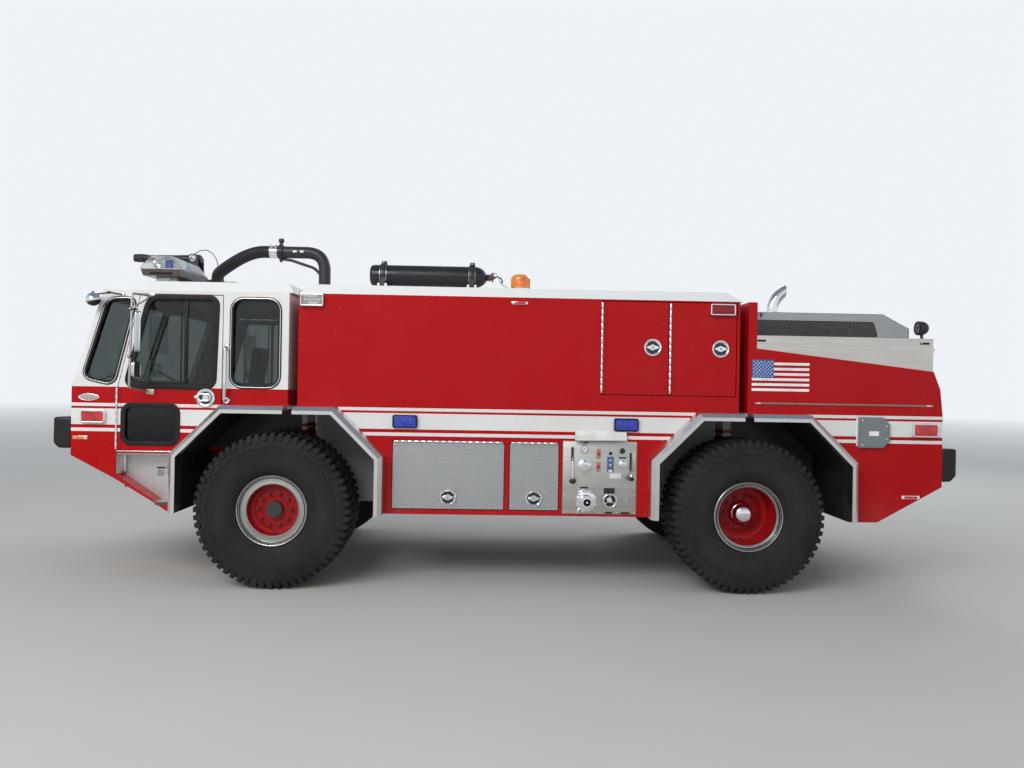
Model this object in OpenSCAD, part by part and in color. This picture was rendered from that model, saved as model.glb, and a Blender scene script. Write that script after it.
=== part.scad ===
// Airport fire truck, 4x4 with a rear engine.
// Faces -X, its left side is -Y, +Z is up, and the ground is z = 0. Millimetres.

/* [Overall] */
// Distance between the axle centres
wheelbase = 4200; // [4100:20:4300]
// Front axle to the front bumper's face
front_overhang = 1969; // [1940:10:2020]
// Rear axle to the rear bumper's face
rear_overhang = 1947; // [1930:10:2020]
// Width over the side panels
body_w = 2680; // [2640:10:2740]
// Height of the panels' lower edge
skirt_z = 655; // [645:5:670]
// Height where the white upper cab starts
belt_z = 1745; // [1735:5:1760]
// Height of the roof caps' lower edge
eave_z = 2605; // [2600:5:2640]
// Thickness of the roof caps
roof_t = 95; // [80:5:110]
// Thickness of the cab and body walls
wall_t = 50; // [46:1:54]

/* [Wheels] */
// Outer diameter of the tyres over their lugs
tyre_d = 1372; // [1350:2:1380]
// Width of the tyre section
tyre_w = 600; // [570:5:604]
// Distance between the left and right tyre centres
track_w = 2400; // [2390:2:2410]
// Diameter of the rim over its flange
rim_d = 622; // [612:2:630]
// Inner diameter of the front wheels' silver ring
front_ring_d = 455; // [440:5:470]
// Inner diameter of the rear wheels' silver ring
rear_ring_d = 525; // [510:5:535]
// Circle of the wheel nuts
nut_circle_d = 285.75; // [280:0.25:290]

/* [Arches] */
// Half the width of an arch opening
arch_half = 855; // [850:5:865]
// Half the width of its level top
arch_top_half = 470; // [460:5:480]
// Height of its shoulders
arch_shoulder_z = 1150; // [1140:5:1160]
// Height of its top
arch_top_z = 1535; // [1530:5:1545]
// How far the arches' middle lies behind the axle
arch_shift = 40; // [35:1:45]
// How far the flares stand out from the side
flare_reach = 185; // [180:1:190]

/* [Cab] */
// Front axle to the cab's rear face
cab_tail = 94; // [80:2:100]
// Gap between cab and body
cab_gap = 84; // [70:2:96]
// How far the windscreen leans back
screen_rake = 264; // [240:4:280]
// Height of the cab floor
floor_z = 1180; // [1175:1:1185]
// Height of the chin at the front face
chin_z = 1137; // [1130:1:1145]
// Width of the front door
cab_door_w = 919; // [905:2:925]
// Front axle to the front door's front edge
cab_door_lead = 1402; // [1396:2:1408]
// Thickness of all doors
door_t = 40; // [34:1:44]
// Gap round the doors
door_gap = 8; // [7:0.5:9]

/* [Body] */
// Rear axle to the body's rear face, forwards
tank_stop = 67; // [60:1:74]
// Gap between body and engine bulkhead
engine_gap = 79; // [72:1:86]
// Thickness of the engine bulkhead
bulkhead_t = 77; // [70:1:84]
// Width of each upper door
upper_door_w = 607; // [595:1:612]
// Width of the lower middle door; the lower front door fills what is left
lower_door_b_w = 450; // [440:2:456]
// Width of the post between two lower doors
door_post = 39; // [30:1:50]
// Height of the lower doors
lower_door_h = 606; // [596:2:610]
// Depth of the lockers
locker_depth = 500; // [460:5:540]
// Width of the pump panel
pump_panel_w = 671; // [664:1:678]
// Height of the engine side plates' top
plate_top_z = 2307; // [2300:1:2320]
// Height of the hood's top
hood_top_z = 2530; // [2500:5:2550]

/* [Chassis] */
// Distance over the frame rails
frame_w = 900; // [880:5:910]
// Height of the rails' lower edge
rail_z = 870; // [865:1:875]
// Height of a frame rail
rail_h = 240; // [236:1:242]
// Distance of a kingpin inboard of its tyre centre
kingpin_inset = 120; // [116:1:124]
// Length of the steering arms
steer_arm = 120; // [116:1:122]
// Radius of the wheel spindles
spindle_r = 70; // [66:1:74]
// Radial clearance of the wheels on their spindles
spindle_fit = 0.05; // [0.03:0.01:0.08]

/* [Roof gear] */
// Height of the supply pipe's level run above the roofs
pipe_rise = 380; // [360:5:400]
// Diameter of the supply pipe
pipe_d = 114; // [104:2:120]
// Diameter of the gas cylinder
bottle_d = 200; // [190:2:210]
// Length of the gas cylinder's body
bottle_len = 1130; // [1080:10:1180]
// Height of the turret's turning joint above the cab's roof
turret_base_h = 190; // [180:2:210]
// Height of the barrel's axis above the turning joint
barrel_rise = 205; // [200:1:220]
// Length of the turret barrel
barrel_len = 640; // [600:10:680]

/* [Hidden] */
$fn = 64;
eps = 1;
seat_gap = 0.3;

// Stations along X
nose_x = -(front_overhang + wheelbase + rear_overhang) / 2;
axle_f = nose_x + front_overhang;
axle_r = axle_f + wheelbase;
tail_x = axle_r + rear_overhang;
front_bumper_d = 169;
rear_bumper_d = 149;
cab_x0 = nose_x + front_bumper_d;
cab_x1 = axle_f + cab_tail;
tank_x0 = cab_x1 + cab_gap;
tank_x1 = axle_r - tank_stop;
tank_mid = (tank_x0 + tank_x1) / 2;
bulk_x0 = tank_x1 + engine_gap;
bulk_x1 = bulk_x0 + bulkhead_t;
engine_x1 = tail_x - rear_bumper_d;
door_x0 = axle_f - cab_door_lead;
door_x1 = door_x0 + cab_door_w;

// Places across and up
side_y = body_w / 2;
inner_y = side_y - wall_t;
rail_y = frame_w / 2;
hub_z = tyre_d / 2;
wheel_y = track_w / 2;
kingpin_y = wheel_y - kingpin_inset;
roof_z = eave_z + roof_t;
rail_top_z = rail_z + rail_h;
well_y = 610;
belly_y = 700;
arch_f = axle_f + arch_shift;
arch_r = axle_r + arch_shift;
arch_edge = 65;
body_cut = 30;
liner_t = 6;

// Carries a drawing in X and Z from y0 to y1
module slab(y0, y1) {
  translate([0, y1, 0]) rotate([90, 0, 0]) linear_extrude(y1 - y0) children();
}

// Carries a drawing in Y and Z from x0 to x1
module cross(x0, x1) {
  translate([x0, 0, 0]) rotate([90, 0, 90]) linear_extrude(x1 - x0) children();
}

module both() {
  children();
  mirror([0, 1, 0]) children();
}

// A box from its low corner to its high corner
module block(low, high) {
  translate(low) cube(high - low);
}

module bar_y(r, y0, y1) {
  translate([0, y0, 0]) rotate([-90, 0, 0]) cylinder(r = r, h = y1 - y0);
}

module bar_x(r, x0, x1) {
  translate([x0, 0, 0]) rotate([0, 90, 0]) cylinder(r = r, h = x1 - x0);
}

// A rectangle with round corners, from its low corner to its high corner
module round_rect(low, high, r) {
  size = high - low;
  translate(low) {
    translate([r, 0]) square([size.x - 2 * r, size.y]);
    translate([0, r]) square([size.x, size.y - 2 * r]);
    for (x = [r, size.x - r], y = [r, size.y - r])
      translate([x, y]) circle(r);
  }
}

// Right half of an arch's outline grown by off, from the bottom up
function arch_half_line(off) =
  let(run = [arch_top_half - arch_half, arch_top_z - arch_shoulder_z],
      n = [run.y, -run.x] / norm(run))
  [
    [arch_half + off, 0],
    [arch_half + off, arch_shoulder_z + off * (1 - n.x) / n.y],
    [arch_top_half + off * (1 - n.y) / n.x, arch_top_z + off]
  ];

function arch_points(off) =
  let(h = arch_half_line(off))
  [h[0], h[1], h[2], [-h[2].x, h[2].y], [-h[1].x, h[1].y], [-h[0].x, h[0].y]];

// An arch's hollow round one wheel, on one side
module arch_hole(x, off, y0, y1) {
  translate([x, 0, 0]) slab(y0, y1) polygon(arch_points(off));
}

module arch_holes(off) {
  both() for (x = [arch_f, arch_r])
    arch_hole(x, off, well_y, side_y + eps);
}

// Way through the body's underside for the rear axle's tubes
module axle_passage() {
  reach = axle_tube_r + 120;
  block([axle_r - reach, -well_y - eps, 0], [axle_r + reach, well_y + eps, rail_z + 60]);
}

// Frame and axles

module frame() {
  web = 8;
  flange = 70;
  x0 = cab_x0 + wall_t + 10;
  x1 = engine_x1 - wall_t - 10;
  // Cross members between the rails
  members = [x0, axle_f - 700, axle_f + 900, axle_f + 2000, axle_r - 700, x1 - 80];
  color("#1c1c1e") {
    both() cross(x0, x1) polygon([
      [rail_y - flange, rail_z], [rail_y, rail_z], [rail_y, rail_top_z],
      [rail_y - flange, rail_top_z], [rail_y - flange, rail_top_z - web],
      [rail_y - web, rail_top_z - web], [rail_y - web, rail_z + web],
      [rail_y - flange, rail_z + web]
    ]);
    for (x = members)
      block([x, -rail_y + web, rail_z + 40], [x + 80, rail_y - web, rail_top_z - 40]);
    // Body supports over the rails
    both() for (x = [cab_x0 + 200, tank_x0 + 300, tank_x1 - 300, bulk_x0])
      block([x, rail_y - flange, rail_top_z], [x + 120, rail_y, floor_z - wall_t]);
    // Tow eyes, front and rear
    both() for (x = [x0, x1 - 40]) difference() {
      block([x, rail_y - 60, rail_z - 130], [x + 40, rail_y, rail_z]);
      translate([0, rail_y - 30, rail_z - 75]) bar_x(tow_r, x - eps, x + 41);
    }
  }
}
tow_r = 20;

axle_tube_r = 80;
bowl_r = 185;
nose_len = bowl_r + 60;
yoke_in = 115;
yoke_out = 150;
pin_r = 30;
pin_fit = 0.05;
spring_y = rail_y - 35;
spring_w = 76;

// Leaf packs, seats and hangers under the rails at one axle
module leaf_springs(x) {
  pack_z = hub_z + axle_tube_r;
  pack_t = rail_z - pack_z - 50;
  both() {
    slab(spring_y - spring_w / 2, spring_y + spring_w / 2) polygon([
      [x - 90, pack_z], [x + 90, pack_z], [x + 620, rail_z - 40],
      [x + 620, rail_z - 22], [x + 90, pack_z + pack_t], [x - 90, pack_z + pack_t],
      [x - 620, rail_z - 22], [x - 620, rail_z - 40]
    ]);
    for (s = [-1, 1])
      block([x + s * 620 - 30, spring_y - spring_w / 2, rail_z - 60],
            [x + s * 620 + 30, spring_y + spring_w / 2, rail_z]);
    block([x - 100, spring_y - spring_w / 2, hub_z + 40],
          [x + 100, spring_y + spring_w / 2, pack_z + 4]);
  }
}

// A driven axle: tubes, bowl with its cover, and the nose towards the shafts
module axle_beam(x, reach, turn) {
  translate([x, 0, hub_z]) rotate([0, 0, turn]) {
    bar_y(axle_tube_r, -reach, reach);
    sphere(bowl_r);
    bar_x(150, -bowl_r - 20, 0);
    bar_x(70, 0, nose_len);
  }
  leaf_springs(x);
}

module front_axle() {
  yoke_y = kingpin_y - 120;
  color("#232325") {
    axle_beam(axle_f, yoke_y, 0);
    both() translate([axle_f, 0, hub_z]) {
      // C-shaped yoke with a kingpin bore in each arm
      difference() {
        union() {
          block([-75, yoke_y - 20, -yoke_out], [75, yoke_y + 15, yoke_out]);
          for (z = [-yoke_out, yoke_in]) translate([0, 0, z]) {
            block([-60, yoke_y, 0], [60, kingpin_y, yoke_out - yoke_in]);
            translate([0, kingpin_y, 0]) cylinder(r = 60, h = yoke_out - yoke_in);
          }
        }
        translate([0, kingpin_y, -yoke_out - eps])
          cylinder(r = pin_r + pin_fit, h = 2 * yoke_out + 2 * eps);
      }
    }
  }
}

// Faces of the wheel discs, measured from the tyre's outer face
front_disc_y = wheel_y + tyre_w / 2 - 170;
rear_disc_y = wheel_y + tyre_w / 2 - 300;
disc_t = 24;
hub_flange_r = 175;
hub_nose = 60;

module rear_axle() {
  color("#232325") {
    axle_beam(axle_r, rear_disc_y - disc_t - 60, 180);
    both() translate([axle_r, 0, hub_z]) {
      bar_y(130, rear_disc_y - disc_t - 120, rear_disc_y - disc_t - 20);
      bar_y(spindle_r, rear_disc_y - disc_t - 30, rear_disc_y + hub_nose - 12);
    }
  }
}

ball_r = 95;
arm_z = -60;
eye_r = 25;
eye_t = 30;
tie_pin_r = 12;

// Left knuckle is the mirror image of the right one drawn here
module knuckle() {
  translate([axle_f, kingpin_y, hub_z]) {
    cylinder(r = pin_r, h = 2 * yoke_out + 16, center = true);
    intersection() {
      sphere(ball_r);
      cube([4 * ball_r, 4 * ball_r, 2 * (yoke_in - 6)], center = true);
    }
    cylinder(r = 55, h = 2 * (yoke_in - 6), center = true);
    translate([0, -kingpin_y, 0]) {
      bar_y(90, kingpin_y, front_disc_y - disc_t - 30);
      bar_y(spindle_r, kingpin_y, front_disc_y + hub_nose - 12);
    }
    // Steering arm with its pin
    translate([0, 0, arm_z - eye_t / 2 - 20]) {
      block([-steer_arm, -20, 0], [0, 20, 14]);
      translate([-steer_arm, 0, 0]) cylinder(r = 20, h = 14);
    }
    translate([-steer_arm, 0, arm_z - eye_t / 2 - 7]) cylinder(r = tie_pin_r, h = eye_t + 14);
  }
}

module knuckle_left() { color("#2a2a2d") mirror([0, 1, 0]) knuckle(); }
module knuckle_right() { color("#2a2a2d") knuckle(); }

// Track rod between the steering arms, bent round the axle's bowl
module tie_rod() {
  rod_r = 16;
  knee_r = rod_r + 3;
  bend_y = 420;
  mid_y = 250;
  step_x = bowl_r + 75 - steer_arm;
  color("#2a2a2d") translate([axle_f - steer_arm, 0, hub_z + arm_z]) {
    both() {
      difference() {
        union() {
          translate([0, kingpin_y, 0]) cylinder(r = eye_r, h = eye_t, center = true);
          bar_y(rod_r, bend_y, kingpin_y);
        }
        translate([0, kingpin_y, 0]) cylinder(r = tie_pin_r + pin_fit, h = eye_t + 2, center = true);
      }
      translate([0, bend_y, 0]) cylinder(r = knee_r, h = 2 * knee_r, center = true);
      translate([0, bend_y, 0]) rotate([0, 0, 180 + atan2(bend_y - mid_y, step_x)])
        bar_x(rod_r, 0, norm([bend_y - mid_y, step_x]));
      translate([-step_x, mid_y, 0]) cylinder(r = knee_r, h = 2 * knee_r, center = true);
    }
    translate([-step_x, 0, 0]) bar_y(rod_r, -mid_y, mid_y);
  }
}

engine_block = [1150, 820, 760];

module engine() {
  color("#3b3f42")
    block([bulk_x1 + 120, -engine_block.y / 2, rail_top_z],
          [bulk_x1 + 120 + engine_block.x, engine_block.y / 2, rail_top_z + engine_block.z]);
}

module driveline() {
  case_x = axle_f + 2450;
  shaft_z = hub_z + 130;
  color("#2e2e30") {
    // Transfer case hung between the rails
    block([case_x - 180, -200, hub_z + 80], [case_x + 180, 200, rail_z + 40]);
    both() block([case_x - 40, 200, rail_z - 30], [case_x + 40, rail_y, rail_z]);
    translate([0, 0, shaft_z]) bar_x(45, axle_f + nose_len + 20, axle_r - nose_len - 20);
    // Joints that meet the axles' noses
    for (x = [axle_f + nose_len, axle_r - nose_len - 60])
      block([x, -45, hub_z - 40], [x + 60, 45, shaft_z + 45]);
  }
}

// Cab

function cab_outline() = [
  [cab_x0, chin_z], [cab_x0, belt_z], [cab_x0 + screen_rake, eave_z],
  [cab_x1, eave_z], [cab_x1, skirt_z], [axle_f - 960, skirt_z],
  [axle_f - 1059, skirt_z + 67], [door_x0 - 11, skirt_z + 280]
];

module cab_room() {
  h = arch_half_line(body_cut + wall_t);
  slab(-inner_y, inner_y) polygon([
    [cab_x0 + wall_t, floor_z], [cab_x0 + wall_t, belt_z],
    [cab_x0 + wall_t + screen_rake + 4, eave_z + eps], [cab_x1 - wall_t, eave_z + eps],
    [cab_x1 - wall_t, h[2].y], [arch_f - h[2].x, h[2].y],
    [arch_f - h[1].x, h[1].y], [arch_f - h[1].x, floor_z]
  ]);
  block([arch_f - h[1].x - eps, wall_t - well_y, floor_z],
        [cab_x1 - wall_t, well_y - wall_t, h[2].y + eps]);
}

// The front door's outline, shrunk by gap on every side
module cab_door_shape(gap) {
  h = arch_half_line(arch_edge + 15);
  slope = (h[2].y - h[1].y) / (h[1].x - h[2].x);
  top = eave_z - 30 - gap;
  low = floor_z + gap;
  foot_x = arch_f - h[1].x - gap * 0.41;
  rear_x = door_x1 - gap;
  lead = 187 * (top - belt_z) / 830;
  polygon([
    [door_x0 + gap, low], [door_x0 + gap, belt_z], [door_x0 + gap + lead, top],
    [rear_x, top], [rear_x, low + (rear_x - foot_x) * slope], [foot_x, low]
  ]);
}

// Corners of the slanted quarter window, the door window and their radii
module quarter_window_shape(grow) {
  soft_polygon([
    [axle_f - 1497, 2519], [axle_f - 1256, 2528],
    [axle_f - 1438, 1770], [axle_f - 1701, 1829]
  ], 45, grow);
}

module door_window_shape(grow) {
  soft_polygon([
    [axle_f - 1126, 2534], [axle_f - 547, 2540],
    [axle_f - 570, 1759], [axle_f - 1316, 1771]
  ], 60, grow);
}

module low_window_shape(grow) {
  round_rect([axle_f - 1339 - grow, 1257 - grow], [axle_f - 877 + grow, 1579 + grow], 70);
}

module rear_window_shape(grow) {
  round_rect([axle_f - 405 - grow, 1767 - grow], [axle_f + 10 + grow, 2539 + grow], 100);
}

// Outline with corners of radius r, given clockwise, all grown outwards by grow
function inward(p, q, s, r) =
  let(a = (q - p) / norm(q - p), b = (s - p) / norm(s - p), sine = abs(a.x * b.y - a.y * b.x))
  p + (a + b) * r / sine;

function way_out(p, q) = atan2(q.x - p.x, p.y - q.y);

function soft_corner(p, q, s, r, grow) =
  let(c = inward(p, q, s, r), a = way_out(s, p), turn = (a - way_out(p, q) + 720) % 360)
  [for (i = [0:6]) c + (r + grow) * [cos(a - turn * i / 6), sin(a - turn * i / 6)]];

module soft_polygon(corners, r, grow) {
  n = len(corners);
  polygon([for (i = [0:n - 1])
    each soft_corner(corners[i], corners[(i + 1) % n], corners[(i + n - 1) % n], r, grow)]);
}

screen_low_z = belt_z + 45;
screen_high_z = eave_z - 75;
screen_mid = 40;

// Two windscreen panes, drawn as seen from the front
module screen_shape(grow) {
  both_flat() round_rect([screen_mid / 2 - grow, screen_low_z - grow],
                         [side_y - 110 + grow, screen_high_z + grow], 60);
}

module both_flat() {
  children();
  mirror([1, 0]) children();
}

function screen_x(z) = cab_x0 + screen_rake * (z - belt_z) / (eave_z - belt_z);

module cab_shell() {
  color("#b3121c") difference() {
    slab(-side_y, side_y) polygon(cab_outline());
    cab_room();
    // Open underside between the side boots
    block([cab_x0 + wall_t, -belly_y, 0], [cab_x1 + eps, belly_y, floor_z - wall_t]);
    block([cab_x0 - eps, -rail_y - 20, 0], [cab_x0 + wall_t + eps, rail_y + 20, chin_z + 1]);
    arch_holes(body_cut);
    // Door openings and step recesses
    both() {
      slab(inner_y - 20, side_y + eps) cab_door_shape(0);
      slab(side_y - step_depth, side_y + eps) polygon(step_recess());
      slab(inner_y - eps, side_y + eps) quarter_window_shape(0);
      slab(inner_y - eps, side_y + eps) rear_window_shape(0);
    }
    cross(cab_x0 - eps, cab_x0 + screen_rake + wall_t + eps) screen_shape(0);
    // Window in the rear wall
    cross(cab_x1 - wall_t - eps, cab_x1 + eps) round_rect([-550, 1850], [550, 2350], 60);
  }
}
step_depth = 150;

function step_recess() = [
  [door_x0 + 2, floor_z - 20], [axle_f - 870, floor_z - 20],
  [axle_f - 870, skirt_z + 75], [axle_f - 1040, skirt_z + 75],
  [door_x0 + 2, skirt_z + 315]
];

// A cap with all its edges bevelled, from x0 to x1
module roof_cap(x0, x1, front_in, rear_in, thick) {
  side_in = 110;
  intersection() {
    slab(-side_y, side_y) polygon([
      [x0, eave_z], [x1, eave_z], [x1 - rear_in, eave_z + thick], [x0 + front_in, eave_z + thick]
    ]);
    cross(x0, x1) polygon([
      [-side_y, eave_z], [side_y, eave_z],
      [side_y - side_in, eave_z + thick], [side_in - side_y, eave_z + thick]
    ]);
  }
}

module cab_roof() {
  color("#f1f1ec") roof_cap(cab_x0 + screen_rake, cab_x1 + 36, 123, 69, roof_t);
}

module body_roof() {
  color("#f1f1ec") roof_cap(tank_x0, tank_x1 + 22, 108, 119, roof_t);
}

glass_t = 6;

module cab_glass() {
  mid = wall_t / 2;
  color([0.2, 0.25, 0.25, 0.5]) {
    both() slab(inner_y + mid - glass_t, inner_y + mid) {
      quarter_window_shape(-seat_gap);
      rear_window_shape(-seat_gap);
    }
    // Windscreen panes lie along the slope
    intersection() {
      cross(cab_x0, cab_x0 + screen_rake + wall_t) screen_shape(-seat_gap);
      slab(-side_y, side_y) polygon([
        [screen_x(belt_z) + mid, belt_z], [screen_x(eave_z) + mid, eave_z],
        [screen_x(eave_z) + mid + glass_t, eave_z], [screen_x(belt_z) + mid + glass_t, belt_z]
      ]);
    }
    cross(cab_x1 - mid - glass_t, cab_x1 - mid)
      round_rect([-550 + seat_gap, 1850 + seat_gap], [550 - seat_gap, 2350 - seat_gap], 60);
  }
}

module dashboard() {
  x0 = cab_x0 + wall_t;
  color("#26272a") {
    slab(-inner_y, inner_y) polygon([
      [x0, 1400], [x0, 1700], [x0 + 60, 1700], [x0 + 230, 1650],
      [x0 + 250, 1540], [x0 + 150, 1400]
    ]);
    // Pedestal, column and steering wheel
    block([x0, driver_y - 250, floor_z], [x0 + 130, driver_y + 250, 1400]);
    translate([x0 + 210, driver_y, 1560]) rotate([0, 55, 0]) {
      translate([0, 0, -40]) cylinder(r = 28, h = 170);
      translate([0, 0, 130]) rotate_extrude() translate([215, 0]) circle(15, $fn = 24);
      for (a = [90, 210, 330]) rotate([0, 0, a])
        translate([0, -18, 122]) cube([206, 36, 12]);
      translate([0, 0, 118]) cylinder(r = 60, h = 22);
    }
  }
}
driver_y = -700;

seat_x = axle_f - 1030;

// Two seats, each a pedestal, cushion and tall back
module seats() {
  color("#3a3d42") for (y = [driver_y, -driver_y]) translate([seat_x, y, 0]) {
    block([-90, -160, floor_z], [110, 160, floor_z + 250]);
    block([-250, -250, floor_z + 250], [240, 250, floor_z + 390]);
    slab(-240, 240) polygon([
      [150, floor_z + 390], [240, floor_z + 390], [330, floor_z + 1050], [225, floor_z + 1050]
    ]);
  }
}

// Height of each bumper's lower and upper edge
front_bumper_z = [1196, 1470];
rear_bumper_z = [1007, 1309];

module front_bumper() {
  cut = 45;
  low = front_bumper_z[0];
  high = front_bumper_z[1];
  color("#18181a") slab(-side_y, side_y) polygon([
    [nose_x, low + cut], [nose_x + cut, low], [cab_x0, low], [cab_x0, high], [nose_x, high]
  ]);
}

// Plates that line each step recess
module cab_steps() {
  back = side_y - step_depth;
  color("#c9ccce") both() {
    slab(back, back + 5) polygon(step_recess());
    block([axle_f - 1035, back + 5, skirt_z + 75], [axle_f - 870, side_y, skirt_z + 81]);
    block([door_x0 + 150, back + 5, skirt_z + 300], [axle_f - 870, back + 90, skirt_z + 306]);
  }
}

// Flares and wheel wells

// Cuts the outer edge of a flare along one straight side
module flare_bevel(at, angle) {
  bevel = 34;
  rim_y = side_y + flare_reach;
  translate([at.x, 0, at.y]) rotate([0, -angle, 0]) translate([0, 0, -2000])
    linear_extrude(4000) polygon([
      [arch_edge - bevel - eps, rim_y + eps], [arch_edge + eps, rim_y + eps],
      [arch_edge + eps, rim_y - bevel - eps]
    ]);
}

module flare(x) {
  angle = atan2(arch_half - arch_top_half, arch_top_z - arch_shoulder_z);
  translate([x, 0, 0]) difference() {
    intersection() {
      slab(side_y, side_y + flare_reach) polygon(arch_points(arch_edge));
      block([-2000, 0, skirt_z], [2000, 2000, 2000]);
    }
    slab(side_y - eps, side_y + flare_reach + eps) polygon(arch_points(0));
    slab(side_y - eps, side_y + flare_reach - 8) polygon(arch_points(26));
    flare_bevel([arch_half, 0], 0);
    flare_bevel([-arch_half, 0], 180);
    flare_bevel([0, arch_top_z], 90);
    flare_bevel([arch_half, arch_shoulder_z], angle);
    flare_bevel([-arch_half, arch_shoulder_z], 180 - angle);
  }
}

// Room between cab and body, and between body and engine
module section_gaps(y) {
  block([cab_x1, -y, 0], [tank_x0, y, eave_z]);
  block([tank_x1, -y, 0], [bulk_x0, y, eave_z]);
}

module fender_flares() {
  color("#c3c6c8") difference() {
    both() for (x = [arch_f, arch_r]) flare(x);
    section_gaps(2000);
  }
}

module wheel_wells() {
  color("#141415") difference() {
    both() for (x = [arch_f, arch_r]) difference() {
      arch_hole(x, body_cut, well_y, side_y);
      arch_hole(x, body_cut - liner_t, well_y - eps, side_y + eps);
    }
    section_gaps(2000);
    block([-5000, -2000, -eps], [5000, 2000, skirt_z]);
  }
}

// Centre body

upper_x1 = tank_x1 - 26;
upper_door_x = [upper_x1 - 2 * upper_door_w - door_gap, upper_x1 - upper_door_w];
upper_z = [belt_z, eave_z - 10];
flare_out = arch_half + arch_edge;
panel_x0 = arch_r - flare_out - 99 - pump_panel_w;
panel_z = [skirt_z + 18, skirt_z + 675];
lower_x = [arch_f + flare_out + 65, panel_x0 - 30 - lower_door_b_w];
lower_w = [lower_x[1] - door_post - lower_x[0], lower_door_b_w];
lower_z = [skirt_z + 43, skirt_z + 43 + lower_door_h];

// Rectangles of the locker doors, as low and high corners
upper_rects = [for (x = upper_door_x) [[x, upper_z[0]], [x + upper_door_w, upper_z[1]]]];
lower_rects = [for (i = [0, 1]) [[lower_x[i], lower_z[0]], [lower_x[i] + lower_w[i], lower_z[1]]]];
frame_lip = 24;

// Opening for a flush door and the locker behind it, on the right side
module locker_hole(rect) {
  low = rect[0];
  high = rect[1];
  slab(side_y - door_t - 6, side_y + eps)
    polygon([low, [high.x, low.y], high, [low.x, high.y]]);
  slab(side_y - locker_depth, side_y - door_t)
    round_rect(low + [frame_lip, frame_lip], high - [frame_lip, frame_lip], 12);
}

module tank_body() {
  color("#b3121c") difference() {
    slab(-side_y, side_y) polygon([
      [tank_x0, skirt_z], [tank_x1, skirt_z], [tank_x1, eave_z], [tank_x0, eave_z]
    ]);
    block([tank_x0 - eps, -rail_y - 20, 0], [tank_x1 + eps, rail_y + 20, floor_z - wall_t]);
    arch_holes(body_cut);
    axle_passage();
    both() {
      for (r = upper_rects) locker_hole(r);
      for (r = lower_rects) locker_hole(r);
      block([panel_x0, side_y - 16, panel_z[0]], [panel_x0 + pump_panel_w, side_y + eps, panel_z[1]]);
    }
  }
}

// Stainless panels with their gauges, levers and valves
module pump_panels() {
  face_y = side_y - 8;
  x = panel_x0;
  // Round things: x from the panel's edge, z, radius, how far it stands out
  rounds = [
    [190, 1240, 38, 18], [190, 1120, 62, 60], [540, 1230, 32, 14], [540, 1110, 36, 26],
    [215, 790, 95, 40], [430, 800, 68, 50], [325, 1190, 14, 14], [430, 1190, 14, 14]
  ];
  color("#a9aaa6") both() {
    block([x, side_y - 16, panel_z[0]], [x + pump_panel_w, face_y, panel_z[1]]);
    for (r = rounds) translate([x + r[0], 0, r[1]]) bar_y(r[2], face_y, face_y + r[3]);
    for (lever = [80, 610]) {
      block([x + lever - 8, face_y, 1010], [x + lever + 8, face_y + 10, 1260]);
      translate([x + lever, 0, 1000]) bar_y(26, face_y, face_y + 60);
    }
    // Outlet with its free coupling end
    translate([x + 215, 0, 790]) bar_y(outlet_r, face_y, face_y + 95);
    // Hood over the panel
    block([x + 100, side_y, panel_z[1] - 20], [x + 560, side_y + 55, panel_z[1] + 60]);
  }
}
outlet_r = 38;

// Engine end

plate_x1 = engine_x1 - 89;
plate_h = [110, 301];

// Height of the red side's sloping upper edge
function side_top(x) =
  plate_top_z - plate_h[0] - (plate_h[1] - plate_h[0]) * (x - bulk_x0) / (plate_x1 - bulk_x0);

function engine_outline() = [
  [bulk_x1, skirt_z], [bulk_x1, side_top(bulk_x1)], [plate_x1, side_top(plate_x1)],
  [engine_x1 - 26, side_top(plate_x1) - 160], [engine_x1, 1600], [engine_x1, 960],
  [engine_x1 - 589, skirt_z - 22], [engine_x1 - 850, skirt_z - 22], [engine_x1 - 850, skirt_z]
];

// Wall between tank and engine, with the frame's way through it
module bulkhead() {
  color("#b3121c") difference() {
    block([bulk_x0, -side_y, skirt_z], [bulk_x1, side_y, eave_z]);
    arch_holes(body_cut);
    axle_passage();
    block([bulk_x0 - eps, -rail_y - 20, 0], [bulk_x1 + eps, rail_y + 20, floor_z - wall_t]);
  }
}

module engine_body() {
  color("#b3121c") difference() {
    slab(-side_y, side_y) polygon(engine_outline());
    // Engine room, open in front, above and below
    difference() {
      slab(-inner_y, inner_y) polygon([
        [bulk_x1 - eps, 0], [bulk_x1 - eps, 2600], [plate_x1 - wall_t, 2600],
        [plate_x1 - wall_t, side_top(plate_x1)], [engine_x1 - wall_t - 26, side_top(plate_x1) - 160],
        [engine_x1 - wall_t, 1600], [engine_x1 - wall_t, 0]
      ]);
      both() arch_hole(arch_r, body_cut + wall_t, well_y - wall_t, side_y);
    }
    arch_holes(body_cut);
    axle_passage();
    // Opening for the rear grille
    cross(engine_x1 - wall_t - 40, engine_x1 + eps)
      round_rect([-grille_half, grille_z[0]], [grille_half, grille_z[1]], 30);
  }
}
grille_half = 760;
grille_z = [1330, 1580];

plate_y = side_y - 14;
deck_t = 10;

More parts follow.
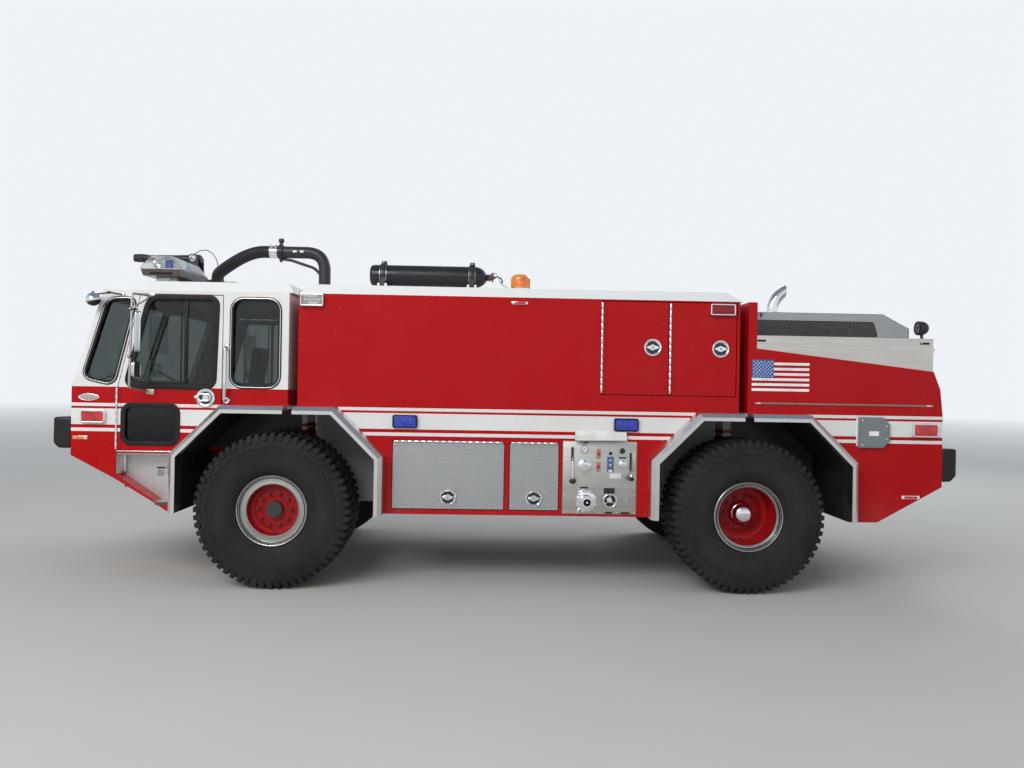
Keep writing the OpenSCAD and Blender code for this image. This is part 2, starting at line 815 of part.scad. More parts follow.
// Bright plates above the red sides, with the deck round the hood
module hood_plates() {
  x1 = plate_x1;
  shape = [
    [bulk_x1, side_top(bulk_x1) + seat_gap], [bulk_x1, plate_top_z],
    [x1, plate_top_z], [x1, side_top(x1) + seat_gap]
  ];
  color("#c8c8c2") difference() {
    slab(-plate_y, plate_y) polygon(shape);
    slab(-plate_y + 30, plate_y - 30) polygon([
      [bulk_x1 - eps, 0], [bulk_x1 - eps, plate_top_z - deck_t],
      [x1 - 30, plate_top_z - deck_t], [x1 - 30, 0]
    ]);
    block([bulk_x1 - eps, -hood_y + 20, 0], [hood_x[3] - 20, hood_y - 20, 3000]);
  }
}

hood_y = 1250;
hood_x = [bulk_x1, bulk_x1 + 1166, bulk_x1 + 1402, bulk_x1 + 1402];
hood_t = 8;

module engine_hood() {
  shape = [
    [hood_x[0], plate_top_z], [hood_x[0], hood_top_z], [hood_x[1], hood_top_z],
    [hood_x[2], hood_top_z - 132], [hood_x[3], plate_top_z]
  ];
  color("#c3c6c8") difference() {
    slab(-hood_y, hood_y) polygon(shape);
    slab(-hood_y + hood_t, hood_y - hood_t) polygon([
      shape[0] + [hood_t, -eps], shape[1] + [hood_t, -hood_t], shape[2] + [-4, -hood_t],
      shape[3] + [-hood_t, -4], shape[4] + [-hood_t, -eps]
    ]);
    both() slab(hood_y - hood_t - eps, hood_y + eps) polygon([
      [hood_x[0] + 12, plate_top_z + 8], [hood_x[0] + 12, plate_top_z + 128],
      [hood_x[0] + 1089, plate_top_z + 128], [hood_x[0] + 1136, plate_top_z + 8]
    ]);
    translate([stack_x, stack_y, hood_top_z - 50]) cylinder(r = stack_r + seat_gap, h = 100);
  }
  // Mesh behind the side openings
  color("#1b1b1c") both()
    block([hood_x[0] + hood_t, hood_y - hood_t - 3, plate_top_z], [hood_x[0] + 1150, hood_y - hood_t, plate_top_z + 150]);
}

module rear_grille() {
  blades = 7;
  pitch = (grille_z[1] - grille_z[0] - 40) / blades;
  x = engine_x1 - wall_t;
  color("#2a2b2d") {
    difference() {
      cross(x, engine_x1 - 5)
        round_rect([-grille_half + seat_gap, grille_z[0] + seat_gap],
                   [grille_half - seat_gap, grille_z[1] - seat_gap], 30);
      block([x - eps, -grille_half + 20, grille_z[0] + 20], [engine_x1, grille_half - 20, grille_z[1] - 20]);
    }
    for (i = [0:blades - 1])
      slab(-grille_half + 20 - eps, grille_half - 20 + eps)
        translate([x + 5, grille_z[0] + 20 + i * pitch]) polygon([[0, pitch * 0.7], [6, pitch * 0.7], [36, 4], [30, 4]]);
  }
}

stack_x = bulk_x1 + 411;
stack_y = -560;
stack_r = 56;
stack_low_z = rail_top_z + engine_block.z + 150;

// Straight pipe with a clamp and a turned-back tip
module exhaust_stack() {
  bend = 260;
  bend_z = hood_top_z + 60;
  color("#d5d7da") translate([stack_x, stack_y, 0]) {
    translate([0, 0, stack_low_z]) cylinder(r = stack_r, h = bend_z - stack_low_z);
    translate([0, 0, bend_z - 24]) cylinder(r = stack_r + 5, h = 34);
    translate([bend, 0, bend_z]) rotate([90, 0, 0]) difference() {
      rotate([0, 0, 122]) rotate_extrude(angle = 58.5) translate([bend, 0]) circle(stack_r);
      rotate([0, 0, 121]) rotate_extrude(angle = 30) translate([bend, 0]) circle(stack_r - 5);
    }
  }
}

module rear_bumper() {
  cut = 54;
  low = rear_bumper_z[0];
  high = rear_bumper_z[1];
  color("#18181a") slab(-side_y, side_y) polygon([
    [engine_x1, low], [tail_x - cut, low], [tail_x, low + cut], [tail_x, high], [engine_x1, high]
  ]);
}

// Roof gear

bottle_x = tank_x0 + 582;
bottle_y = 460 - side_y;
bottle_z = roof_z + 40 + bottle_d / 2;
beacon_x = bottle_x + bottle_len + 270;

module gas_cylinder() {
  r = bottle_d / 2;
  color("#202123") {
    translate([bottle_x, bottle_y, bottle_z]) rotate([0, 90, 0]) rotate_extrude() polygon(concat(
      [[0, 0], [r - 25, 0], [r, 25], [r, bottle_len - 60]],
      [for (a = [0:15:75]) [r * cos(a), bottle_len - 60 + r * 0.9 * sin(a)]],
      [[28, bottle_len + 40], [28, bottle_len + 75], [0, bottle_len + 75]]
    ));
    // Cradles on the roof with their straps
    for (x = [0.16, 0.84]) {
      difference() {
        union() {
          block([bottle_x + bottle_len * x - 30, bottle_y - r - 25, roof_z],
                [bottle_x + bottle_len * x + 30, bottle_y + r + 25, bottle_z]);
          translate([0, bottle_y, bottle_z])
            bar_x(r + 8, bottle_x + bottle_len * x - 30, bottle_x + bottle_len * x + 30);
        }
        translate([0, bottle_y, bottle_z])
          bar_x(r - 2, bottle_x + bottle_len * x - 31, bottle_x + bottle_len * x + 31);
      }
    }
  }
}

bar_x0 = axle_f - 1310;
bar_pod_w = 640;
bar_in_y = 560;

// A pod of the split light bar: base tray and clear trapezoid lens
module light_bars() {
  color("#dfe4e8") both() {
    slab(bar_in_y, bar_in_y + bar_pod_w) polygon([
      [bar_x0 + 10, roof_z + 110], [bar_x0 + 360, roof_z + 110], [bar_x0 + 370, roof_z + 150],
      [bar_x0 + 290, roof_z + 315], [bar_x0 + 90, roof_z + 315], [bar_x0, roof_z + 150]
    ]);
    block([bar_x0 + 30, bar_in_y + 20, roof_z + 60], [bar_x0 + 340, bar_in_y + bar_pod_w - 20, roof_z + 110]);
    for (y = [bar_in_y + 60, bar_in_y + bar_pod_w - 130])
      block([bar_x0 + 120, y, roof_z], [bar_x0 + 250, y + 70, roof_z + 60]);
  }
}

turret_x = axle_f - 1250;
yaw_z = roof_z + turret_base_h;
barrel_z = yaw_z + barrel_rise;
trunnion_r = 20;

module turret_base() {
  color("#1b1c1e") translate([turret_x, 0, 0]) {
    translate([0, 0, roof_z]) cylinder(r = 150, h = 20);
    translate([0, 0, roof_z]) cylinder(r = 85, h = yaw_z - roof_z);
    // Inlet stub towards the hose
    translate([0, 0, hose_end.z]) rotate([0, 0, hose_turn])
      bar_x(pipe_d / 2 - 12, 40, 190);
  }
}

// Fork that turns on the base and carries the barrel
module turret_yoke() {
  color("#1b1c1e") translate([turret_x, 0, 0]) {
    translate([0, 0, yaw_z]) cylinder(r = 100, h = 50);
    difference() {
      both() block([-55, 75, yaw_z + 50], [55, 95, barrel_z + 45]);
      translate([0, 0, barrel_z]) bar_y(trunnion_r + pin_fit, -96, 96);
    }
    block([-55, -95, yaw_z + 49], [55, 95, yaw_z + 65]);
  }
}

module turret_barrel() {
  color("#222326") translate([turret_x, 0, barrel_z]) {
    bar_y(trunnion_r, -105, 105);
    bar_y(36, -68, 68);
    sphere(50);
    rotate([0, -90, 0]) rotate_extrude() polygon([
      [0, -60], [40, -60], [48, 0], [42, 160], [34, barrel_len - 140], [34, barrel_len - 120],
      [42, barrel_len - 110], [42, barrel_len], [30, barrel_len], [22, barrel_len - 80], [0, barrel_len - 80]
    ]);
  }
}

pipe_z = roof_z + pipe_rise;
riser = [tank_x0 + 72, 690 - side_y];
pipe_bend = 180;
clamp_x = cab_x1 - 214;
hose_start = [clamp_x - 60, riser.y, pipe_z];
hose_end = [turret_x + 190, -60, roof_z + 120];
hose_turn = atan2(hose_end.y, hose_end.x - turret_x);

// Route of the hose from the pipe's clamp to the turret
hose_route = [
  hose_start, hose_start + [-120, 0, 0], hose_start + [-300, 60, -25],
  hose_start + [-480, 170, -75], hose_start + [-640, 310, -130],
  hose_start + [-760, 440, -180], [turret_x + 290, -95, hose_end.z + 12], hose_end
];

// A tube of radius r through the points of a route
function ring_frame(route, i) =
  let(n = len(route), a = route[max(i - 1, 0)], b = route[min(i + 1, n - 1)],
      t = (b - a) / norm(b - a), s = cross([0, 0, 1], t), side = s / norm(s))
  [side, cross(t, side)];

module sweep_tube(route, r, sides) {
  n = len(route);
  points = [for (i = [0:n - 1], k = [0:sides - 1])
    let(f = ring_frame(route, i), a = 360 * k / sides)
    route[i] + r * (cos(a) * f[0] + sin(a) * f[1])];
  walls = [for (i = [0:n - 2], k = [0:sides - 1])
    let(a = i * sides + k, b = i * sides + (k + 1) % sides)
    each [[a, a + sides, b + sides], [a, b + sides, b]]];
  polyhedron(points, concat(
    [[for (k = [0:sides - 1]) k]], walls, [[for (k = [sides - 1:-1:0]) (n - 1) * sides + k]]
  ));
}

module supply_pipe() {
  r = pipe_d / 2;
  color("#1a1b1d") {
    translate([riser.x, riser.y, roof_z]) {
      cylinder(r = r + 34, h = 20);
      cylinder(r = r, h = pipe_z - pipe_bend - roof_z);
    }
    translate([riser.x - pipe_bend, riser.y, pipe_z - pipe_bend]) rotate([90, 0, 0])
      rotate_extrude(angle = 90) translate([pipe_bend, 0]) circle(r);
    translate([0, riser.y, pipe_z]) {
      bar_x(r, clamp_x, riser.x - pipe_bend);
      bar_x(r + 12, clamp_x - 60, clamp_x + 60);
    }
    sweep_tube(hose_route, r + 4, 12);
  }
}

// Lamps, rails and plates

module white_lamps() {
  color("#e8ebe6") {
    // Scene lamps at the body's front corners, headlamps in the cab's face
    both() block([tank_x0 + 19, side_y, 2490], [tank_x0 + 221, side_y + 40, 2598]);
    both() for (y = [860, 1060])
      translate([0, y, 1580]) bar_x(88, cab_x0 - 22, cab_x0);
    // Work lamps over the rear corners
    both() translate([engine_x1 - 190, 1180, 0]) {
      translate([0, 0, plate_top_z]) cylinder(r = 14, h = 40);
      translate([0, 0, plate_top_z + 100]) bar_x(66, -40, 60);
    }
  }
}

module red_lamps() {
  color("#8e1014") {
    both() {
      block([axle_f - 1709, side_y, 1423], [axle_f - 1497, side_y + 32, 1540]);
      block([engine_x1 - 284, side_y, 1411], [engine_x1 - 49, side_y + 32, 1535]);
      block([engine_x1 - 370, side_y, 850], [engine_x1 - 206, side_y + 14, 880]);
      block([tank_mid - 86, side_y, eave_z - 65], [tank_mid + 59, side_y + 14, eave_z - 35]);
      // Tail lamps
      block([engine_x1, side_y - 190, 1350], [engine_x1 + 22, side_y - 60, 1560]);
    }
  }
}

module blue_lamps() {
  color("#1238a8") both() for (x = [arch_f + 1096, arch_r - 1125])
    block([x - 110, side_y, 1422], [x + 110, side_y + 30, 1538]);
}

module amber_lamps() {
  color("#e08a12") {
    both() block([cab_x0 + 17, side_y, 1277], [cab_x0 + 145, side_y + 12, 1308]);
    // Beacon on the body's roof
    translate([beacon_x, bottle_y, roof_z]) {
      cylinder(r = 100, h = 30);
      cylinder(r = 92, h = 150);
      translate([0, 0, 150]) cylinder(r1 = 92, r2 = 70, h = 30);
    }
  }
}

module grab_rails() {
  r = 16;
  bend = 45;
  off = 62;
  x = axle_f - 445;
  z0 = 1640;
  z1 = 2110;
  color("#d5d7da") both() translate([x, side_y, 0]) {
    for (z = [z0, z1]) translate([0, 0, z]) bar_y(r, 0, off - bend);
    translate([0, off, 0]) translate([0, 0, z0 + bend]) cylinder(r = r, h = z1 - z0 - 2 * bend);
    translate([0, off - bend, z1 - bend]) rotate([90, 0, 90])
      rotate_extrude(angle = 90) translate([bend, 0]) circle(r);
    translate([0, off - bend, z0 + bend]) rotate([90, 0, 90])
      rotate([0, 0, -90]) rotate_extrude(angle = 90) translate([bend, 0]) circle(r);
    for (z = [z0, z1]) translate([0, 0, z]) bar_y(30, 0, 8);
  }
}

// Doors, drawn for the right side

hinge_r = 9;
hinge_y = side_y + hinge_r + seat_gap;
leaf_lead = 5;

// Hinge barrel standing along a door's front edge, joined by a leaf
module upright_hinge(x, z0, z1) {
  translate([x, hinge_y, z0]) cylinder(r = hinge_r, h = z1 - z0);
  block([x + leaf_lead, side_y, z0], [x + 34, side_y + 4, z1]);
}

module cab_door() {
  difference() {
    union() {
      slab(side_y - door_t, side_y) cab_door_shape(door_gap);
      upright_hinge(door_x0, floor_z + 14, belt_z - 10);
      translate([door_x1 - 142, 0, 1659]) bar_y(80, side_y, side_y + 12);
    }
    slab(side_y - door_t - eps, side_y + eps) {
      door_window_shape(0);
      low_window_shape(0);
    }
  }
}

module door_glass() {
  mid = side_y - door_t / 2;
  color([0.2, 0.25, 0.25, 0.5]) slab(mid - glass_t / 2, mid + glass_t / 2) {
    door_window_shape(-seat_gap);
    low_window_shape(-seat_gap);
  }
}

module cab_door_left() { color("#b3121c") mirror([0, 1, 0]) cab_door(); }
module cab_door_right() { color("#b3121c") cab_door(); }
module door_glass_left() { mirror([0, 1, 0]) door_glass(); }
module door_glass_right() { door_glass(); }

// Mirror arms of bent tube with the tall head and the round-cornered lower one
module mirror_set() {
  r = 11;
  x = axle_f - 1235;
  out = side_y + 230;
  color("#1d1e20") {
    for (z = [1800, 2470]) {
      translate([x, 0, z]) bar_y(r, side_y, out);
      translate([x, 0, z]) bar_y(26, side_y, side_y + 8);
    }
    translate([x, out, 1800 - r]) cylinder(r = r, h = 670 + 2 * r);
    block([x + 10, out - 95, 2010], [x + 75, out + 95, 2370]);
    block([x + 10, out - 75, 1840], [x + 65, out + 75, 1980]);
  }
}

module mirror_left() { mirror([0, 1, 0]) mirror_set(); }
module mirror_right() { mirror_set(); }

// A flush panel inside its opening, the gap all round
module flush_panel(rect, gap) {
  low = rect[0] + [gap, gap];
  high = rect[1] - [gap, gap];
  slab(side_y - door_t, side_y) polygon([low, [high.x, low.y], high, [low.x, high.y]]);
}

module latch(x, z, r) {
  translate([x, 0, z]) difference() {
    bar_y(r, side_y, side_y + 10);
    bar_y(r - 14, side_y + 3, side_y + 11);
  }
  translate([x, 0, z]) bar_y(r / 3, side_y, side_y + 9);
}

module upper_door(i) {
  rect = upper_rects[i];
  flush_panel(rect, door_gap);
  upright_hinge(rect[0].x, rect[0].y + 20, rect[1].y - 20);
  latch(rect[1].x - 150, 2180, 75);
}

// The rear one carries a scene lamp in its upper corner
module upper_door_rear() {
  upper_door(1);
  corner = upper_rects[1][1];
  block([corner.x - 241, side_y, corner.y - 105], [corner.x - 25, side_y + 40, corner.y - 12]);
}

// Lower doors lift on a hinge along their top edge
module lower_door(i) {
  rect = lower_rects[i];
  flush_panel(rect, door_gap);
  translate([0, hinge_y, rect[1].y]) bar_x(hinge_r, rect[0].x + 20, rect[1].x - 20);
  block([rect[0].x + 20, side_y, rect[1].y - 38], [rect[1].x - 20, side_y + 4, rect[1].y - leaf_lead]);
  latch((rect[0].x + rect[1].x) / 2, rect[0].y + 112, 72);
}

module upper_door_front_left() { color("#b3121c") mirror([0, 1, 0]) upper_door(0); }
module upper_door_front_right() { color("#b3121c") upper_door(0); }
module upper_door_rear_left() { color("#b3121c") mirror([0, 1, 0]) upper_door_rear(); }
module upper_door_rear_right() { color("#b3121c") upper_door_rear(); }
module lower_door_front_left() { color("#c3c6c8") mirror([0, 1, 0]) lower_door(0); }
module lower_door_front_right() { color("#c3c6c8") lower_door(0); }
module lower_door_rear_left() { color("#c3c6c8") mirror([0, 1, 0]) lower_door(1); }
module lower_door_rear_right() { color("#c3c6c8") lower_door(1); }

// Wheels, drawn for the right side

bead_r = rim_d / 2 - 30;

// Half of the tyre's section as radius and distance from its middle
function tyre_half() = [
  [bead_r, tyre_w * 0.40], [rim_d / 2 + 3, tyre_w * 0.40], [rim_d / 2 + 60, tyre_w * 0.475],
  [rim_d / 2 + 150, tyre_w * 0.5], [rim_d / 2 + 240, tyre_w * 0.49],
  [tyre_d / 2 - 70, tyre_w * 0.465], [tyre_d / 2 - 14, tyre_w * 0.425], [tyre_d / 2, tyre_w * 0.39]
];

module tyre(x) {
  half = tyre_half();
  n = len(half);
  color("#1b1b1c") translate([x, wheel_y, hub_z]) rotate([-90, 0, 0]) rotate_extrude($fn = 96)
    polygon(concat(half, [for (i = [n - 1:-1:0]) [half[i].x, -half[i].y]]));
}

// A wheel: barrel with flanges, its silver outer ring, disc, hub and nuts
module rim(x, disc_y, ring_d) {
  outer = wheel_y + tyre_w * 0.40;
  inner = wheel_y - tyre_w * 0.40;
  r = bead_r - seat_gap;
  color("#b9bcbf") translate([x, 0, hub_z]) {
    rotate([-90, 0, 0]) rotate_extrude($fn = 96) {
      // Barrel
      polygon([[r - 14, inner], [r, inner], [r, outer], [r - 14, outer]]);
      // Flanges outside the tyre's beads
      polygon([[r - 14, outer + seat_gap], [rim_d / 2, outer + seat_gap],
               [rim_d / 2, outer + 12], [r - 14, outer + 12]]);
      polygon([[r - 14, inner - 12], [rim_d / 2, inner - 12],
               [rim_d / 2, inner - seat_gap], [r - 14, inner - seat_gap]]);
      polygon([[r - 15, outer - 6], [r - 1, outer - 6], [r - 1, outer + 6], [r - 15, outer + 6]]);
      polygon([[r - 15, inner - 6], [r - 1, inner - 6], [r - 1, inner + 6], [r - 15, inner + 6]]);
      // Silver ring
      polygon([[ring_d / 2, outer - 6], [r - 10, outer - 6], [r - 10, outer + 6], [ring_d / 2, outer + 6]]);
      // Disc and hub, with the bore for the spindle
      polygon([[spindle_r + spindle_fit, disc_y - disc_t], [r - 10, disc_y - disc_t],
               [r - 10, disc_y], [spindle_r + spindle_fit, disc_y]]);
      polygon([[spindle_r + spindle_fit, disc_y - eps], [88, disc_y - eps],
               [88, disc_y + hub_nose], [spindle_r + spindle_fit, disc_y + hub_nose]]);
    }
    translate([0, disc_y + hub_nose, 0]) rotate([-90, 0, 0]) cylinder(r = 88, h = 12);
    for (i = [0:9]) rotate([0, i * 36 + 18, 0])
      translate([nut_circle_d / 2, 0, 0]) bar_y(18, disc_y - eps, disc_y + 26);
  }
}

module tyre_front_left() { mirror([0, 1, 0]) tyre(axle_f); }
module tyre_front_right() { tyre(axle_f); }
module tyre_rear_left() { mirror([0, 1, 0]) tyre(axle_r); }
module tyre_rear_right() { tyre(axle_r); }
module rim_front_left() { mirror([0, 1, 0]) rim(axle_f, front_disc_y, front_ring_d); }
module rim_front_right() { rim(axle_f, front_disc_y, front_ring_d); }
module rim_rear_left() { mirror([0, 1, 0]) rim(axle_r, rear_disc_y, rear_ring_d); }
module rim_rear_right() { rim(axle_r, rear_disc_y, rear_ring_d); }

frame();
front_axle();
rear_axle();
driveline();
engine();
cab_shell();
cab_roof();
cab_glass();
dashboard();
seats();
front_bumper();
cab_steps();
fender_flares();
wheel_wells();
tank_body();
body_roof();
pump_panels();
bulkhead();
engine_body();
hood_plates();
engine_hood();
rear_grille();
exhaust_stack();
rear_bumper();
gas_cylinder();
light_bars();
turret_base();
turret_yoke();
turret_barrel();
supply_pipe();
white_lamps();
red_lamps();
blue_lamps();
amber_lamps();
grab_rails();
cab_door_left();
cab_door_right();
door_glass_left();
door_glass_right();
mirror_left();
mirror_right();
upper_door_front_left();
upper_door_front_right();
upper_door_rear_left();
upper_door_rear_right();
lower_door_front_left();
lower_door_front_right();
lower_door_rear_left();
lower_door_rear_right();
knuckle_left();
knuckle_right();
tie_rod();
tyre_front_left();
tyre_front_right();
tyre_rear_left();
tyre_rear_right();
rim_front_left();
rim_front_right();
rim_rear_left();
rim_rear_right();
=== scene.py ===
import math

import bpy
from mathutils import Matrix, Vector


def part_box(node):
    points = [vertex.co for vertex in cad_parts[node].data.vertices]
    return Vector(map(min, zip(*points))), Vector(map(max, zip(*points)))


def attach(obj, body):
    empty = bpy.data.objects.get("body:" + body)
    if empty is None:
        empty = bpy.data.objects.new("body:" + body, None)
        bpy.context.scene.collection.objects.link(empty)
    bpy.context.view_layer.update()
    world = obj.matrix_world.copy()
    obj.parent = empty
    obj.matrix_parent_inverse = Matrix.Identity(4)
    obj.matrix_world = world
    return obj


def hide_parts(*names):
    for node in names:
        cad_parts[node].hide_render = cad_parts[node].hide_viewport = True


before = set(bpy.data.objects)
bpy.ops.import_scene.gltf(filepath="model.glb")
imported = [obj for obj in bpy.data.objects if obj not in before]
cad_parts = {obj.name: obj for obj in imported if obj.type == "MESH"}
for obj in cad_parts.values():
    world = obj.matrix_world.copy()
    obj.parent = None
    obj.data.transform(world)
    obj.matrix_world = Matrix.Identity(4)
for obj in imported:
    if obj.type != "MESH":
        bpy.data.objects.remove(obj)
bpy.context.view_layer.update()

# Metres. The truck faces -X, its left side is -Y, the ground is z = 0.
SIDES = {"left": -1, "right": 1}
SIDE_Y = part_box("tank_body")[1].y
AXLE_F = (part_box("tyre_front_left")[0].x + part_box("tyre_front_left")[1].x) / 2
AXLE_R = (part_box("tyre_rear_left")[0].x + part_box("tyre_rear_left")[1].x) / 2
TYRE_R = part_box("tyre_front_left")[1].z / 2
WHEEL_Y = 1.2
ROOF_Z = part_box("cab_roof")[1].z
CAB_X0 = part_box("cab_shell")[0].x
CAB_X1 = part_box("cab_shell")[1].x
TANK_X0, TANK_X1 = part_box("tank_body")[0].x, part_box("tank_body")[1].x
ENGINE_X0, ENGINE_X1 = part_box("engine_body")[0].x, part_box("engine_body")[1].x
BELT_Z = 1.745
TIP = 0.00001
PANE_LIFT = 0.0006


# Modelling

def none_selected():
    bpy.ops.object.select_all(action="DESELECT")


def only(*pieces):
    """Selects these pieces and no others."""
    none_selected()
    for piece in pieces:
        piece.select_set(True)
    bpy.context.view_layer.objects.active = pieces[0]
    return pieces[0]


def coated(piece, finish):
    """Gives the piece this finish, or leaves it bare for now."""
    piece.data.materials.clear()
    if finish:
        piece.data.materials.append(finish)
    return piece


def settled(piece):
    """Moves the piece's place into its mesh."""
    only(piece)
    bpy.ops.object.transform_apply(location=True, rotation=True, scale=True)
    return piece


def edit(piece):
    only(piece)
    bpy.ops.object.mode_set(mode="EDIT")
    bpy.ops.mesh.select_all(action="SELECT")


def face_out():
    """Turns all faces of the mesh in edit mode outwards and leaves edit mode."""
    bpy.ops.mesh.select_all(action="SELECT")
    bpy.ops.mesh.normals_make_consistent(inside=False)
    bpy.ops.object.mode_set(mode="OBJECT")


def smooth(piece, degrees=35):
    only(piece)
    bpy.ops.object.shade_smooth_by_angle(angle=math.radians(degrees))
    return piece


def modified(piece, kind, **values):
    """Adds a modifier with these values and applies it."""
    modifier = piece.modifiers.new(kind.title(), kind)
    for key, value in values.items():
        setattr(modifier, key, value)
    only(piece)
    bpy.ops.object.modifier_apply(modifier=modifier.name)
    return piece


def rounded(piece, radius, segments=2):
    modified(piece, "BEVEL", width=radius, segments=segments, limit_method="ANGLE", angle_limit=math.radians(30))
    return smooth(piece)


# Each maker below takes the finish first; None leaves the piece bare until it is joined or repeated.

def block(finish, low, high, rounding=0.003, segments=2):
    """A bevelled block from corner to corner."""
    low, high = Vector(low), Vector(high)
    none_selected()
    bpy.ops.mesh.primitive_cube_add(size=1, location=(low + high) / 2, scale=high - low)
    piece = coated(settled(bpy.context.object), finish)
    return rounded(piece, rounding, segments) if rounding else piece


def rod(finish, start, end, radius, sides=20, rounding=0.0):
    """A round bar between two points."""
    start, end = Vector(start), Vector(end)
    way = end - start
    none_selected()
    bpy.ops.mesh.primitive_cone_add(vertices=sides, radius1=radius, radius2=radius, depth=way.length,
                                    location=(start + end) / 2, rotation=way.to_track_quat("Z", "Y").to_euler())
    piece = coated(settled(bpy.context.object), finish)
    return rounded(piece, rounding) if rounding else smooth(piece)


def ball(finish, centre, radius, stretch=(1, 1, 1), segments=32):
    none_selected()
    bpy.ops.mesh.primitive_uv_sphere_add(segments=segments, ring_count=segments // 2,
                                         radius=radius, location=centre, scale=stretch)
    return smooth(coated(settled(bpy.context.object), finish), 60)


def ring(finish, radius, thickness, sides, place=(0, 0, 0), turn=0.0, degrees=35):
    """A ring of round section, flat or turned towards the side."""
    none_selected()
    bpy.ops.mesh.primitive_torus_add(location=place, rotation=(turn, 0, 0), major_radius=radius,
                                     minor_radius=thickness, major_segments=sides[0], minor_segments=sides[1])
    return smooth(coated(settled(bpy.context.object), finish), degrees)


def turned(finish, stations, origin, towards=(0, -1, 0), sides=48, degrees=32):
    """A turned piece. Each station is a distance along the axis and a radius; radius 0 closes an end."""
    along, radius = stations[0][0], max(stations[0][1], TIP)
    none_selected()
    bpy.ops.mesh.primitive_circle_add(vertices=sides, radius=radius, location=(0, 0, along))
    piece = coated(settled(bpy.context.object), finish)
    edit(piece)
    for next_along, next_radius in stations[1:]:
        next_radius = max(next_radius, TIP)
        bpy.ops.mesh.extrude_edges_move(TRANSFORM_OT_translate={"value": (0, 0, next_along - along)})
        grow = next_radius / radius
        bpy.ops.transform.resize(value=(grow, grow, 1), center_override=(0, 0, next_along))
        along, radius = next_along, next_radius
    bpy.ops.mesh.select_all(action="SELECT")
    bpy.ops.mesh.remove_doubles(threshold=0.00005)
    face_out()
    turn = Vector(towards).to_track_quat("Z", "Y").to_matrix().to_4x4()
    piece.data.transform(Matrix.Translation(origin) @ turn)
    return smooth(piece, degrees)


def rounded_route(corners, bend, steps=6):
    """The points of a route through these corners, each turned on the bend radius."""
    corners = [Vector(c) for c in corners]
    points = [corners[0]]
    for before, here, after in zip(corners, corners[1:], corners[2:]):
        back, on = (before - here).normalized(), (after - here).normalized()
        half = back.angle(on) / 2
        reach = min(bend / math.tan(half), (before - here).length * 0.49, (after - here).length * 0.49)
        start, end = here + back * reach, here + on * reach
        for i in range(steps + 1):
            t = i / steps
            points.append(start.lerp(here, t).lerp(here.lerp(end, t), t))
    return points + [corners[-1]]


def swept(finish, points, radius, sides=12, capped=True):
    """A round section carried along these points."""
    none_selected()
    bpy.ops.curve.primitive_nurbs_path_add()
    piece = bpy.context.object
    curve = piece.data
    curve.splines.clear()
    line = curve.splines.new("POLY")
    line.points.add(len(points) - 1)
    for point, place in zip(line.points, points):
        point.co = (*place, 1)
    curve.dimensions = "3D"
    curve.bevel_depth = radius
    curve.bevel_resolution = max(0, sides // 2 - 2)
    curve.use_fill_caps = capped
    piece.location = (0, 0, 0)
    bpy.ops.object.convert(target="MESH")
    edit(piece)
    bpy.ops.mesh.remove_doubles(threshold=0.00001)
    face_out()
    return smooth(coated(piece, finish), 50)


def tube(finish, corners, radius, bend=0.03, sides=12):
    """A bent tube through corner points."""
    return swept(finish, rounded_route(corners, bend), radius, sides)


def flat_face(finish, outline, near, corner, steps, plane):
    """A flat face with soft corners, drawn in XZ (or YZ) and left open for editing."""
    none_selected()
    bpy.ops.mesh.primitive_circle_add(vertices=len(outline), radius=1, fill_type="NGON")
    piece = coated(bpy.context.object, finish)
    for vertex, (across, up) in zip(piece.data.vertices, outline):
        vertex.co = (across, near, up) if plane == "XZ" else (near, across, up)
    edit(piece)
    if corner:
        bpy.ops.mesh.bevel(offset=corner, segments=steps, affect="VERTICES")
        bpy.ops.mesh.select_all(action="SELECT")
    return piece


def thicken(by, plane):
    """Carries the open face through this thickness and closes the edit."""
    step = (0, by, 0) if plane == "XZ" else (by, 0, 0)
    bpy.ops.mesh.extrude_region_move(TRANSFORM_OT_translate={"value": step})
    face_out()


def outline_piece(finish, outline, near, far, corner=0.0, steps=5, plane="XZ"):
    """A flat shape carried from near to far."""
    piece = flat_face(finish, outline, near, corner, steps, plane)
    thicken(far - near, plane)
    return smooth(piece)


def outline_ring(finish, outline, near, far, width, corner, steps=6, plane="XZ", soften=0.002):
    """A rim of this width that follows an outline, carried from near to far."""
    piece = flat_face(finish, outline, near, corner, steps, plane)
    bpy.ops.mesh.inset(thickness=width)
    bpy.ops.mesh.delete(type="FACE")
    bpy.ops.mesh.select_all(action="SELECT")
    thicken(far - near, plane)
    return rounded(piece, soften)


def grown(outline, by):
    """A convex outline with each side moved outwards."""
    count = len(outline)
    centre = (sum(p[0] for p in outline) / count, sum(p[1] for p in outline) / count)
    lines = []
    for i in range(count):
        (ax, az), (bx, bz) = outline[i], outline[(i + 1) % count]
        normal = Vector((bz - az, ax - bx)).normalized()
        if normal.dot(Vector((ax - centre[0], az - centre[1]))) < 0:
            normal = -normal
        lines.append((normal, normal.dot(Vector((ax, az))) + by))
    corners = []
    for i in range(count):
        (n, d), (m, e) = lines[i - 1], lines[i]
        det = n.x * m.y - n.y * m.x
        corners.append(((d * m.y - e * n.y) / det, (n.x * e - m.x * d) / det))
    return corners


def copied(piece, move=None):
    twin = piece.copy()
    twin.data = piece.data.copy()
    bpy.context.collection.objects.link(twin)
    if move is not None:
        twin.data.transform(move)
    return twin


def joined(pieces):
    piece = only(*pieces)
    if len(pieces) > 1:
        bpy.ops.object.join()
    return piece


def repeated(piece, moves):
    """Copies of the piece at each move, joined."""
    copies = [copied(piece, move) for move in moves]
    bpy.data.objects.remove(piece)
    return joined(copies)


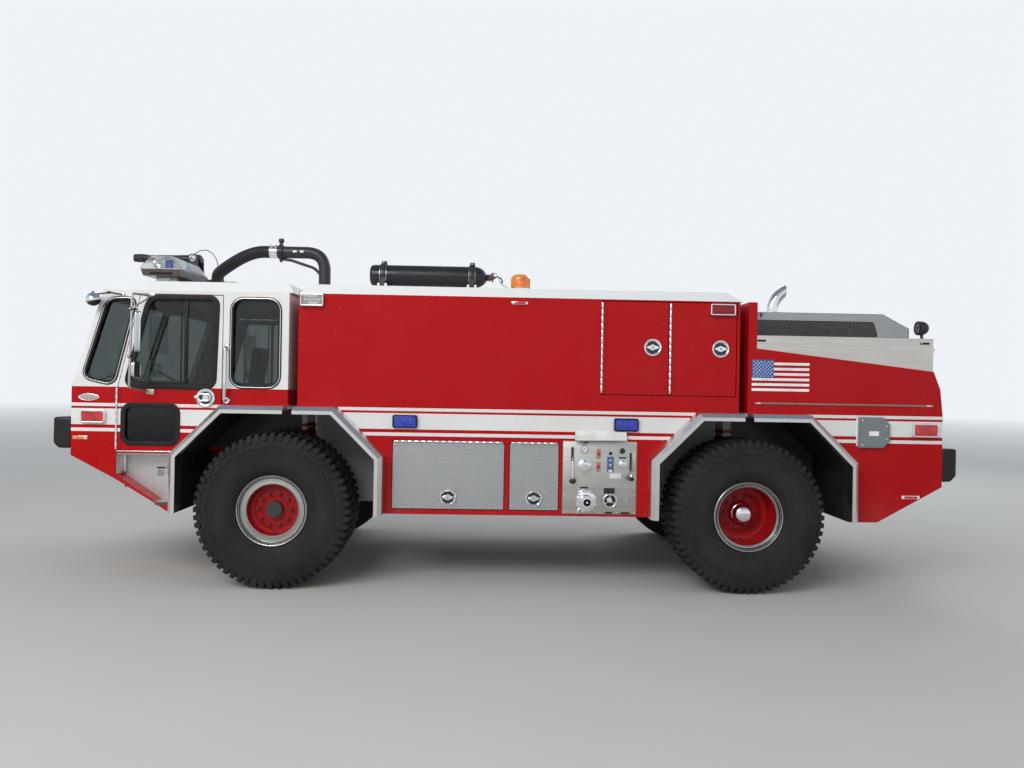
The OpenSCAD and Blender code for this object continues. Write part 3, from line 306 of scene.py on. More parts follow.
def around(axis, centre, count, start=0.0):
    """Moves that turn a piece round an axis through centre, in equal steps."""
    centre = Vector(centre)
    return [Matrix.Translation(centre) @ Matrix.Rotation(start + 2 * math.pi * i / count, 4, axis)
            @ Matrix.Translation(-centre) for i in range(count)]


def slid(*steps):
    return [Matrix.Translation(Vector(step)) for step in steps]


def mirrored(piece):
    """The same piece on the other side of the truck."""
    twin = copied(piece, Matrix.Scale(-1, 4, (0, 1, 0)))
    twin.data.flip_normals()
    return twin


def dress(name, piece, body, slot, *nodes):
    """Names the piece and says what it moves with and which CAD nodes it stands for. The slot is not used."""
    piece.name = piece.data.name = name
    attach(piece, body)
    if nodes:
        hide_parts(*nodes)


def both_sides(name, piece, body, slot, node=None):
    """Dresses a left piece and its mirror image. {side} in a name becomes left or right."""
    pair = {"left": piece, "right": mirrored(piece)}
    for side, made in pair.items():
        nodes = [node.format(side=side)] if node else []
        dress(f"{name}_{side}", made, body.format(side=side), slot, *nodes)
    return pair.values()


# Camera

CAMERA_AT = Vector((-0.176, -8.218, 1.812))
CAMERA_YAW, CAMERA_PITCH, CAMERA_ROLL = math.radians(-1.425), math.radians(0.148), math.radians(0.993)
FOCAL_SHARE = 769 / 1024


def set_camera():
    data = bpy.data.cameras.new("photo_camera")
    camera = bpy.data.objects.new("photo_camera", data)
    bpy.context.scene.collection.objects.link(camera)
    data.sensor_width = 36
    data.lens = data.sensor_width * FOCAL_SHARE
    data.clip_end = 400
    ahead = Vector((-math.sin(CAMERA_YAW) * math.cos(CAMERA_PITCH),
                    math.cos(CAMERA_YAW) * math.cos(CAMERA_PITCH), math.sin(CAMERA_PITCH)))
    right = Vector((math.cos(CAMERA_YAW), math.sin(CAMERA_YAW), 0))
    up = right.cross(ahead)
    level_right = math.cos(CAMERA_ROLL) * right + math.sin(CAMERA_ROLL) * up
    level_up = -math.sin(CAMERA_ROLL) * right + math.cos(CAMERA_ROLL) * up
    turn = Matrix((level_right, level_up, -ahead)).transposed().to_4x4()
    camera.matrix_world = Matrix.Translation(CAMERA_AT) @ turn
    bpy.context.scene.camera = camera


set_camera()


# Shader nodes

def feed(tree, socket, value):
    """Links a socket to another, or sets its value."""
    if isinstance(value, bpy.types.NodeSocket):
        tree.links.new(value, socket)
    elif value is not None:
        socket.default_value = value


def calc(tree, operation, first, second=None, third=None, clamp=False):
    node = tree.nodes.new("ShaderNodeMath")
    node.operation = operation
    node.use_clamp = clamp
    for socket, value in zip(node.inputs, (first, second, third)):
        feed(tree, socket, value)
    return node.outputs[0]


def between(tree, value, low, high):
    """1 where value lies between low and high."""
    return calc(tree, "MULTIPLY", calc(tree, "GREATER_THAN", value, low), calc(tree, "LESS_THAN", value, high))


def ramp(tree, value, low, high, out_low=0.0, out_high=1.0):
    node = tree.nodes.new("ShaderNodeMapRange")
    for socket, number in zip(node.inputs, (value, low, high, out_low, out_high)):
        feed(tree, socket, number)
    return node.outputs[0]


def mix(tree, mask, first, second):
    """The first colour where mask is 0 and the second where it is 1."""
    node = tree.nodes.new("ShaderNodeMix")
    node.data_type = "RGBA"
    feed(tree, node.inputs[0], mask)
    feed(tree, node.inputs[6], first)
    feed(tree, node.inputs[7], second)
    return node.outputs[2]


def noise(tree, place, scale, detail=3.0, roughness=0.55):
    node = tree.nodes.new("ShaderNodeTexNoise")
    feed(tree, node.inputs["Vector"], place)
    node.inputs["Scale"].default_value = scale
    node.inputs["Detail"].default_value = detail
    node.inputs["Roughness"].default_value = roughness
    return node.outputs["Fac"]


def scaled(tree, place, factors):
    node = tree.nodes.new("ShaderNodeVectorMath")
    node.operation = "MULTIPLY"
    feed(tree, node.inputs[0], place)
    node.inputs[1].default_value = factors
    return node.outputs[0]


def object_place(tree):
    return tree.nodes.new("ShaderNodeTexCoord").outputs["Object"]


def split(tree, vector):
    node = tree.nodes.new("ShaderNodeSeparateXYZ")
    feed(tree, node.inputs[0], vector)
    return node.outputs


def bump(tree, height, distance, strength=1.0):
    node = tree.nodes.new("ShaderNodeBump")
    node.inputs["Strength"].default_value = strength
    node.inputs["Distance"].default_value = distance
    feed(tree, node.inputs["Height"], height)
    return node.outputs["Normal"]


def shader_group(name, inputs, outputs):
    """An empty node group with named inputs (name, default) and outputs."""
    group = bpy.data.node_groups.new(name, "ShaderNodeTree")
    for label, default in inputs:
        socket = group.interface.new_socket(name=label, in_out="INPUT", socket_type="NodeSocketFloat")
        socket.default_value = default
    for label in outputs:
        group.interface.new_socket(name=label, in_out="OUTPUT", socket_type="NodeSocketFloat")
    return group, group.nodes.new("NodeGroupInput"), group.nodes.new("NodeGroupOutput")


def placed(tree, group, **values):
    """A group in a material, with its own values. Underscores stand for spaces in input names."""
    node = tree.nodes.new("ShaderNodeGroup")
    node.node_tree = group
    for label, value in values.items():
        feed(tree, node.inputs[label.replace("_", " ")], value)
    return node.outputs


def road_dust_group():
    """Dust that thickens towards the ground, in soft patches."""
    group, given, out = shader_group("road dust", [("Top", 0.9), ("Amount", 0.5), ("Everywhere", 0.1)], ["Dust"])
    place = object_place(group)
    height = split(group, place)[2]
    patches = ramp(group, noise(group, place, 2.3, 4.0), 0.35, 0.75)
    specks = ramp(group, noise(group, place, 38.0, 2.0), 0.4, 0.7)
    low = ramp(group, calc(group, "DIVIDE", height, given.outputs["Top"]), 1.0, 0.0)
    fall = calc(group, "MULTIPLY", calc(group, "POWER", low, 1.6), given.outputs["Amount"])
    level = calc(group, "ADD", fall, given.outputs["Everywhere"])
    texture = calc(group, "MULTIPLY_ADD", patches, 0.7, calc(group, "MULTIPLY", specks, 0.3))
    feed(group, out.inputs["Dust"], calc(group, "MULTIPLY", level, texture, clamp=True))
    return group


def side_bands_group():
    """The white bands that run round the truck's sides."""
    group, _, out = shader_group("side bands", [], ["White"])
    height = split(group, object_place(group))[2]
    total = 0.0
    for low, high in ((1.572, 1.600), (1.410, 1.552), (1.350, 1.380)):
        total = calc(group, "ADD", between(group, height, low, high), total)
    feed(group, out.inputs["White"], total)
    return group


def inner_faces_group():
    """1 on the faces inside the walls of a cab or body."""
    group, given, out = shader_group("inner faces", [
        ("Front", -2.0), ("Rear", 2.0), ("Bottom", 0.0), ("Lean", 0.0)
    ], ["Inside"])
    x, y, z = split(group, object_place(group))
    wall = calc(group, "LESS_THAN", calc(group, "ABSOLUTE", y), SIDE_Y - 0.0465)
    slope = calc(group, "MAXIMUM", calc(group, "SUBTRACT", z, BELT_Z), 0.0)
    front = calc(group, "MULTIPLY_ADD", slope, given.outputs["Lean"], given.outputs["Front"])
    length = calc(group, "MULTIPLY", calc(group, "GREATER_THAN", x, front),
                  calc(group, "LESS_THAN", x, given.outputs["Rear"]))
    above = calc(group, "GREATER_THAN", z, given.outputs["Bottom"])
    feed(group, out.inputs["Inside"], calc(group, "MULTIPLY", calc(group, "MULTIPLY", wall, length), above))
    return group


def tread_pattern_group():
    """Raised lozenges in alternate directions, laid flat on whichever way a face looks."""
    group, given, out = shader_group("tread pattern", [("Pitch", 0.03)], ["Height", "Raised"])
    coordinates = group.nodes.new("ShaderNodeTexCoord")
    x, y, z = split(group, coordinates.outputs["Object"])
    nx, ny, nz = (calc(group, "ABSOLUTE", n) for n in split(group, coordinates.outputs["Normal"]))
    ends = calc(group, "MULTIPLY", calc(group, "GREATER_THAN", nx, ny), calc(group, "GREATER_THAN", nx, nz))
    flat = calc(group, "MULTIPLY", calc(group, "GREATER_THAN", nz, ny), calc(group, "GREATER_THAN", nz, nx))
    across = calc(group, "MULTIPLY_ADD", ends, calc(group, "SUBTRACT", y, x), x)
    up = calc(group, "MULTIPLY_ADD", flat, calc(group, "SUBTRACT", y, z), z)
    first = calc(group, "DIVIDE", calc(group, "ADD", across, up), given.outputs["Pitch"])
    second = calc(group, "DIVIDE", calc(group, "SUBTRACT", across, up), given.outputs["Pitch"])
    column, row = calc(group, "FLOOR", first), calc(group, "FLOOR", second)
    odd = calc(group, "FLOORED_MODULO", calc(group, "ADD", column, row), 2.0)
    in_first = calc(group, "SUBTRACT", calc(group, "FRACT", first), 0.5)
    in_second = calc(group, "SUBTRACT", calc(group, "FRACT", second), 0.5)
    swap = calc(group, "SUBTRACT", in_second, in_first)
    long_way = calc(group, "MULTIPLY_ADD", odd, swap, in_first)
    short_way = calc(group, "SUBTRACT", calc(group, "ADD", in_first, in_second), long_way)
    shape = calc(group, "ADD", calc(group, "POWER", calc(group, "DIVIDE", long_way, 0.47), 2.0),
                 calc(group, "POWER", calc(group, "DIVIDE", short_way, 0.17), 2.0))
    feed(group, out.inputs["Height"], ramp(group, shape, 1.1, 0.35))
    feed(group, out.inputs["Raised"], ramp(group, shape, 1.0, 0.8))
    return group


def brushed_group():
    """Fine streaks along X."""
    group, given, out = shader_group("brushed grain", [("Streak", 6.0)], ["Grain"])
    place = object_place(group)
    fine = noise(group, scaled(group, place, (4.0, 420.0, 420.0)), 1.0, 2.0)
    broad = noise(group, scaled(group, place, (1.2, 40.0, 40.0)), 1.0, 2.0)
    feed(group, out.inputs["Grain"], calc(group, "MULTIPLY_ADD", fine, 0.6, calc(group, "MULTIPLY", broad, 0.4)))
    return group


ROAD_DUST = road_dust_group()
SIDE_BANDS = side_bands_group()
INNER_FACES = inner_faces_group()
TREAD_PATTERN = tread_pattern_group()
BRUSHED = brushed_group()

DUST_COLOR = (0.30, 0.27, 0.23, 1)
RED = (0.45, 0.0004, 0.0025, 1)
WHITE = (0.80, 0.81, 0.79, 1)
CAB_LINING = (0.055, 0.056, 0.06, 1)
LOCKER_GREY = (0.33, 0.34, 0.35, 1)


def toned(color, factor):
    """The colour made lighter or darker."""
    return tuple(c * factor for c in color[:3]) + (1,)


def new_material(name, **constants):
    """A material with one Principled shader and its whole-surface constants."""
    material = bpy.data.materials.new(name)
    material.use_nodes = True
    tree = material.node_tree
    shader = tree.nodes["Principled BSDF"]
    for label, value in constants.items():
        shader.inputs[label.replace("_", " ")].default_value = value
    return material, tree, shader.inputs


def paint(name, color, second=None, mask=None, inside=None, inner_color=CAB_LINING, dust_top=1.1, dust=0.35,
          gloss=0.22):
    """Vehicle paint: bands, clear coat with a faint ripple, dust towards the ground."""
    material, tree, shader = new_material(
        name, Specular_IOR_Level=0.12, Coat_Weight=0.12, Coat_Roughness=0.04, Coat_IOR=1.5)
    place = object_place(tree)
    coat = color
    if mask:
        coat = mix(tree, mask(tree), coat, second)
    tone = ramp(tree, noise(tree, place, 1.7, 3.0), 0.3, 0.7, 0.0, 0.10)
    coat = mix(tree, tone, coat, toned(color, 0.7))
    if inside:
        coat = mix(tree, inside(tree), coat, inner_color)
    film = placed(tree, ROAD_DUST, Top=dust_top, Amount=dust, Everywhere=0.03)["Dust"]
    feed(tree, shader["Base Color"], mix(tree, film, coat, DUST_COLOR))
    mottle = noise(tree, place, 9.0, 4.0)
    shine = ramp(tree, mottle, 0.3, 0.7, gloss - 0.04, gloss + 0.07)
    feed(tree, shader["Roughness"], calc(tree, "MULTIPLY_ADD", film, 0.5, shine))
    feed(tree, shader["Normal"], bump(tree, noise(tree, place, 160.0, 2.0), 0.0003, 0.25))
    return material


def banded(tree):
    return placed(tree, SIDE_BANDS)["White"]


def cab_banded(tree):
    height = split(tree, object_place(tree))[2]
    return calc(tree, "MAXIMUM", placed(tree, SIDE_BANDS)["White"], calc(tree, "GREATER_THAN", height, BELT_Z))


def inside_of(front, rear, bottom=0.0, lean=0.0):
    return lambda tree: placed(tree, INNER_FACES, Front=front, Rear=rear, Bottom=bottom, Lean=lean)["Inside"]


SCREEN_LEAN = 0.264 / 0.86
cab_paint = paint("cab paint", RED, WHITE, cab_banded, inside_of(CAB_X0 + 0.047, CAB_X1 - 0.047, 1.165, SCREEN_LEAN))
body_paint = paint("body paint", RED, WHITE, banded, inside_of(TANK_X0 + 0.01, TANK_X1 - 0.01), LOCKER_GREY)
engine_paint = paint("engine end paint", RED, WHITE, banded, inside_of(ENGINE_X0 + 0.003, ENGINE_X1 - 0.047),
                     (0.05, 0.05, 0.05, 1))
door_paint = paint("door paint", RED, WHITE, banded)
cab_door_paint = paint("cab door paint", RED, WHITE, cab_banded)
roof_white = paint("roof white", WHITE, dust=0.0, gloss=0.3)
wheel_red = paint("wheel red", (0.33, 0.001, 0.005, 1), dust_top=1.3, dust=0.12, gloss=0.25)


def dark_metal(name, color, dust_top=1.2, dust=0.75, rough=0.5):
    """Chassis paint with road dust and a cast or hammered surface."""
    material, tree, shader = new_material(name, Specular_IOR_Level=0.4)
    place = object_place(tree)
    film = placed(tree, ROAD_DUST, Top=dust_top, Amount=dust, Everywhere=0.07)["Dust"]
    feed(tree, shader["Base Color"], mix(tree, film, color, (0.17, 0.15, 0.13, 1)))
    feed(tree, shader["Roughness"], ramp(tree, noise(tree, place, 14.0), 0.3, 0.7, rough - 0.1, rough + 0.2))
    feed(tree, shader["Normal"], bump(tree, noise(tree, place, 90.0, 3.0), 0.0012, 0.4))
    return material


chassis_black = dark_metal("chassis black", (0.020, 0.020, 0.022, 1))
liner_black = dark_metal("liner black", (0.007, 0.007, 0.007, 1), dust=0.12, rough=0.7)
bumper_black = dark_metal("bumper black", (0.004, 0.004, 0.0045, 1), dust=0.06, rough=0.40)
roof_gear_black = dark_metal("roof gear black", (0.022, 0.023, 0.025, 1), dust=0.0, rough=0.34)
engine_iron = dark_metal("engine iron", (0.09, 0.095, 0.10, 1), dust=0.3, rough=0.6)


def tread_plate(name, tone, pitch=0.030):
    """Bright aluminium plate with raised lozenges."""
    material, tree, shader = new_material(name, Metallic=1.0)
    pattern = placed(tree, TREAD_PATTERN, Pitch=pitch)
    place = object_place(tree)
    film = placed(tree, ROAD_DUST, Top=1.3, Amount=0.3, Everywhere=0.10)["Dust"]
    base = mix(tree, pattern["Raised"], toned(tone, 0.62), tone)
    feed(tree, shader["Base Color"], mix(tree, film, base, (0.34, 0.32, 0.29, 1)))
    worn = ramp(tree, noise(tree, place, 11.0, 4.0), 0.3, 0.7, 0.0, 0.14)
    rough = calc(tree, "MULTIPLY_ADD", pattern["Raised"], -0.18, 0.46)
    feed(tree, shader["Roughness"], calc(tree, "ADD", rough, worn))
    feed(tree, shader["Normal"], bump(tree, pattern["Height"], 0.0022, 0.9))
    return material


bright_tread = tread_plate("bright tread plate", (0.66, 0.68, 0.68, 1))


def bright_metal(name, tone, rough, grain=0.0, dust=0.08):
    """Polished or brushed metal with smears."""
    material, tree, shader = new_material(name, Metallic=1.0)
    place = object_place(tree)
    smear = ramp(tree, noise(tree, place, 6.0, 5.0), 0.35, 0.7, 0.0, 0.10)
    base = tone
    level = calc(tree, "ADD", smear, rough)
    if grain:
        streaks = placed(tree, BRUSHED)["Grain"]
        base = mix(tree, ramp(tree, streaks, 0.35, 0.65), toned(tone, 0.8), tone)
        level = calc(tree, "MULTIPLY_ADD", streaks, grain, level)
        feed(tree, shader["Normal"], bump(tree, streaks, 0.0004, 0.3))
    film = placed(tree, ROAD_DUST, Top=1.2, Amount=dust, Everywhere=dust * 0.6)["Dust"]
    feed(tree, shader["Base Color"], mix(tree, film, base, (0.33, 0.31, 0.28, 1)))
    feed(tree, shader["Roughness"], level)
    return material


chrome = bright_metal("chrome", (0.82, 0.82, 0.83, 1), 0.06)
stainless = bright_metal("stainless panel", (0.63, 0.62, 0.58, 1), 0.26, grain=0.2, dust=0.15)
plate_steel = bright_metal("bright side plate", (0.80, 0.76, 0.69, 1), 0.30, grain=0.2)
wheel_silver = bright_metal("wheel silver", (0.46, 0.47, 0.45, 1), 0.24, dust=0.2)
cast_grey = bright_metal("cast grey", (0.36, 0.39, 0.40, 1), 0.42, dust=0.1)


def rubber(name, color, dust=0.5, grain_scale=240.0, rough=0.72):
    material, tree, shader = new_material(name, Specular_IOR_Level=0.2)
    place = object_place(tree)
    film = placed(tree, ROAD_DUST, Top=1.7, Amount=dust * 0.5, Everywhere=dust * 0.3)["Dust"]
    tone = mix(tree, ramp(tree, noise(tree, place, 5.0, 5.0), 0.3, 0.75), color, toned(color, 1.7))
    feed(tree, shader["Base Color"], mix(tree, film, tone, (0.16, 0.15, 0.13, 1)))
    feed(tree, shader["Roughness"], ramp(tree, noise(tree, place, 20.0), 0.3, 0.7, rough - 0.08, rough + 0.12))
    feed(tree, shader["Normal"], bump(tree, noise(tree, place, grain_scale, 3.0), 0.0006, 0.35))
    return material


tyre_rubber = rubber("tyre rubber", (0.0145, 0.0140, 0.0130, 1), dust=0.22)
trim_rubber = rubber("trim rubber", (0.012, 0.012, 0.012, 1), dust=0.05, rough=0.5)
hose_rubber = rubber("hose rubber", (0.016, 0.015, 0.015, 1), dust=0.08, grain_scale=90.0, rough=0.5)


def glass(name, tint, rough=0.02):
    material, tree, shader = new_material(name, Transmission_Weight=1.0, IOR=1.45)
    streaks = ramp(tree, noise(tree, object_place(tree), 7.0, 4.0), 0.5, 0.8, rough, rough + 0.05)
    feed(tree, shader["Roughness"], streaks)
    film = ramp(tree, noise(tree, object_place(tree), 3.0, 3.0), 0.3, 0.8, 0.0, 0.06)
    feed(tree, shader["Base Color"], mix(tree, film, tint, (0.5, 0.5, 0.48, 1)))
    return material


window_glass = glass("window glass", (0.24, 0.28, 0.28, 1))
clear_lens = glass("clear lens", (0.93, 0.95, 0.96, 1), 0.06)


LENS_RIBS = 260.0


def lens(name, color):
    """A ribbed signal lens."""
    material, tree, shader = new_material(name, Coat_Weight=1.0, Coat_Roughness=0.03, Roughness=0.25)
    place = object_place(tree)
    cells = tree.nodes.new("ShaderNodeTexWave")
    cells.bands_direction = "X"
    cells.inputs["Scale"].default_value = LENS_RIBS / (2 * math.pi) / 3.2
    feed(tree, cells.inputs["Vector"], place)
    depth = ramp(tree, noise(tree, place, 18.0, 2.0), 0.3, 0.7)
    feed(tree, shader["Base Color"],
         mix(tree, depth, color, tuple(min(1.0, c * 2.2 + 0.01) for c in color[:3]) + (1,)))
    feed(tree, shader["Normal"], bump(tree, cells.outputs["Fac"], 0.0012, 0.5))
    return material


red_lens = lens("red lens", (0.34, 0.004, 0.008, 1))
blue_lens = lens("blue lens", (0.002, 0.020, 0.28, 1))
amber_lens = lens("amber lens", (0.62, 0.13, 0.006, 1))
white_lens = lens("white lens", (0.42, 0.44, 0.42, 1))


def moulded(name, color, rough=0.55, grain=300.0):
    """Moulded plastic or vinyl with a fine grain."""
    material, tree, shader = new_material(name)
    place = object_place(tree)
    feed(tree, shader["Base Color"],
         mix(tree, ramp(tree, noise(tree, place, 8.0), 0.3, 0.7), color, toned(color, 1.35)))
    feed(tree, shader["Roughness"], ramp(tree, noise(tree, place, 30.0), 0.3, 0.7, rough - 0.08, rough + 0.08))
    feed(tree, shader["Normal"], bump(tree, noise(tree, place, grain, 2.0), 0.0005, 0.3))
    return material


dash_plastic = moulded("dash plastic", (0.03, 0.03, 0.033, 1))
black_knob = moulded("black knob", (0.012, 0.012, 0.013, 1), 0.3)
red_knob = moulded("red knob", (0.45, 0.01, 0.012, 1), 0.3)
blue_plate = moulded("blue plate", (0.05, 0.10, 0.24, 1), 0.4)
dial_white = moulded("dial white", (0.75, 0.75, 0.72, 1), 0.4)
hood_white = moulded("hood white", (0.66, 0.67, 0.64, 1), 0.35)
blush_metal = bright_metal("blush metal", (0.50, 0.30, 0.25, 1), 0.35)
flag_white = moulded("flag white", (0.78, 0.76, 0.76, 1), 0.35)
flag_blue = moulded("flag blue", (0.02, 0.09, 0.30, 1), 0.35)
flare_metal = bright_metal("flare metal", (0.74, 0.72, 0.70, 1), 0.26, dust=0.10)
step_plate = tread_plate("step plate", (0.92, 0.93, 0.92, 1), 0.024)
worn_iron = dark_metal("worn iron", (0.16, 0.10, 0.07, 1), dust=0.3, rough=0.6)
# Darker red for the wheel nuts and stud ends: painted shade round the nuts.
nut_red_painted_shade = dark_metal("nut red painted shade", (0.11, 0.008, 0.010, 1), dust=0.1, rough=0.35)
# Near-black for the insides of holes, slots and openings: painted shade where those hollows lie in shadow.
painted_shade_black = moulded("painted shade black", (0.004, 0.004, 0.0045, 1), 0.85)
smoked_lens = moulded("smoked plastic", (0.060, 0.045, 0.036, 1), 0.16)
pod_edge = moulded("pod edge", (0.42, 0.44, 0.46, 1), 0.3)
badge_enamel = moulded("badge enamel", (0.33, 0.31, 0.29, 1), 0.2)
# Dark glossy: the corner mirror's lower glass, and painted shade in the bowls of the round latches.
dark_glass_and_recess_shade = moulded("dark glass and recess shade", (0.012, 0.013, 0.015, 1), 0.05)
hammered_grey = dark_metal("hammered grey", (0.20, 0.23, 0.24, 1), dust=0.05, rough=0.42)
bottle_black = dark_metal("bottle black", (0.012, 0.015, 0.021, 1), dust=0.0, rough=0.26)
rusty_iron = dark_metal("rusty iron", (0.13, 0.055, 0.030, 1), dust=0.0, rough=0.7)
bronze_trim = bright_metal("bronze trim", (0.34, 0.28, 0.22, 1), 0.34)
arm_steel = bright_metal("mirror arm steel", (0.52, 0.50, 0.47, 1), 0.32)
mirror_shell = bright_metal("mirror shell", (0.56, 0.61, 0.66, 1), 0.30)
mirror_glass = bright_metal("mirror glass", (0.42, 0.38, 0.34, 1), 0.02, dust=0.02)


def woven(name, color):
    """Seat cloth: crossed threads with a soft sheen."""
    material, tree, shader = new_material(name, Roughness=0.9, Sheen_Weight=0.3)
    place = object_place(tree)
    x, y, z = split(tree, place)
    warp = calc(tree, "SINE", calc(tree, "MULTIPLY", calc(tree, "ADD", x, z), 2 * math.pi / 0.0035))
    weft = calc(tree, "SINE", calc(tree, "MULTIPLY", y, 2 * math.pi / 0.0035))
    weave = calc(tree, "MULTIPLY_ADD", warp, 0.25, calc(tree, "MULTIPLY_ADD", weft, 0.25, 0.5))
    faded = noise(tree, place, 4.0, 3.0)
    feed(tree, shader["Base Color"],
         mix(tree, calc(tree, "MULTIPLY", weave, faded), color, toned(color, 2.4)))
    feed(tree, shader["Normal"], bump(tree, weave, 0.0008, 0.6))
    return material


seat_cloth = woven("seat cloth", (0.045, 0.048, 0.055, 1))


# The CAD nodes that show keep their shape and get these finishes

NODE_FINISH = {"cab_shell": cab_paint, "tank_body": body_paint, "engine_body": engine_paint, "bulkhead": engine_paint,
               "cab_door_left": cab_door_paint, "cab_door_right": cab_door_paint, "cab_roof": roof_white,
               "body_roof": roof_white, "frame": chassis_black, "front_axle": chassis_black,
               "rear_axle": chassis_black, "driveline": chassis_black, "knuckle_left": chassis_black,
               "knuckle_right": chassis_black, "tie_rod": chassis_black, "engine": engine_iron,
               "wheel_wells": liner_black, "front_bumper": bumper_black, "rear_bumper": bumper_black,
               "rear_grille": liner_black, "cab_glass": window_glass, "door_glass_left": window_glass,
               "door_glass_right": window_glass, "dashboard": dash_plastic, "seats": seat_cloth,
               "cab_steps": bright_tread, "fender_flares": flare_metal, "engine_hood": bright_tread,
               "hood_plates": plate_steel, "pump_panels": stainless, "exhaust_stack": chrome, "grab_rails": chrome,
               "gas_cylinder": roof_gear_black, "supply_pipe": hose_rubber, "turret_base": roof_gear_black,
               "turret_yoke": roof_gear_black, "turret_barrel": roof_gear_black, "light_bars": clear_lens,
               "white_lamps": white_lens, "red_lamps": red_lens, "blue_lamps": blue_lens, "amber_lamps": amber_lens,
               "mirror_left": roof_gear_black, "mirror_right": roof_gear_black}
for side in SIDES:
    for place in ("front", "rear"):
        NODE_FINISH[f"upper_door_{place}_{side}"] = door_paint
        NODE_FINISH[f"lower_door_{place}_{side}"] = bright_tread
        NODE_FINISH[f"tyre_{place}_{side}"] = tyre_rubber
        NODE_FINISH[f"rim_{place}_{side}"] = wheel_silver
for node, material in NODE_FINISH.items():
    coated(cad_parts[node], material)


# Supply hose

TURRET_X = AXLE_F - 1.250
PIPE_Y, PIPE_Z, PIPE_R = -0.650, 3.080, 0.057
CLAMP_X = CAB_X1 - 0.337
HOSE_START = Vector((CLAMP_X - 0.0373, PIPE_Y, PIPE_Z))
INLET_WAY = Vector((0.190, -0.060, 0)).normalized()
HOSE_END = Vector((TURRET_X, 0, 2.820)) + 0.1995 * INLET_WAY
HOSE_R = 0.0583


def curve_points(a, b, c, d, steps, last=1.0):
    return [(1 - t) ** 3 * a + 3 * t * (1 - t) ** 2 * b + 3 * t * t * (1 - t) * c + t ** 3 * d
            for t in (last * i / steps for i in range(steps + 1))]


def hose_route():
    """The hose leaves the feed pipe level, sinks beside the light pod and meets the turret's inlet in line with it."""
    drop = curve_points(HOSE_START - Vector((0.05, 0, 0)), HOSE_START - Vector((0.3, 0, 0)),
                        Vector((-2.916, -0.585, 2.82)), Vector((-3.151, -0.2605, 2.82)), 20, 0.62)
    way = (drop[-1] - drop[-2]).normalized()
    sweep = curve_points(drop[-1], drop[-1] + 0.17 * way, HOSE_END + 0.16 * INLET_WAY, HOSE_END + 0.02 * INLET_WAY,
                         18)
    return [HOSE_START] + drop + sweep[1:] + [HOSE_END]


def supply_hose():
    """The wide rubber hose, held at both ends."""
    route = hose_route()
    hose = swept(hose_rubber, route, HOSE_R, 32)
    dress("supply_hose", hose, "chassis", "black_paint", "supply_pipe")


supply_hose()


# Tyres

TREAD_R = TYRE_R - 0.018
SIDEWALL = [
    (0.24, 0.2815), (0.24, 0.3135), (0.252, 0.322), (0.266, 0.336), (0.279, 0.356), (0.29, 0.385), (0.297, 0.42),
    (0.2995, 0.46), (0.2985, 0.5), (0.2935, 0.54), (0.287, 0.572), (0.28, 0.6), (0.272, 0.622), (0.262, 0.643),
    (0.248, 0.656), (0.225, 0.662), (0.15, 0.666), (0.05, TREAD_R)
]
SIDE_RIBS = (0.346, 0.366, 0.392, 0.505, 0.522, 0.546, 0.556, 0.566)
RIB_HEIGHT = 0.0028


def sidewall_at(radius):
    for (a, r), (b, s) in zip(SIDEWALL, SIDEWALL[1:]):
        if r <= radius <= s:
            return a + (b - a) * (radius - r) / (s - r)
    return SIDEWALL[-1][0]


def tyre_stations():
    half = list(SIDEWALL)
    for rib in SIDE_RIBS:
        for offset, height in ((-0.0045, 0), (-0.0025, RIB_HEIGHT), (0.0025, RIB_HEIGHT), (0.0045, 0)):
            radius = rib + offset
            half.append((sidewall_at(radius) + height, radius))
    half = half[:2] + sorted((p for p in half[2:]), key=lambda p: p[1])
    other = [(-along, radius) for along, radius in reversed(half)]
    return half + other + [half[0]]


LUG_PAIRS = 30
LUG_WIDTH = 0.043


def shoulder_lug(inner, turn):
    """A lug over the tyre's shoulder with its foot down the sidewall, at the top of the tyre."""
    top = block(None, (-LUG_WIDTH / 2, inner, TREAD_R - 0.012), (LUG_WIDTH / 2, 0.257, TYRE_R - 0.001), 0.003, 1)
    for vertex in top.data.vertices:
        if vertex.co.y > 0.2 and vertex.co.z > TREAD_R:
            vertex.co.z -= 0.006
        if vertex.co.y < 0.2:
            vertex.co.x += 0.008 * turn
    foot = block(None, (-LUG_WIDTH / 2 + 0.002, 0.25, 0.6), (LUG_WIDTH / 2 - 0.002, 0.264, 0.676), 0.003, 1)
    for vertex in foot.data.vertices:
        if vertex.co.z < 0.64:
            vertex.co.y += 0.0235
        if vertex.co.z < 0.64 and turn < 0:
            vertex.co.z += 0.016
    return joined([top, foot])


def make_tyre():
    """A tyre about the Y axis at the origin: carcass, ribs and lugs."""
    carcass = turned(None, tyre_stations(), (0, 0, 0), (0, 1, 0), sides=120, degrees=28)
    step = math.pi / LUG_PAIRS
    shoulder = joined([
        repeated(shoulder_lug(0.118, 1), around("Y", (0, 0, 0), LUG_PAIRS)),
        repeated(shoulder_lug(0.15, -1), around("Y", (0, 0, 0), LUG_PAIRS, step))
    ])
    far = copied(shoulder, Matrix.Rotation(math.pi, 4, "Z"))
    centre = block(None, (-0.025, 0.008, TREAD_R - 0.01), (0.025, 0.104, TYRE_R), 0.003, 1)
    centre.data.transform(Matrix.Rotation(math.radians(18), 4, "Z"))
    near_row = repeated(centre, around("Y", (0, 0, 0), 2 * LUG_PAIRS, step * 0.5))
    return coated(joined([
        carcass, shoulder, far, near_row, copied(near_row, Matrix.Rotation(math.pi, 4, "Z"))
    ]), tyre_rubber)


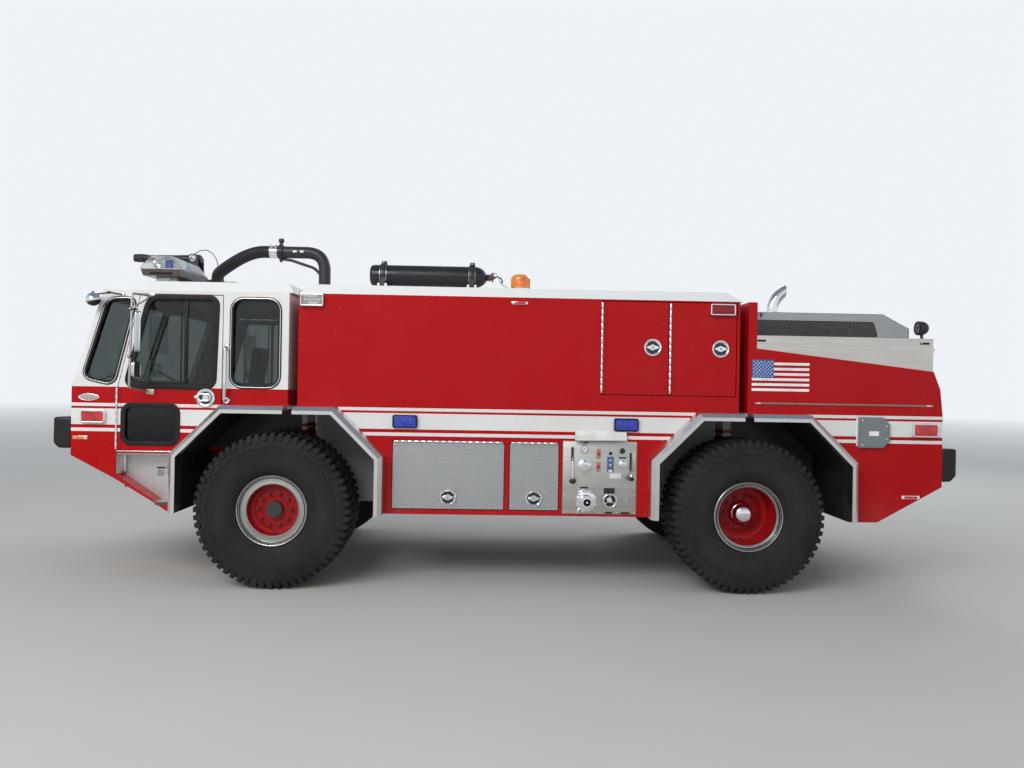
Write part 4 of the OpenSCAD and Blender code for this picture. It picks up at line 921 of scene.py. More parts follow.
tyre = make_tyre()
for place, x in (("front", AXLE_F), ("rear", AXLE_R)):
    for side, sign in SIDES.items():
        made = copied(tyre, Matrix.Translation((x, sign * WHEEL_Y, TYRE_R)))
        smooth(made, 28)
        dress(f"lugged_tyre_{place}_{side}", made, f"wheel_{place}_{side}", "tyre", f"tyre_{place}_{side}")
bpy.data.objects.remove(tyre)


# Wheels, drawn about the origin with their outer side towards -Y

RIM_EDGE = 0.2403
STUDS, STUD_CIRCLE_R = 10, 0.142875


def silver_ring(inner):
    """The wheel's outer ring: rolled flange, well and inner lip."""
    return turned(wheel_silver, [
        (RIM_EDGE, 0.29), (RIM_EDGE, 0.3105), (0.247, 0.3125), (0.253, 0.3118), (0.257, 0.307), (0.2545, 0.3),
        (0.247, 0.295), (0.236, 0.291), (0.224, 0.288), (0.216, 0.284), (0.213, (inner + 0.284) / 2),
        (0.217, inner + 0.008), (0.221, inner + 0.004), (0.22, inner), (0.205, inner - 0.0005), (0.2, inner + 0.004),
        (0.2, 0.279), (0.232, 0.281), (RIM_EDGE, 0.29)
    ], (0, 0, 0), sides=96)


def wheel_shell(face, inner):
    """Barrel and disc in one turned piece; face is the disc's distance from the wheel's middle."""
    back = face - 0.022
    return turned(wheel_red, [
        (face, 0), (face, 0.108), (face + 0.004, 0.114), (face + 0.004, 0.172), (face, 0.18), (face, inner - 0.032),
        (face + 0.006, inner - 0.016), (face + 0.022, inner - 0.006), (0.203, inner), (0.203, 0.2795),
        (-0.24, 0.2795), (-0.2403, 0.31), (-0.251, 0.311), (-0.255, 0.305), (-0.252, 0.285), (-0.232, 0.27),
        (back - 0.02, 0.266), (back - 0.004, inner - 0.02), (back, inner - 0.04), (back, 0)
    ], (0, 0, 0), sides=96)


def wheel_nuts(face):
    """Ten nuts with their washers and stud ends."""
    centre = Vector((0, -face, STUD_CIRCLE_R))
    washer = rod(wheel_red, centre + Vector((0, 0.002, 0)), centre - Vector((0, 0.005, 0)), 0.02, 20, 0.001)
    # The nuts and stud ends are a darker red than the washers: painted shade.
    nut = rod(nut_red_painted_shade, centre - Vector((0, 0.004, 0)), centre - Vector((0, 0.024, 0)), 0.0172, 6, 0.0015)
    stud = rod(nut_red_painted_shade, centre - Vector((0, 0.02, 0)), centre - Vector((0, 0.034, 0)), 0.0095, 12, 0.001)
    return repeated(joined([washer, nut, stud]), around("Y", (0, 0, 0), STUDS, math.radians(18)))


def front_hub(face):
    """The flat front disc has a low boss and a sunk centre."""
    return turned(wheel_red, [
        (face - 0.002, 0.062), (face + 0.003, 0.061), (face + 0.006, 0.056), (face + 0.0065, 0.028),
        (face + 0.014, 0.024), (face + 0.015, 0.013), (face + 0.01, 0.011), (face + 0.01, 0)
    ], (0, 0, 0))


def rear_hub(face):
    return joined([
        turned(wheel_red, [
            (face - 0.002, 0.112), (face + 0.016, 0.11), (face + 0.028, 0.103), (face + 0.04, 0.092),
            (face + 0.048, 0.09), (face + 0.048, 0)
        ], (0, 0, 0)),
        turned(chrome, [
            (face + 0.046, 0.092), (face + 0.056, 0.092), (face + 0.058, 0.0885), (face + 0.092, 0.088),
            (face + 0.11, 0.083), (face + 0.124, 0.072), (face + 0.134, 0.056), (face + 0.14, 0.034),
            (face + 0.142, 0)
        ], (0, 0, 0), sides=64, degrees=50)
    ])


def valve_stem(face, inner):
    return joined([
        rod(chrome, (0, -face - 0.01, -inner + 0.03), (0, -face - 0.07, -inner + 0.036), 0.005, 12),
        rod(black_knob, (0, -face - 0.066, -inner + 0.0355), (0, -face - 0.082, -inner + 0.037), 0.007, 12, 0.001)
    ])


for place, x, face, inner, hub in (
        ("front", AXLE_F, 0.13, 0.2275, front_hub), ("rear", AXLE_R, 0.0, 0.2625, rear_hub)):
    parts = [
        wheel_shell(face, inner),
        silver_ring(inner),
        wheel_nuts(face + 0.004),
        hub(face),
        valve_stem(face, inner)
    ]
    wheel = joined(parts)
    other = mirrored(wheel)
    for side, made in (("left", wheel), ("right", other)):
        made.data.transform(Matrix.Translation((x, SIDES[side] * WHEEL_Y, TYRE_R)))
        smooth(made)
        dress(f"wheel_{place}_{side}", made, f"wheel_{place}_{side}", "wheel_paint", f"rim_{place}_{side}")


# Window trims

def axle_outline(*corners):
    """Corners measured from the front axle, as (x, z)."""
    return [(AXLE_F + x, z) for x, z in corners]


QUARTER_WINDOW = axle_outline((-1.497, 2.519), (-1.256, 2.528), (-1.438, 1.770), (-1.701, 1.829))
DOOR_WINDOW = axle_outline((-1.126, 2.534), (-0.547, 2.540), (-0.570, 1.759), (-1.316, 1.771))
LOW_WINDOW = axle_outline((-1.339, 1.579), (-0.877, 1.579), (-0.877, 1.257), (-1.339, 1.257))
REAR_WINDOW = axle_outline((-0.405, 2.539), (0.010, 2.539), (0.010, 1.767), (-0.405, 1.767))


def window_trim(outline, corner, band, bright):
    """A rubber gasket round a side window, with a bright filler strip where the cab has one."""
    outer = -SIDE_Y - 0.007
    parts = [outline_ring(trim_rubber, grown(outline, band), -SIDE_Y + 0.006, outer, band + 0.012,
                          corner + band * 0.8, soften=0.003)]
    if bright:
        parts.append(outline_ring(chrome, grown(outline, band * 0.55), outer + 0.002, outer - 0.0025, 0.006,
                                  corner + band * 0.5, soften=0.001))
    return joined(parts)


both_sides("quarter_trim", window_trim(QUARTER_WINDOW, 0.075, 0.022, True), "chassis", "black_paint")
both_sides("rear_side_trim", window_trim(REAR_WINDOW, 0.1, 0.022, True), "chassis", "black_paint")
both_sides("door_window_trim", window_trim(DOOR_WINDOW, 0.075, 0.034, False), "cab_door_{side}", "black_paint")
both_sides("low_window_trim", window_trim(LOW_WINDOW, 0.07, 0.03, False), "cab_door_{side}", "black_paint")


def slider_bars():
    """The sliding pane's upright and the tracks over and under it."""
    y = -SIDE_Y + 0.004
    return joined([
        block(trim_rubber, (AXLE_F - 0.826, y, 1.775), (AXLE_F - 0.796, y + 0.02, 2.53), 0.003),
        block(trim_rubber, (AXLE_F - 0.862, y + 0.01, 1.785), (AXLE_F - 0.85, y + 0.02, 2.52), 0.002),
        block(trim_rubber, (AXLE_F - 1.3, y + 0.006, 1.766), (AXLE_F - 0.58, y + 0.026, 1.792), 0.002),
        block(trim_rubber, (AXLE_F - 1.12, y + 0.006, 2.508), (AXLE_F - 0.56, y + 0.026, 2.53), 0.002)
    ])


both_sides("slider_bars", slider_bars(), "cab_door_{side}", "black_paint")


def screen_point(z, outwards=0.0):
    """X of the windscreen's plane at a height, moved out along its normal."""
    return CAB_X0 + SCREEN_LEAN * (z - BELT_Z) - outwards * math.sqrt(1 + SCREEN_LEAN ** 2)


def lean_with_screen(piece):
    """Shears an upright front piece, drawn at x = 0, back onto the windscreen's slope."""
    for vertex in piece.data.vertices:
        vertex.co.x += screen_point(vertex.co.z)
    return piece


def screen_trim(y0, y1):
    outline = [(y0, 2.53), (y1, 2.53), (y1, 1.79), (y0, 1.79)]
    return lean_with_screen(outline_ring(
        trim_rubber, grown(outline, 0.022), 0.006, -0.008, 0.034, 0.08, plane="YZ", soften=0.003))


both_sides("screen_trim", screen_trim(-SIDE_Y + 0.11, -0.02), "chassis", "black_paint")


def back_window_trim():
    outline = [(-0.55, 2.35), (0.55, 2.35), (0.55, 1.85), (-0.55, 1.85)]
    return outline_ring(trim_rubber, grown(outline, 0.022), CAB_X1 - 0.006, CAB_X1 + 0.007, 0.034, 0.08, plane="YZ",
                        soften=0.003)


dress("back_window_trim", back_window_trim(), "chassis", "black_paint")


def wiper(foot_y, reach):
    """A parked wiper: arm and blade on the windscreen."""
    foot = Vector((screen_point(1.765, 0.016), foot_y, 1.765))
    tip = Vector((screen_point(1.86, 0.02), foot_y + reach, 1.86))
    arm = tube(black_knob, [foot, foot + Vector((-0.014, 0, 0.01)), tip], 0.006, 0.02, 8)
    blade_low = Vector((screen_point(1.815, 0.017), foot_y + reach * 0.35, 1.815))
    blade_high = Vector((screen_point(1.9, 0.017), foot_y + reach * 1.5, 1.9))
    return joined([
        arm,
        rod(black_knob, blade_low, blade_high, 0.008, 8),
        rod(black_knob, foot + Vector((0.02, 0, 0)), foot + Vector((-0.022, 0, 0)), 0.018, 16, 0.002)
    ])


both_sides("wiper", wiper(-0.98, 0.42), "chassis", "black_paint")


# Lamps

def soft_rect(x0, z0, x1, z1):
    return [(x0, z0), (x1, z0), (x1, z1), (x0, z1)]


def inset_rect(x0, z0, x1, z1, by):
    return (x0 + by, z0 + by, x1 - by, z1 - by)


def side_lamp(rect, depth, lens_finish, bezel_finish, rim=0.013, corner=0.022, cells=0):
    """A lamp on the left side: bezel, crowned lens and the bright cells behind its face."""
    parts = [
        outline_ring(bezel_finish, soft_rect(*rect), -SIDE_Y, -SIDE_Y - depth, rim, corner, soften=0.004),
        rounded(outline_piece(lens_finish, soft_rect(*inset_rect(*rect, rim * 0.8)), -SIDE_Y, -SIDE_Y - depth * 0.86,
                              corner * 0.7),
                0.006, 3)
    ]
    x0, z0, x1, z1 = inset_rect(*rect, rim * 1.9)
    for i in range(cells):
        low, high = x0 + (x1 - x0) * (i + 0.12) / cells, x0 + (x1 - x0) * (i + 0.88) / cells
        parts.append(block(lens_finish, (low, -SIDE_Y - depth * 0.95, z0 + 0.008),
                           (high, -SIDE_Y - depth * 0.6, z1 - 0.008), 0.007, 3))
    return joined(parts)


def round_lamp(centre, towards, radius, depth, lens_finish, bezel_finish):
    """A round lamp: bezel, bowl and domed lens. centre lies on the face that carries it."""
    return joined([
        turned(bezel_finish, [
            (0, 0), (0, radius), (depth * 0.7, radius), (depth * 0.92, radius * 0.985), (depth, radius * 0.95),
            (depth, radius * 0.9), (depth * 0.8, radius * 0.87), (depth * 0.2, radius * 0.3), (depth * 0.2, 0)
        ], centre, towards),
        turned(lens_finish, [
            (depth * 0.72, 0), (depth * 0.72, radius * 0.885), (depth * 0.8, radius * 0.885),
            (depth * 0.98, radius * 0.7), (depth * 1.08, radius * 0.4), (depth * 1.11, 0)
        ], centre, towards, degrees=50)
    ])


FRONT_MARKER = (-3.798, 1.423, -3.586, 1.540)
REAR_MARKER = (3.625, 1.411, 3.860, 1.535)
for name, rect in (("front_marker", FRONT_MARKER), ("rear_marker", REAR_MARKER)):
    both_sides(name, side_lamp(rect, 0.031, red_lens, chrome, 0.014), "chassis", "red_lens", "red_lamps")


def slim_marker(x0, x1, z0, z1, finish, ends=None):
    """A slim marker lamp with a lens between two end pieces."""
    return joined([
        coated(block(None, (x0, -SIDE_Y - 0.011, z0), (x1, -SIDE_Y, z1), 0.004), ends or finish),
        block(finish, (x0 + 0.022, -SIDE_Y - 0.0135, z0 + 0.004), (x1 - 0.022, -SIDE_Y - 0.004, z1 - 0.004), 0.004, 3)
    ])


both_sides("low_rear_marker", slim_marker(ENGINE_X1 - 0.37, ENGINE_X1 - 0.206, 0.85, 0.88, red_lens, dial_white),
           "chassis", "red_lens", "red_lamps")
both_sides("top_marker", slim_marker(-0.02, 0.126, 2.541, 2.569, red_lens, chrome), "chassis", "red_lens",
           "red_lamps")


def tail_lamps():
    """Two lamps one over the other in a black housing on the rear face."""
    x = ENGINE_X1
    parts = [block(trim_rubber, (x, -1.28, 1.35), (x + 0.014, -1.15, 1.56), 0.006)]
    for z0, z1, finish in ((1.362, 1.452, red_lens), (1.458, 1.548, amber_lens)):
        parts.append(block(finish, (x + 0.004, -1.272, z0), (x + 0.022, -1.158, z1), 0.009, 3))
    return joined(parts)


both_sides("tail_lamps", tail_lamps(), "chassis", "red_lens", "red_lamps")
both_sides("blue_lamp_front",
           side_lamp((AXLE_F + 1.026, 1.422, AXLE_F + 1.246, 1.538), 0.0295, blue_lens, trim_rubber, 0.012, 0.018, 3),
           "chassis", "blue_lens", "blue_lamps")
both_sides("blue_lamp_rear",
           side_lamp((AXLE_R - 1.195, 1.422, AXLE_R - 0.975, 1.538), 0.0295, blue_lens, trim_rubber, 0.012, 0.018, 3),
           "chassis", "blue_lens", "blue_lamps")


def scene_lamp(name, rect, depth, body, node=None):
    """A wide flood lamp with a chrome case and a bright bowl behind clear glass."""
    x0, z0, x1, z1 = rect
    both_sides(name, joined([
        outline_ring(chrome, soft_rect(*rect), -SIDE_Y, -SIDE_Y - depth, 0.01, 0.01, soften=0.003),
        block(wheel_silver, (x0 + 0.008, -SIDE_Y - depth * 0.35, z0 + 0.008), (x1 - 0.008, -SIDE_Y, z1 - 0.008),
              0.006),
        rod(dial_white, (x0 + 0.03, -SIDE_Y - depth * 0.55, (z0 + z1) / 2),
            (x1 - 0.03, -SIDE_Y - depth * 0.55, (z0 + z1) / 2), 0.008, 12),
        block(clear_lens, (x0 + 0.009, -SIDE_Y - depth * 0.92, z0 + 0.009),
              (x1 - 0.009, -SIDE_Y - depth * 0.8, z1 - 0.009), 0.003)
    ]), body, "clear_lens", node)


scene_lamp("front_scene_lamp", (TANK_X0 + 0.019, 2.490, TANK_X0 + 0.221, 2.598), 0.039, "chassis", "white_lamps")


def headlamps():
    lamps = [round_lamp((CAB_X0, -y, 1.58), (-1, 0, 0), 0.088, 0.02, clear_lens, chrome) for y in (0.86, 1.06)]
    return joined(lamps)


both_sides("headlamps", headlamps(), "chassis", "clear_lens", "white_lamps")


WORK_LAMP_Y = -1.240


def work_lamp():
    """The teardrop work lamp on its foot over the rear corner."""
    x, z = ENGINE_X1 - 0.15, 2.407
    return joined([
        turned(roof_gear_black, [
            (-0.06, 0), (-0.058, 0.016), (-0.05, 0.034), (-0.034, 0.051), (-0.012, 0.062), (0.014, 0.0655),
            (0.03, 0.0655), (0.04, 0.064), (0.04, 0.058), (0.028, 0.055), (0.028, 0)
        ], (x, WORK_LAMP_Y, z), (-1, 0, 0), degrees=50),
        turned(clear_lens, [
            (0.03, 0), (0.03, 0.0565), (0.036, 0.052), (0.039, 0.03), (0.0395, 0)
        ], (x, WORK_LAMP_Y, z), (-1, 0, 0), degrees=50),
        rod(roof_gear_black, (x, WORK_LAMP_Y, 2.307), (x, WORK_LAMP_Y, 2.35), 0.013, 16),
        rod(roof_gear_black, (x, WORK_LAMP_Y, 2.307), (x, WORK_LAMP_Y, 2.313), 0.028, 20, 0.002)
    ])


both_sides("work_lamp", work_lamp(), "chassis", "black_paint", "white_lamps")


def front_side_marker():
    x0, x1 = CAB_X0 + 0.017, CAB_X0 + 0.145
    return joined([
        block(chrome, (x0, -SIDE_Y - 0.004, 1.277), (x1, -SIDE_Y, 1.308), 0.002),
        block(amber_lens, (x0 + 0.004, -SIDE_Y - 0.0118, 1.28), (x1 - 0.03, -SIDE_Y - 0.002, 1.305), 0.004, 3),
        block(white_lens, (x1 - 0.028, -SIDE_Y - 0.011, 1.281), (x1 - 0.004, -SIDE_Y - 0.002, 1.304), 0.004, 3)
    ])


both_sides("front_side_marker", front_side_marker(), "chassis", "amber_lens", "amber_lamps")

BEACON_AT = Vector((0.071, -0.880, ROOF_Z))


def beacon():
    """Amber beacon: base, ribbed dome and a bright ring at the dome's foot."""
    base = turned(trim_rubber, [(0, 0), (0, 0.1), (0.022, 0.1), (0.03, 0.094), (0.03, 0)], BEACON_AT, (0, 0, 1))
    dome = turned(amber_lens, [
        (0.03, 0), (0.03, 0.0915), (0.12, 0.0905), (0.138, 0.0885), (0.152, 0.083), (0.164, 0.073), (0.172, 0.056),
        (0.177, 0.03), (0.1785, 0)
    ], BEACON_AT, (0, 0, 1), degrees=50)
    ribs = repeated(block(amber_lens, (-0.0018, -0.0932, 0.036), (0.0018, -0.088, 0.136), 0.001, 1),
                    around("Z", (0, 0, 0), 24))
    ribs.data.transform(Matrix.Translation(BEACON_AT))
    dress("beacon", joined([
        base,
        dome,
        ribs,
        turned(chrome, [
            (0.03, 0.09), (0.03, 0.0945), (0.04, 0.0945), (0.04, 0.09), (0.03, 0.09)
        ], BEACON_AT, (0, 0, 1))
    ]), "chassis", "amber_lens", "amber_lamps")


beacon()


# Latches and hinges

def paddle_latch(x, z, radius):
    """A round flush latch: rim, dished bowl and folding handle."""
    face = (x, -SIDE_Y, z)
    dish = turned(chrome, [
        (0.0, 0), (0.0, radius), (0.0125, radius), (0.015, radius - 0.003), (0.015, radius - 0.01),
        (0.012, radius - 0.0145), (0.0112, radius - 0.0155), (0.0045, radius - 0.021), (0.004, 0.03),
        (0.0105, 0.0265), (0.0105, 0)
    ], face, sides=48)
    # A thin near-black ring in the bowl: painted shade in the latch's recess.
    recess = turned(dark_glass_and_recess_shade, [
        (0.0046, 0.0295), (0.0049, 0.0295), (0.0049, radius - 0.0215), (0.0046, radius - 0.0215), (0.0046, 0.0295)
    ], face, sides=48)
    handle = outline_piece(chrome, [
        (x - radius + 0.016, z), (x - 0.03, z - 0.017), (x + 0.03, z - 0.017), (x + radius - 0.016, z),
        (x + 0.03, z + 0.017), (x - 0.03, z + 0.017)
    ], -SIDE_Y - 0.01, -SIDE_Y - 0.0165, 0.01)
    handle = rounded(handle, 0.0022)
    return joined([
        dish,
        recess,
        handle,
        rod(cast_grey, (x, -SIDE_Y - 0.016, z), (x, -SIDE_Y - 0.0195, z), 0.01, 20, 0.001)
    ])


def piano_hinge(start, end, radius=0.0104, knuckle=0.062):
    """A hinge's knuckles, with grooves between them."""
    start, end = Vector(start), Vector(end)
    length = (end - start).length
    count = max(1, round(length / knuckle))
    stations = [(0, 0)]
    for i in range(count):
        a, b = length * i / count, length * (i + 1) / count
        stations += [(a, radius - 0.0008), (a + 0.0015, radius), (b - 0.0015, radius), (b, radius - 0.0008)]
    return turned(chrome, stations + [(length, 0)], start, end - start, sides=16)


HINGE_Y = SIDE_Y + 0.0093
for place, latch_z in (("front", 2.183), ("rear", 2.18)):
    low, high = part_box(f"upper_door_{place}_right")
    hinge_x = low.x + 0.009
    latch_x = high.x - 0.142
    both_sides(f"upper_latch_{place}", paddle_latch(latch_x, latch_z - 0.003, 0.0772), f"upper_door_{place}_{{side}}",
               "chrome")
    both_sides(f"upper_hinge_{place}", piano_hinge((hinge_x, -HINGE_Y, BELT_Z + 0.02), (hinge_x, -HINGE_Y, 2.575)),
               f"upper_door_{place}_{{side}}", "chrome")
    low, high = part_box(f"lower_door_{place}_right")
    middle = (low.x + high.x) / 2
    both_sides(f"lower_latch_{place}", paddle_latch(middle, low.z + 0.104, 0.0742), f"lower_door_{place}_{{side}}",
               "chrome")
    both_sides(f"lower_hinge_{place}",
               piano_hinge((low.x + 0.012, -HINGE_Y, high.z - 0.009), (high.x - 0.012, -HINGE_Y, high.z - 0.009)),
               f"lower_door_{place}_{{side}}", "chrome")

CAB_HINGE_X = AXLE_F - 1.402
both_sides("cab_hinge", piano_hinge((CAB_HINGE_X, -HINGE_Y, 1.194), (CAB_HINGE_X, -HINGE_Y, 1.735)),
           "cab_door_{side}", "chrome")


def cab_latch():
    """The round paddle latch of a cab door, with its finger plate."""
    x, z = AXLE_F - 0.625, 1.659
    dish = turned(chrome, [
        (0, 0), (0, 0.083), (0.013, 0.083), (0.016, 0.08), (0.0165, 0.071), (0.0135, 0.066), (0.0128, 0.03),
        (0.019, 0.025), (0.02, 0)
    ], (x, -SIDE_Y, z), sides=56)
    bow = outline_ring(chrome, soft_rect(x - 0.074, z - 0.034, x + 0.05, z + 0.04), -SIDE_Y - 0.012, -SIDE_Y - 0.024,
                       0.016, 0.034, soften=0.004)
    return joined([
        dish,
        # A near-black ring in the bowl: painted shade in the latch's recess.
        turned(dark_glass_and_recess_shade, [
            (0.0129, 0.0305), (0.0133, 0.0305), (0.0133, 0.0655), (0.0129, 0.0655), (0.0129, 0.0305)
        ], (x, -SIDE_Y, z), sides=48),
        bow,
        block(chrome, (x - 0.098, -SIDE_Y - 0.022, z - 0.006), (x - 0.062, -SIDE_Y - 0.001, z + 0.018), 0.005)
    ])


both_sides("cab_latch", cab_latch(), "cab_door_{side}", "chrome")


# Pump panel

PANEL_X0, PANEL_X1 = 0.461, 1.132
PANEL_Z0, PANEL_Z1 = 0.673, 1.330
PANEL_Y = -SIDE_Y + 0.008


def on_panel(finish, stations, x, z, sides=40):
    return turned(finish, stations, (x, PANEL_Y, z), sides=sides)


def label_plate(x0, z0, x1, z1, finish, lift=0.0025):
    return block(finish, (x0, PANEL_Y - lift, z0), (x1, PANEL_Y + 0.001, z1), 0.0008, 1)


def gauge(x, z, radius):
    rim = on_panel(chrome, [
        (0, 0), (0, radius + 0.006), (0.01, radius + 0.004), (0.017, radius), (0.018, radius - 0.004),
        (0.014, radius - 0.007), (0.013, 0)
    ], x, z)
    face = on_panel(dial_white, [(0.013, 0), (0.013, radius - 0.0075), (0.0136, radius - 0.008), (0.0136, 0)], x, z)
    needle = block(black_knob, (-0.0016, -0.0008, -0.008), (0.0016, 0.0008, radius * 0.62), 0.0006, 1)
    needle.data.transform(Matrix.Translation((x, PANEL_Y - 0.0148, z)) @ Matrix.Rotation(math.radians(-130), 4, "Y"))
    hub = on_panel(black_knob, [(0.0134, 0), (0.0134, 0.006), (0.0165, 0.005), (0.0165, 0)], x, z, 16)
    ticks = repeated(block(black_knob, (-0.0007, -0.0003, radius * 0.62), (0.0007, 0.0003, radius * 0.75), 0),
                     around("Y", (0, 0, 0), 13, 0.4))
    ticks.data.transform(Matrix.Translation((x, PANEL_Y - 0.0138, z)))
    return [rim, face, needle, hub, ticks]


def slot_lever(x, z0, z1, knob_z, knob_r, bracket):
    """A lever that leaves a round-ended slot and ends in a ball."""
    guide = outline_ring(stainless, soft_rect(x - 0.017, z0 - 0.006, x + 0.017, z1 + 0.006), PANEL_Y + 0.001,
                         PANEL_Y - 0.004, 0.007, 0.016, soften=0.0015)
    parts = [
        outline_piece(black_knob, soft_rect(x - 0.0115, z0, x + 0.0115, z1), PANEL_Y + 0.001, PANEL_Y - 0.0012,
                      0.0113),
        guide,
        tube(chrome, [
            (x, PANEL_Y + 0.004, z0 + 0.03), (x, PANEL_Y - 0.034, z0 - 0.006), (x, PANEL_Y - 0.046, knob_z + 0.01)
        ], 0.006, 0.03),
        ball(black_knob, (x, PANEL_Y - 0.048, knob_z), knob_r, (1.15, 0.9, 0.85), 24)
    ]
    if bracket:
        parts.append(block(stainless, (x + 0.02, PANEL_Y - 0.016, z0 + 0.02), (x + 0.045, PANEL_Y + 0.001, z1 - 0.01),
                           0.004))
    return parts


def chrome_valve(x, z, radius, length):
    """A stepped chrome cap with lugs."""
    return [
        on_panel(chrome, [
            (0, 0), (0, radius), (0.008, radius), (0.01, radius * 0.86), (length * 0.55, radius * 0.82),
            (length * 0.6, radius * 0.92), (length * 0.85, radius * 0.9), (length * 0.97, radius * 0.7),
            (length, radius * 0.4), (length, 0)
        ], x, z),
        repeated(block(chrome, (x - 0.007, PANEL_Y - length * 0.85, z + radius * 0.75),
                       (x + 0.007, PANEL_Y - length * 0.6, z + radius * 1.05), 0.002),
                 around("Y", (x, 0, z), 3, 0.5))
    ]


def outlet(x, z):
    """The hose outlet: flange, threaded body, swivel and cap with slots, and its bail handle."""
    return [
        on_panel(chrome, [
            (0, 0), (0, 0.094), (0.01, 0.094), (0.013, 0.088), (0.013, 0.074), (0.03, 0.07), (0.034, 0.08),
            (0.039, 0.08), (0.041, 0.062), (0.06, 0.056), (0.06, 0)
        ], x, z, 56),
        on_panel(chrome, [(0.05, 0), (0.05, 0.04), (0.094, 0.0378), (0.0945, 0.034), (0.0945, 0)], x, z),
        on_panel(blush_metal, [
            (0.093, 0), (0.093, 0.0335), (0.0945, 0.032), (0.0945, 0.011), (0.0915, 0.009), (0.0915, 0)
        ], x, z),
        repeated(block(chrome, (x - 0.009, PANEL_Y - 0.037, z + 0.076), (x + 0.009, PANEL_Y - 0.018, z + 0.098),
                       0.003),
                 around("Y", (x, 0, z), 4, math.radians(20))),
        tube(chrome, [
            (x - 0.084, PANEL_Y - 0.036, z), (x - 0.078, PANEL_Y - 0.046, z + 0.09),
            (x - 0.02, PANEL_Y - 0.046, z + 0.112), (x + 0.05, PANEL_Y - 0.046, z + 0.1),
            (x + 0.062, PANEL_Y - 0.03, z + 0.078)
        ], 0.007, 0.03),
        tube(chrome, [
            (x - 0.055, PANEL_Y - 0.012, z - 0.06), (x - 0.072, PANEL_Y - 0.018, z - 0.08),
            (x - 0.076, PANEL_Y - 0.018, z - 0.112)
        ], 0.009, 0.02)
    ]


def hand_wheel(x, z, radius):
    """A three-spoke handwheel on its stem."""
    return [
        ring(chrome, radius, 0.008, (40, 12), (x, PANEL_Y - 0.05, z), math.pi / 2),
        repeated(rod(chrome, (x, PANEL_Y - 0.045, z), (x, PANEL_Y - 0.05, z + radius), 0.0055, 10),
                 around("Y", (x, 0, z), 3)),
        on_panel(chrome, [
            (0, 0), (0, 0.024), (0.008, 0.024), (0.01, 0.014), (0.04, 0.013), (0.042, 0.019), (0.054, 0.018),
            (0.056, 0.009), (0.062, 0.008), (0.062, 0)
        ], x, z, 24),
        label_plate(x - 0.05, z + 0.058, x + 0.048, z + 0.107, black_knob, 0.004),
        on_panel(black_knob, [(0, 0), (0, radius - 0.004), (0.003, radius - 0.005), (0.003, 0)], x, z)
    ]


def panel_lamp_hood():
    """The white hood with the panel's lamp under it."""
    profile = [
        (-SIDE_Y, 1.424), (-SIDE_Y - 0.012, 1.424), (-SIDE_Y - 0.055, 1.39), (-SIDE_Y - 0.055, 1.338),
        (-SIDE_Y, 1.338)
    ]
    return [
        rounded(outline_piece(hood_white, profile, 0.568, 1.026, plane="YZ"), 0.004),
        block(clear_lens, (0.64, -SIDE_Y - 0.048, 1.328), (0.95, -SIDE_Y - 0.012, 1.34), 0.004),
        block(stainless, (0.562, -SIDE_Y - 0.0555, 1.334), (1.032, -SIDE_Y - 0.05, 1.346), 0.0015)
    ]


def pump_panel():
    plate = block(stainless, (PANEL_X0, PANEL_Y, PANEL_Z0), (PANEL_X1, -SIDE_Y + 0.016, PANEL_Z1), 0.002)
    screw = on_panel(chrome, [
        (0, 0), (0, 0.0055), (0.002, 0.005), (0.003, 0.003), (0.003, 0)
    ], PANEL_X0 + 0.016, PANEL_Z0 + 0.016, 12)
    width, height = PANEL_X1 - PANEL_X0 - 0.032, PANEL_Z1 - PANEL_Z0 - 0.032
    parts = [
        plate,
        repeated(screw, slid(*[(width * i / 4, 0, height * k / 4) for i in range(5) for k in range(5)
                               if i in (0, 4) or k in (0, 4)])),
        *gauge(0.656, 1.258, 0.038),
        *chrome_valve(0.656, 1.107, 0.062, 0.06),
        *chrome_valve(1.003, 1.124, 0.038, 0.04),
        *slot_lever(0.549, 1.15, 1.274, 0.972, 0.027, False),
        *slot_lever(1.074, 1.043, 1.23, 0.999, 0.022, True),
        *outlet(0.676, 0.79),
        *hand_wheel(0.886, 0.803, 0.058),
        *panel_lamp_hood()
    ]
    for x, z in ((0.785, 1.216), (0.785, 1.1)):
        parts += [
            label_plate(x - 0.02, z - 0.045, x + 0.02, z + 0.045, blush_metal, 0.002),
            on_panel(red_knob, [
                (0, 0), (0, 0.015), (0.006, 0.015), (0.008, 0.01), (0.016, 0.009), (0.017, 0.006), (0.017, 0)
            ], x, z, 20)
        ]
    parts.append(label_plate(0.862, 1.052, 0.922, 1.192, blue_plate))
    for z in (1.161, 1.118):
        parts.append(on_panel(chrome, [(0, 0), (0, 0.014), (0.008, 0.013), (0.012, 0.008), (0.012, 0)], 0.892, z, 20))
    parts += [
        label_plate(0.876, 1.056, 0.908, 1.074, dial_white, 0.0035),
        on_panel(black_knob, [(0, 0), (0, 0.016), (0.01, 0.015), (0.018, 0.011), (0.018, 0)], 0.892, 1.222, 20),
        on_panel(black_knob, [
            (0, 0), (0, 0.026), (0.008, 0.025), (0.022, 0.021), (0.024, 0.016), (0.024, 0)
        ], 0.999, 1.246),
        on_panel(chrome, [(0, 0), (0, 0.01), (0.006, 0.008), (0.006, 0)], 1.039, 0.803, 16)
    ]
    for rect in ((0.62, 1.309, 0.691, 1.322), (0.967, 1.176, 1.033, 1.19), (0.624, 0.904, 0.691, 0.919),
                 (0.849, 0.68, 0.915, 0.697), (0.992, 0.679, 1.072, 0.695)):
        parts.append(label_plate(*rect, black_knob))
    parts.append(label_plate(0.886, 0.998, 0.989, 1.043, hood_white, 0.002))
    return joined(parts)


both_sides("pump_panel", pump_panel(), "chassis", "stainless", "pump_panels")


# Engine end

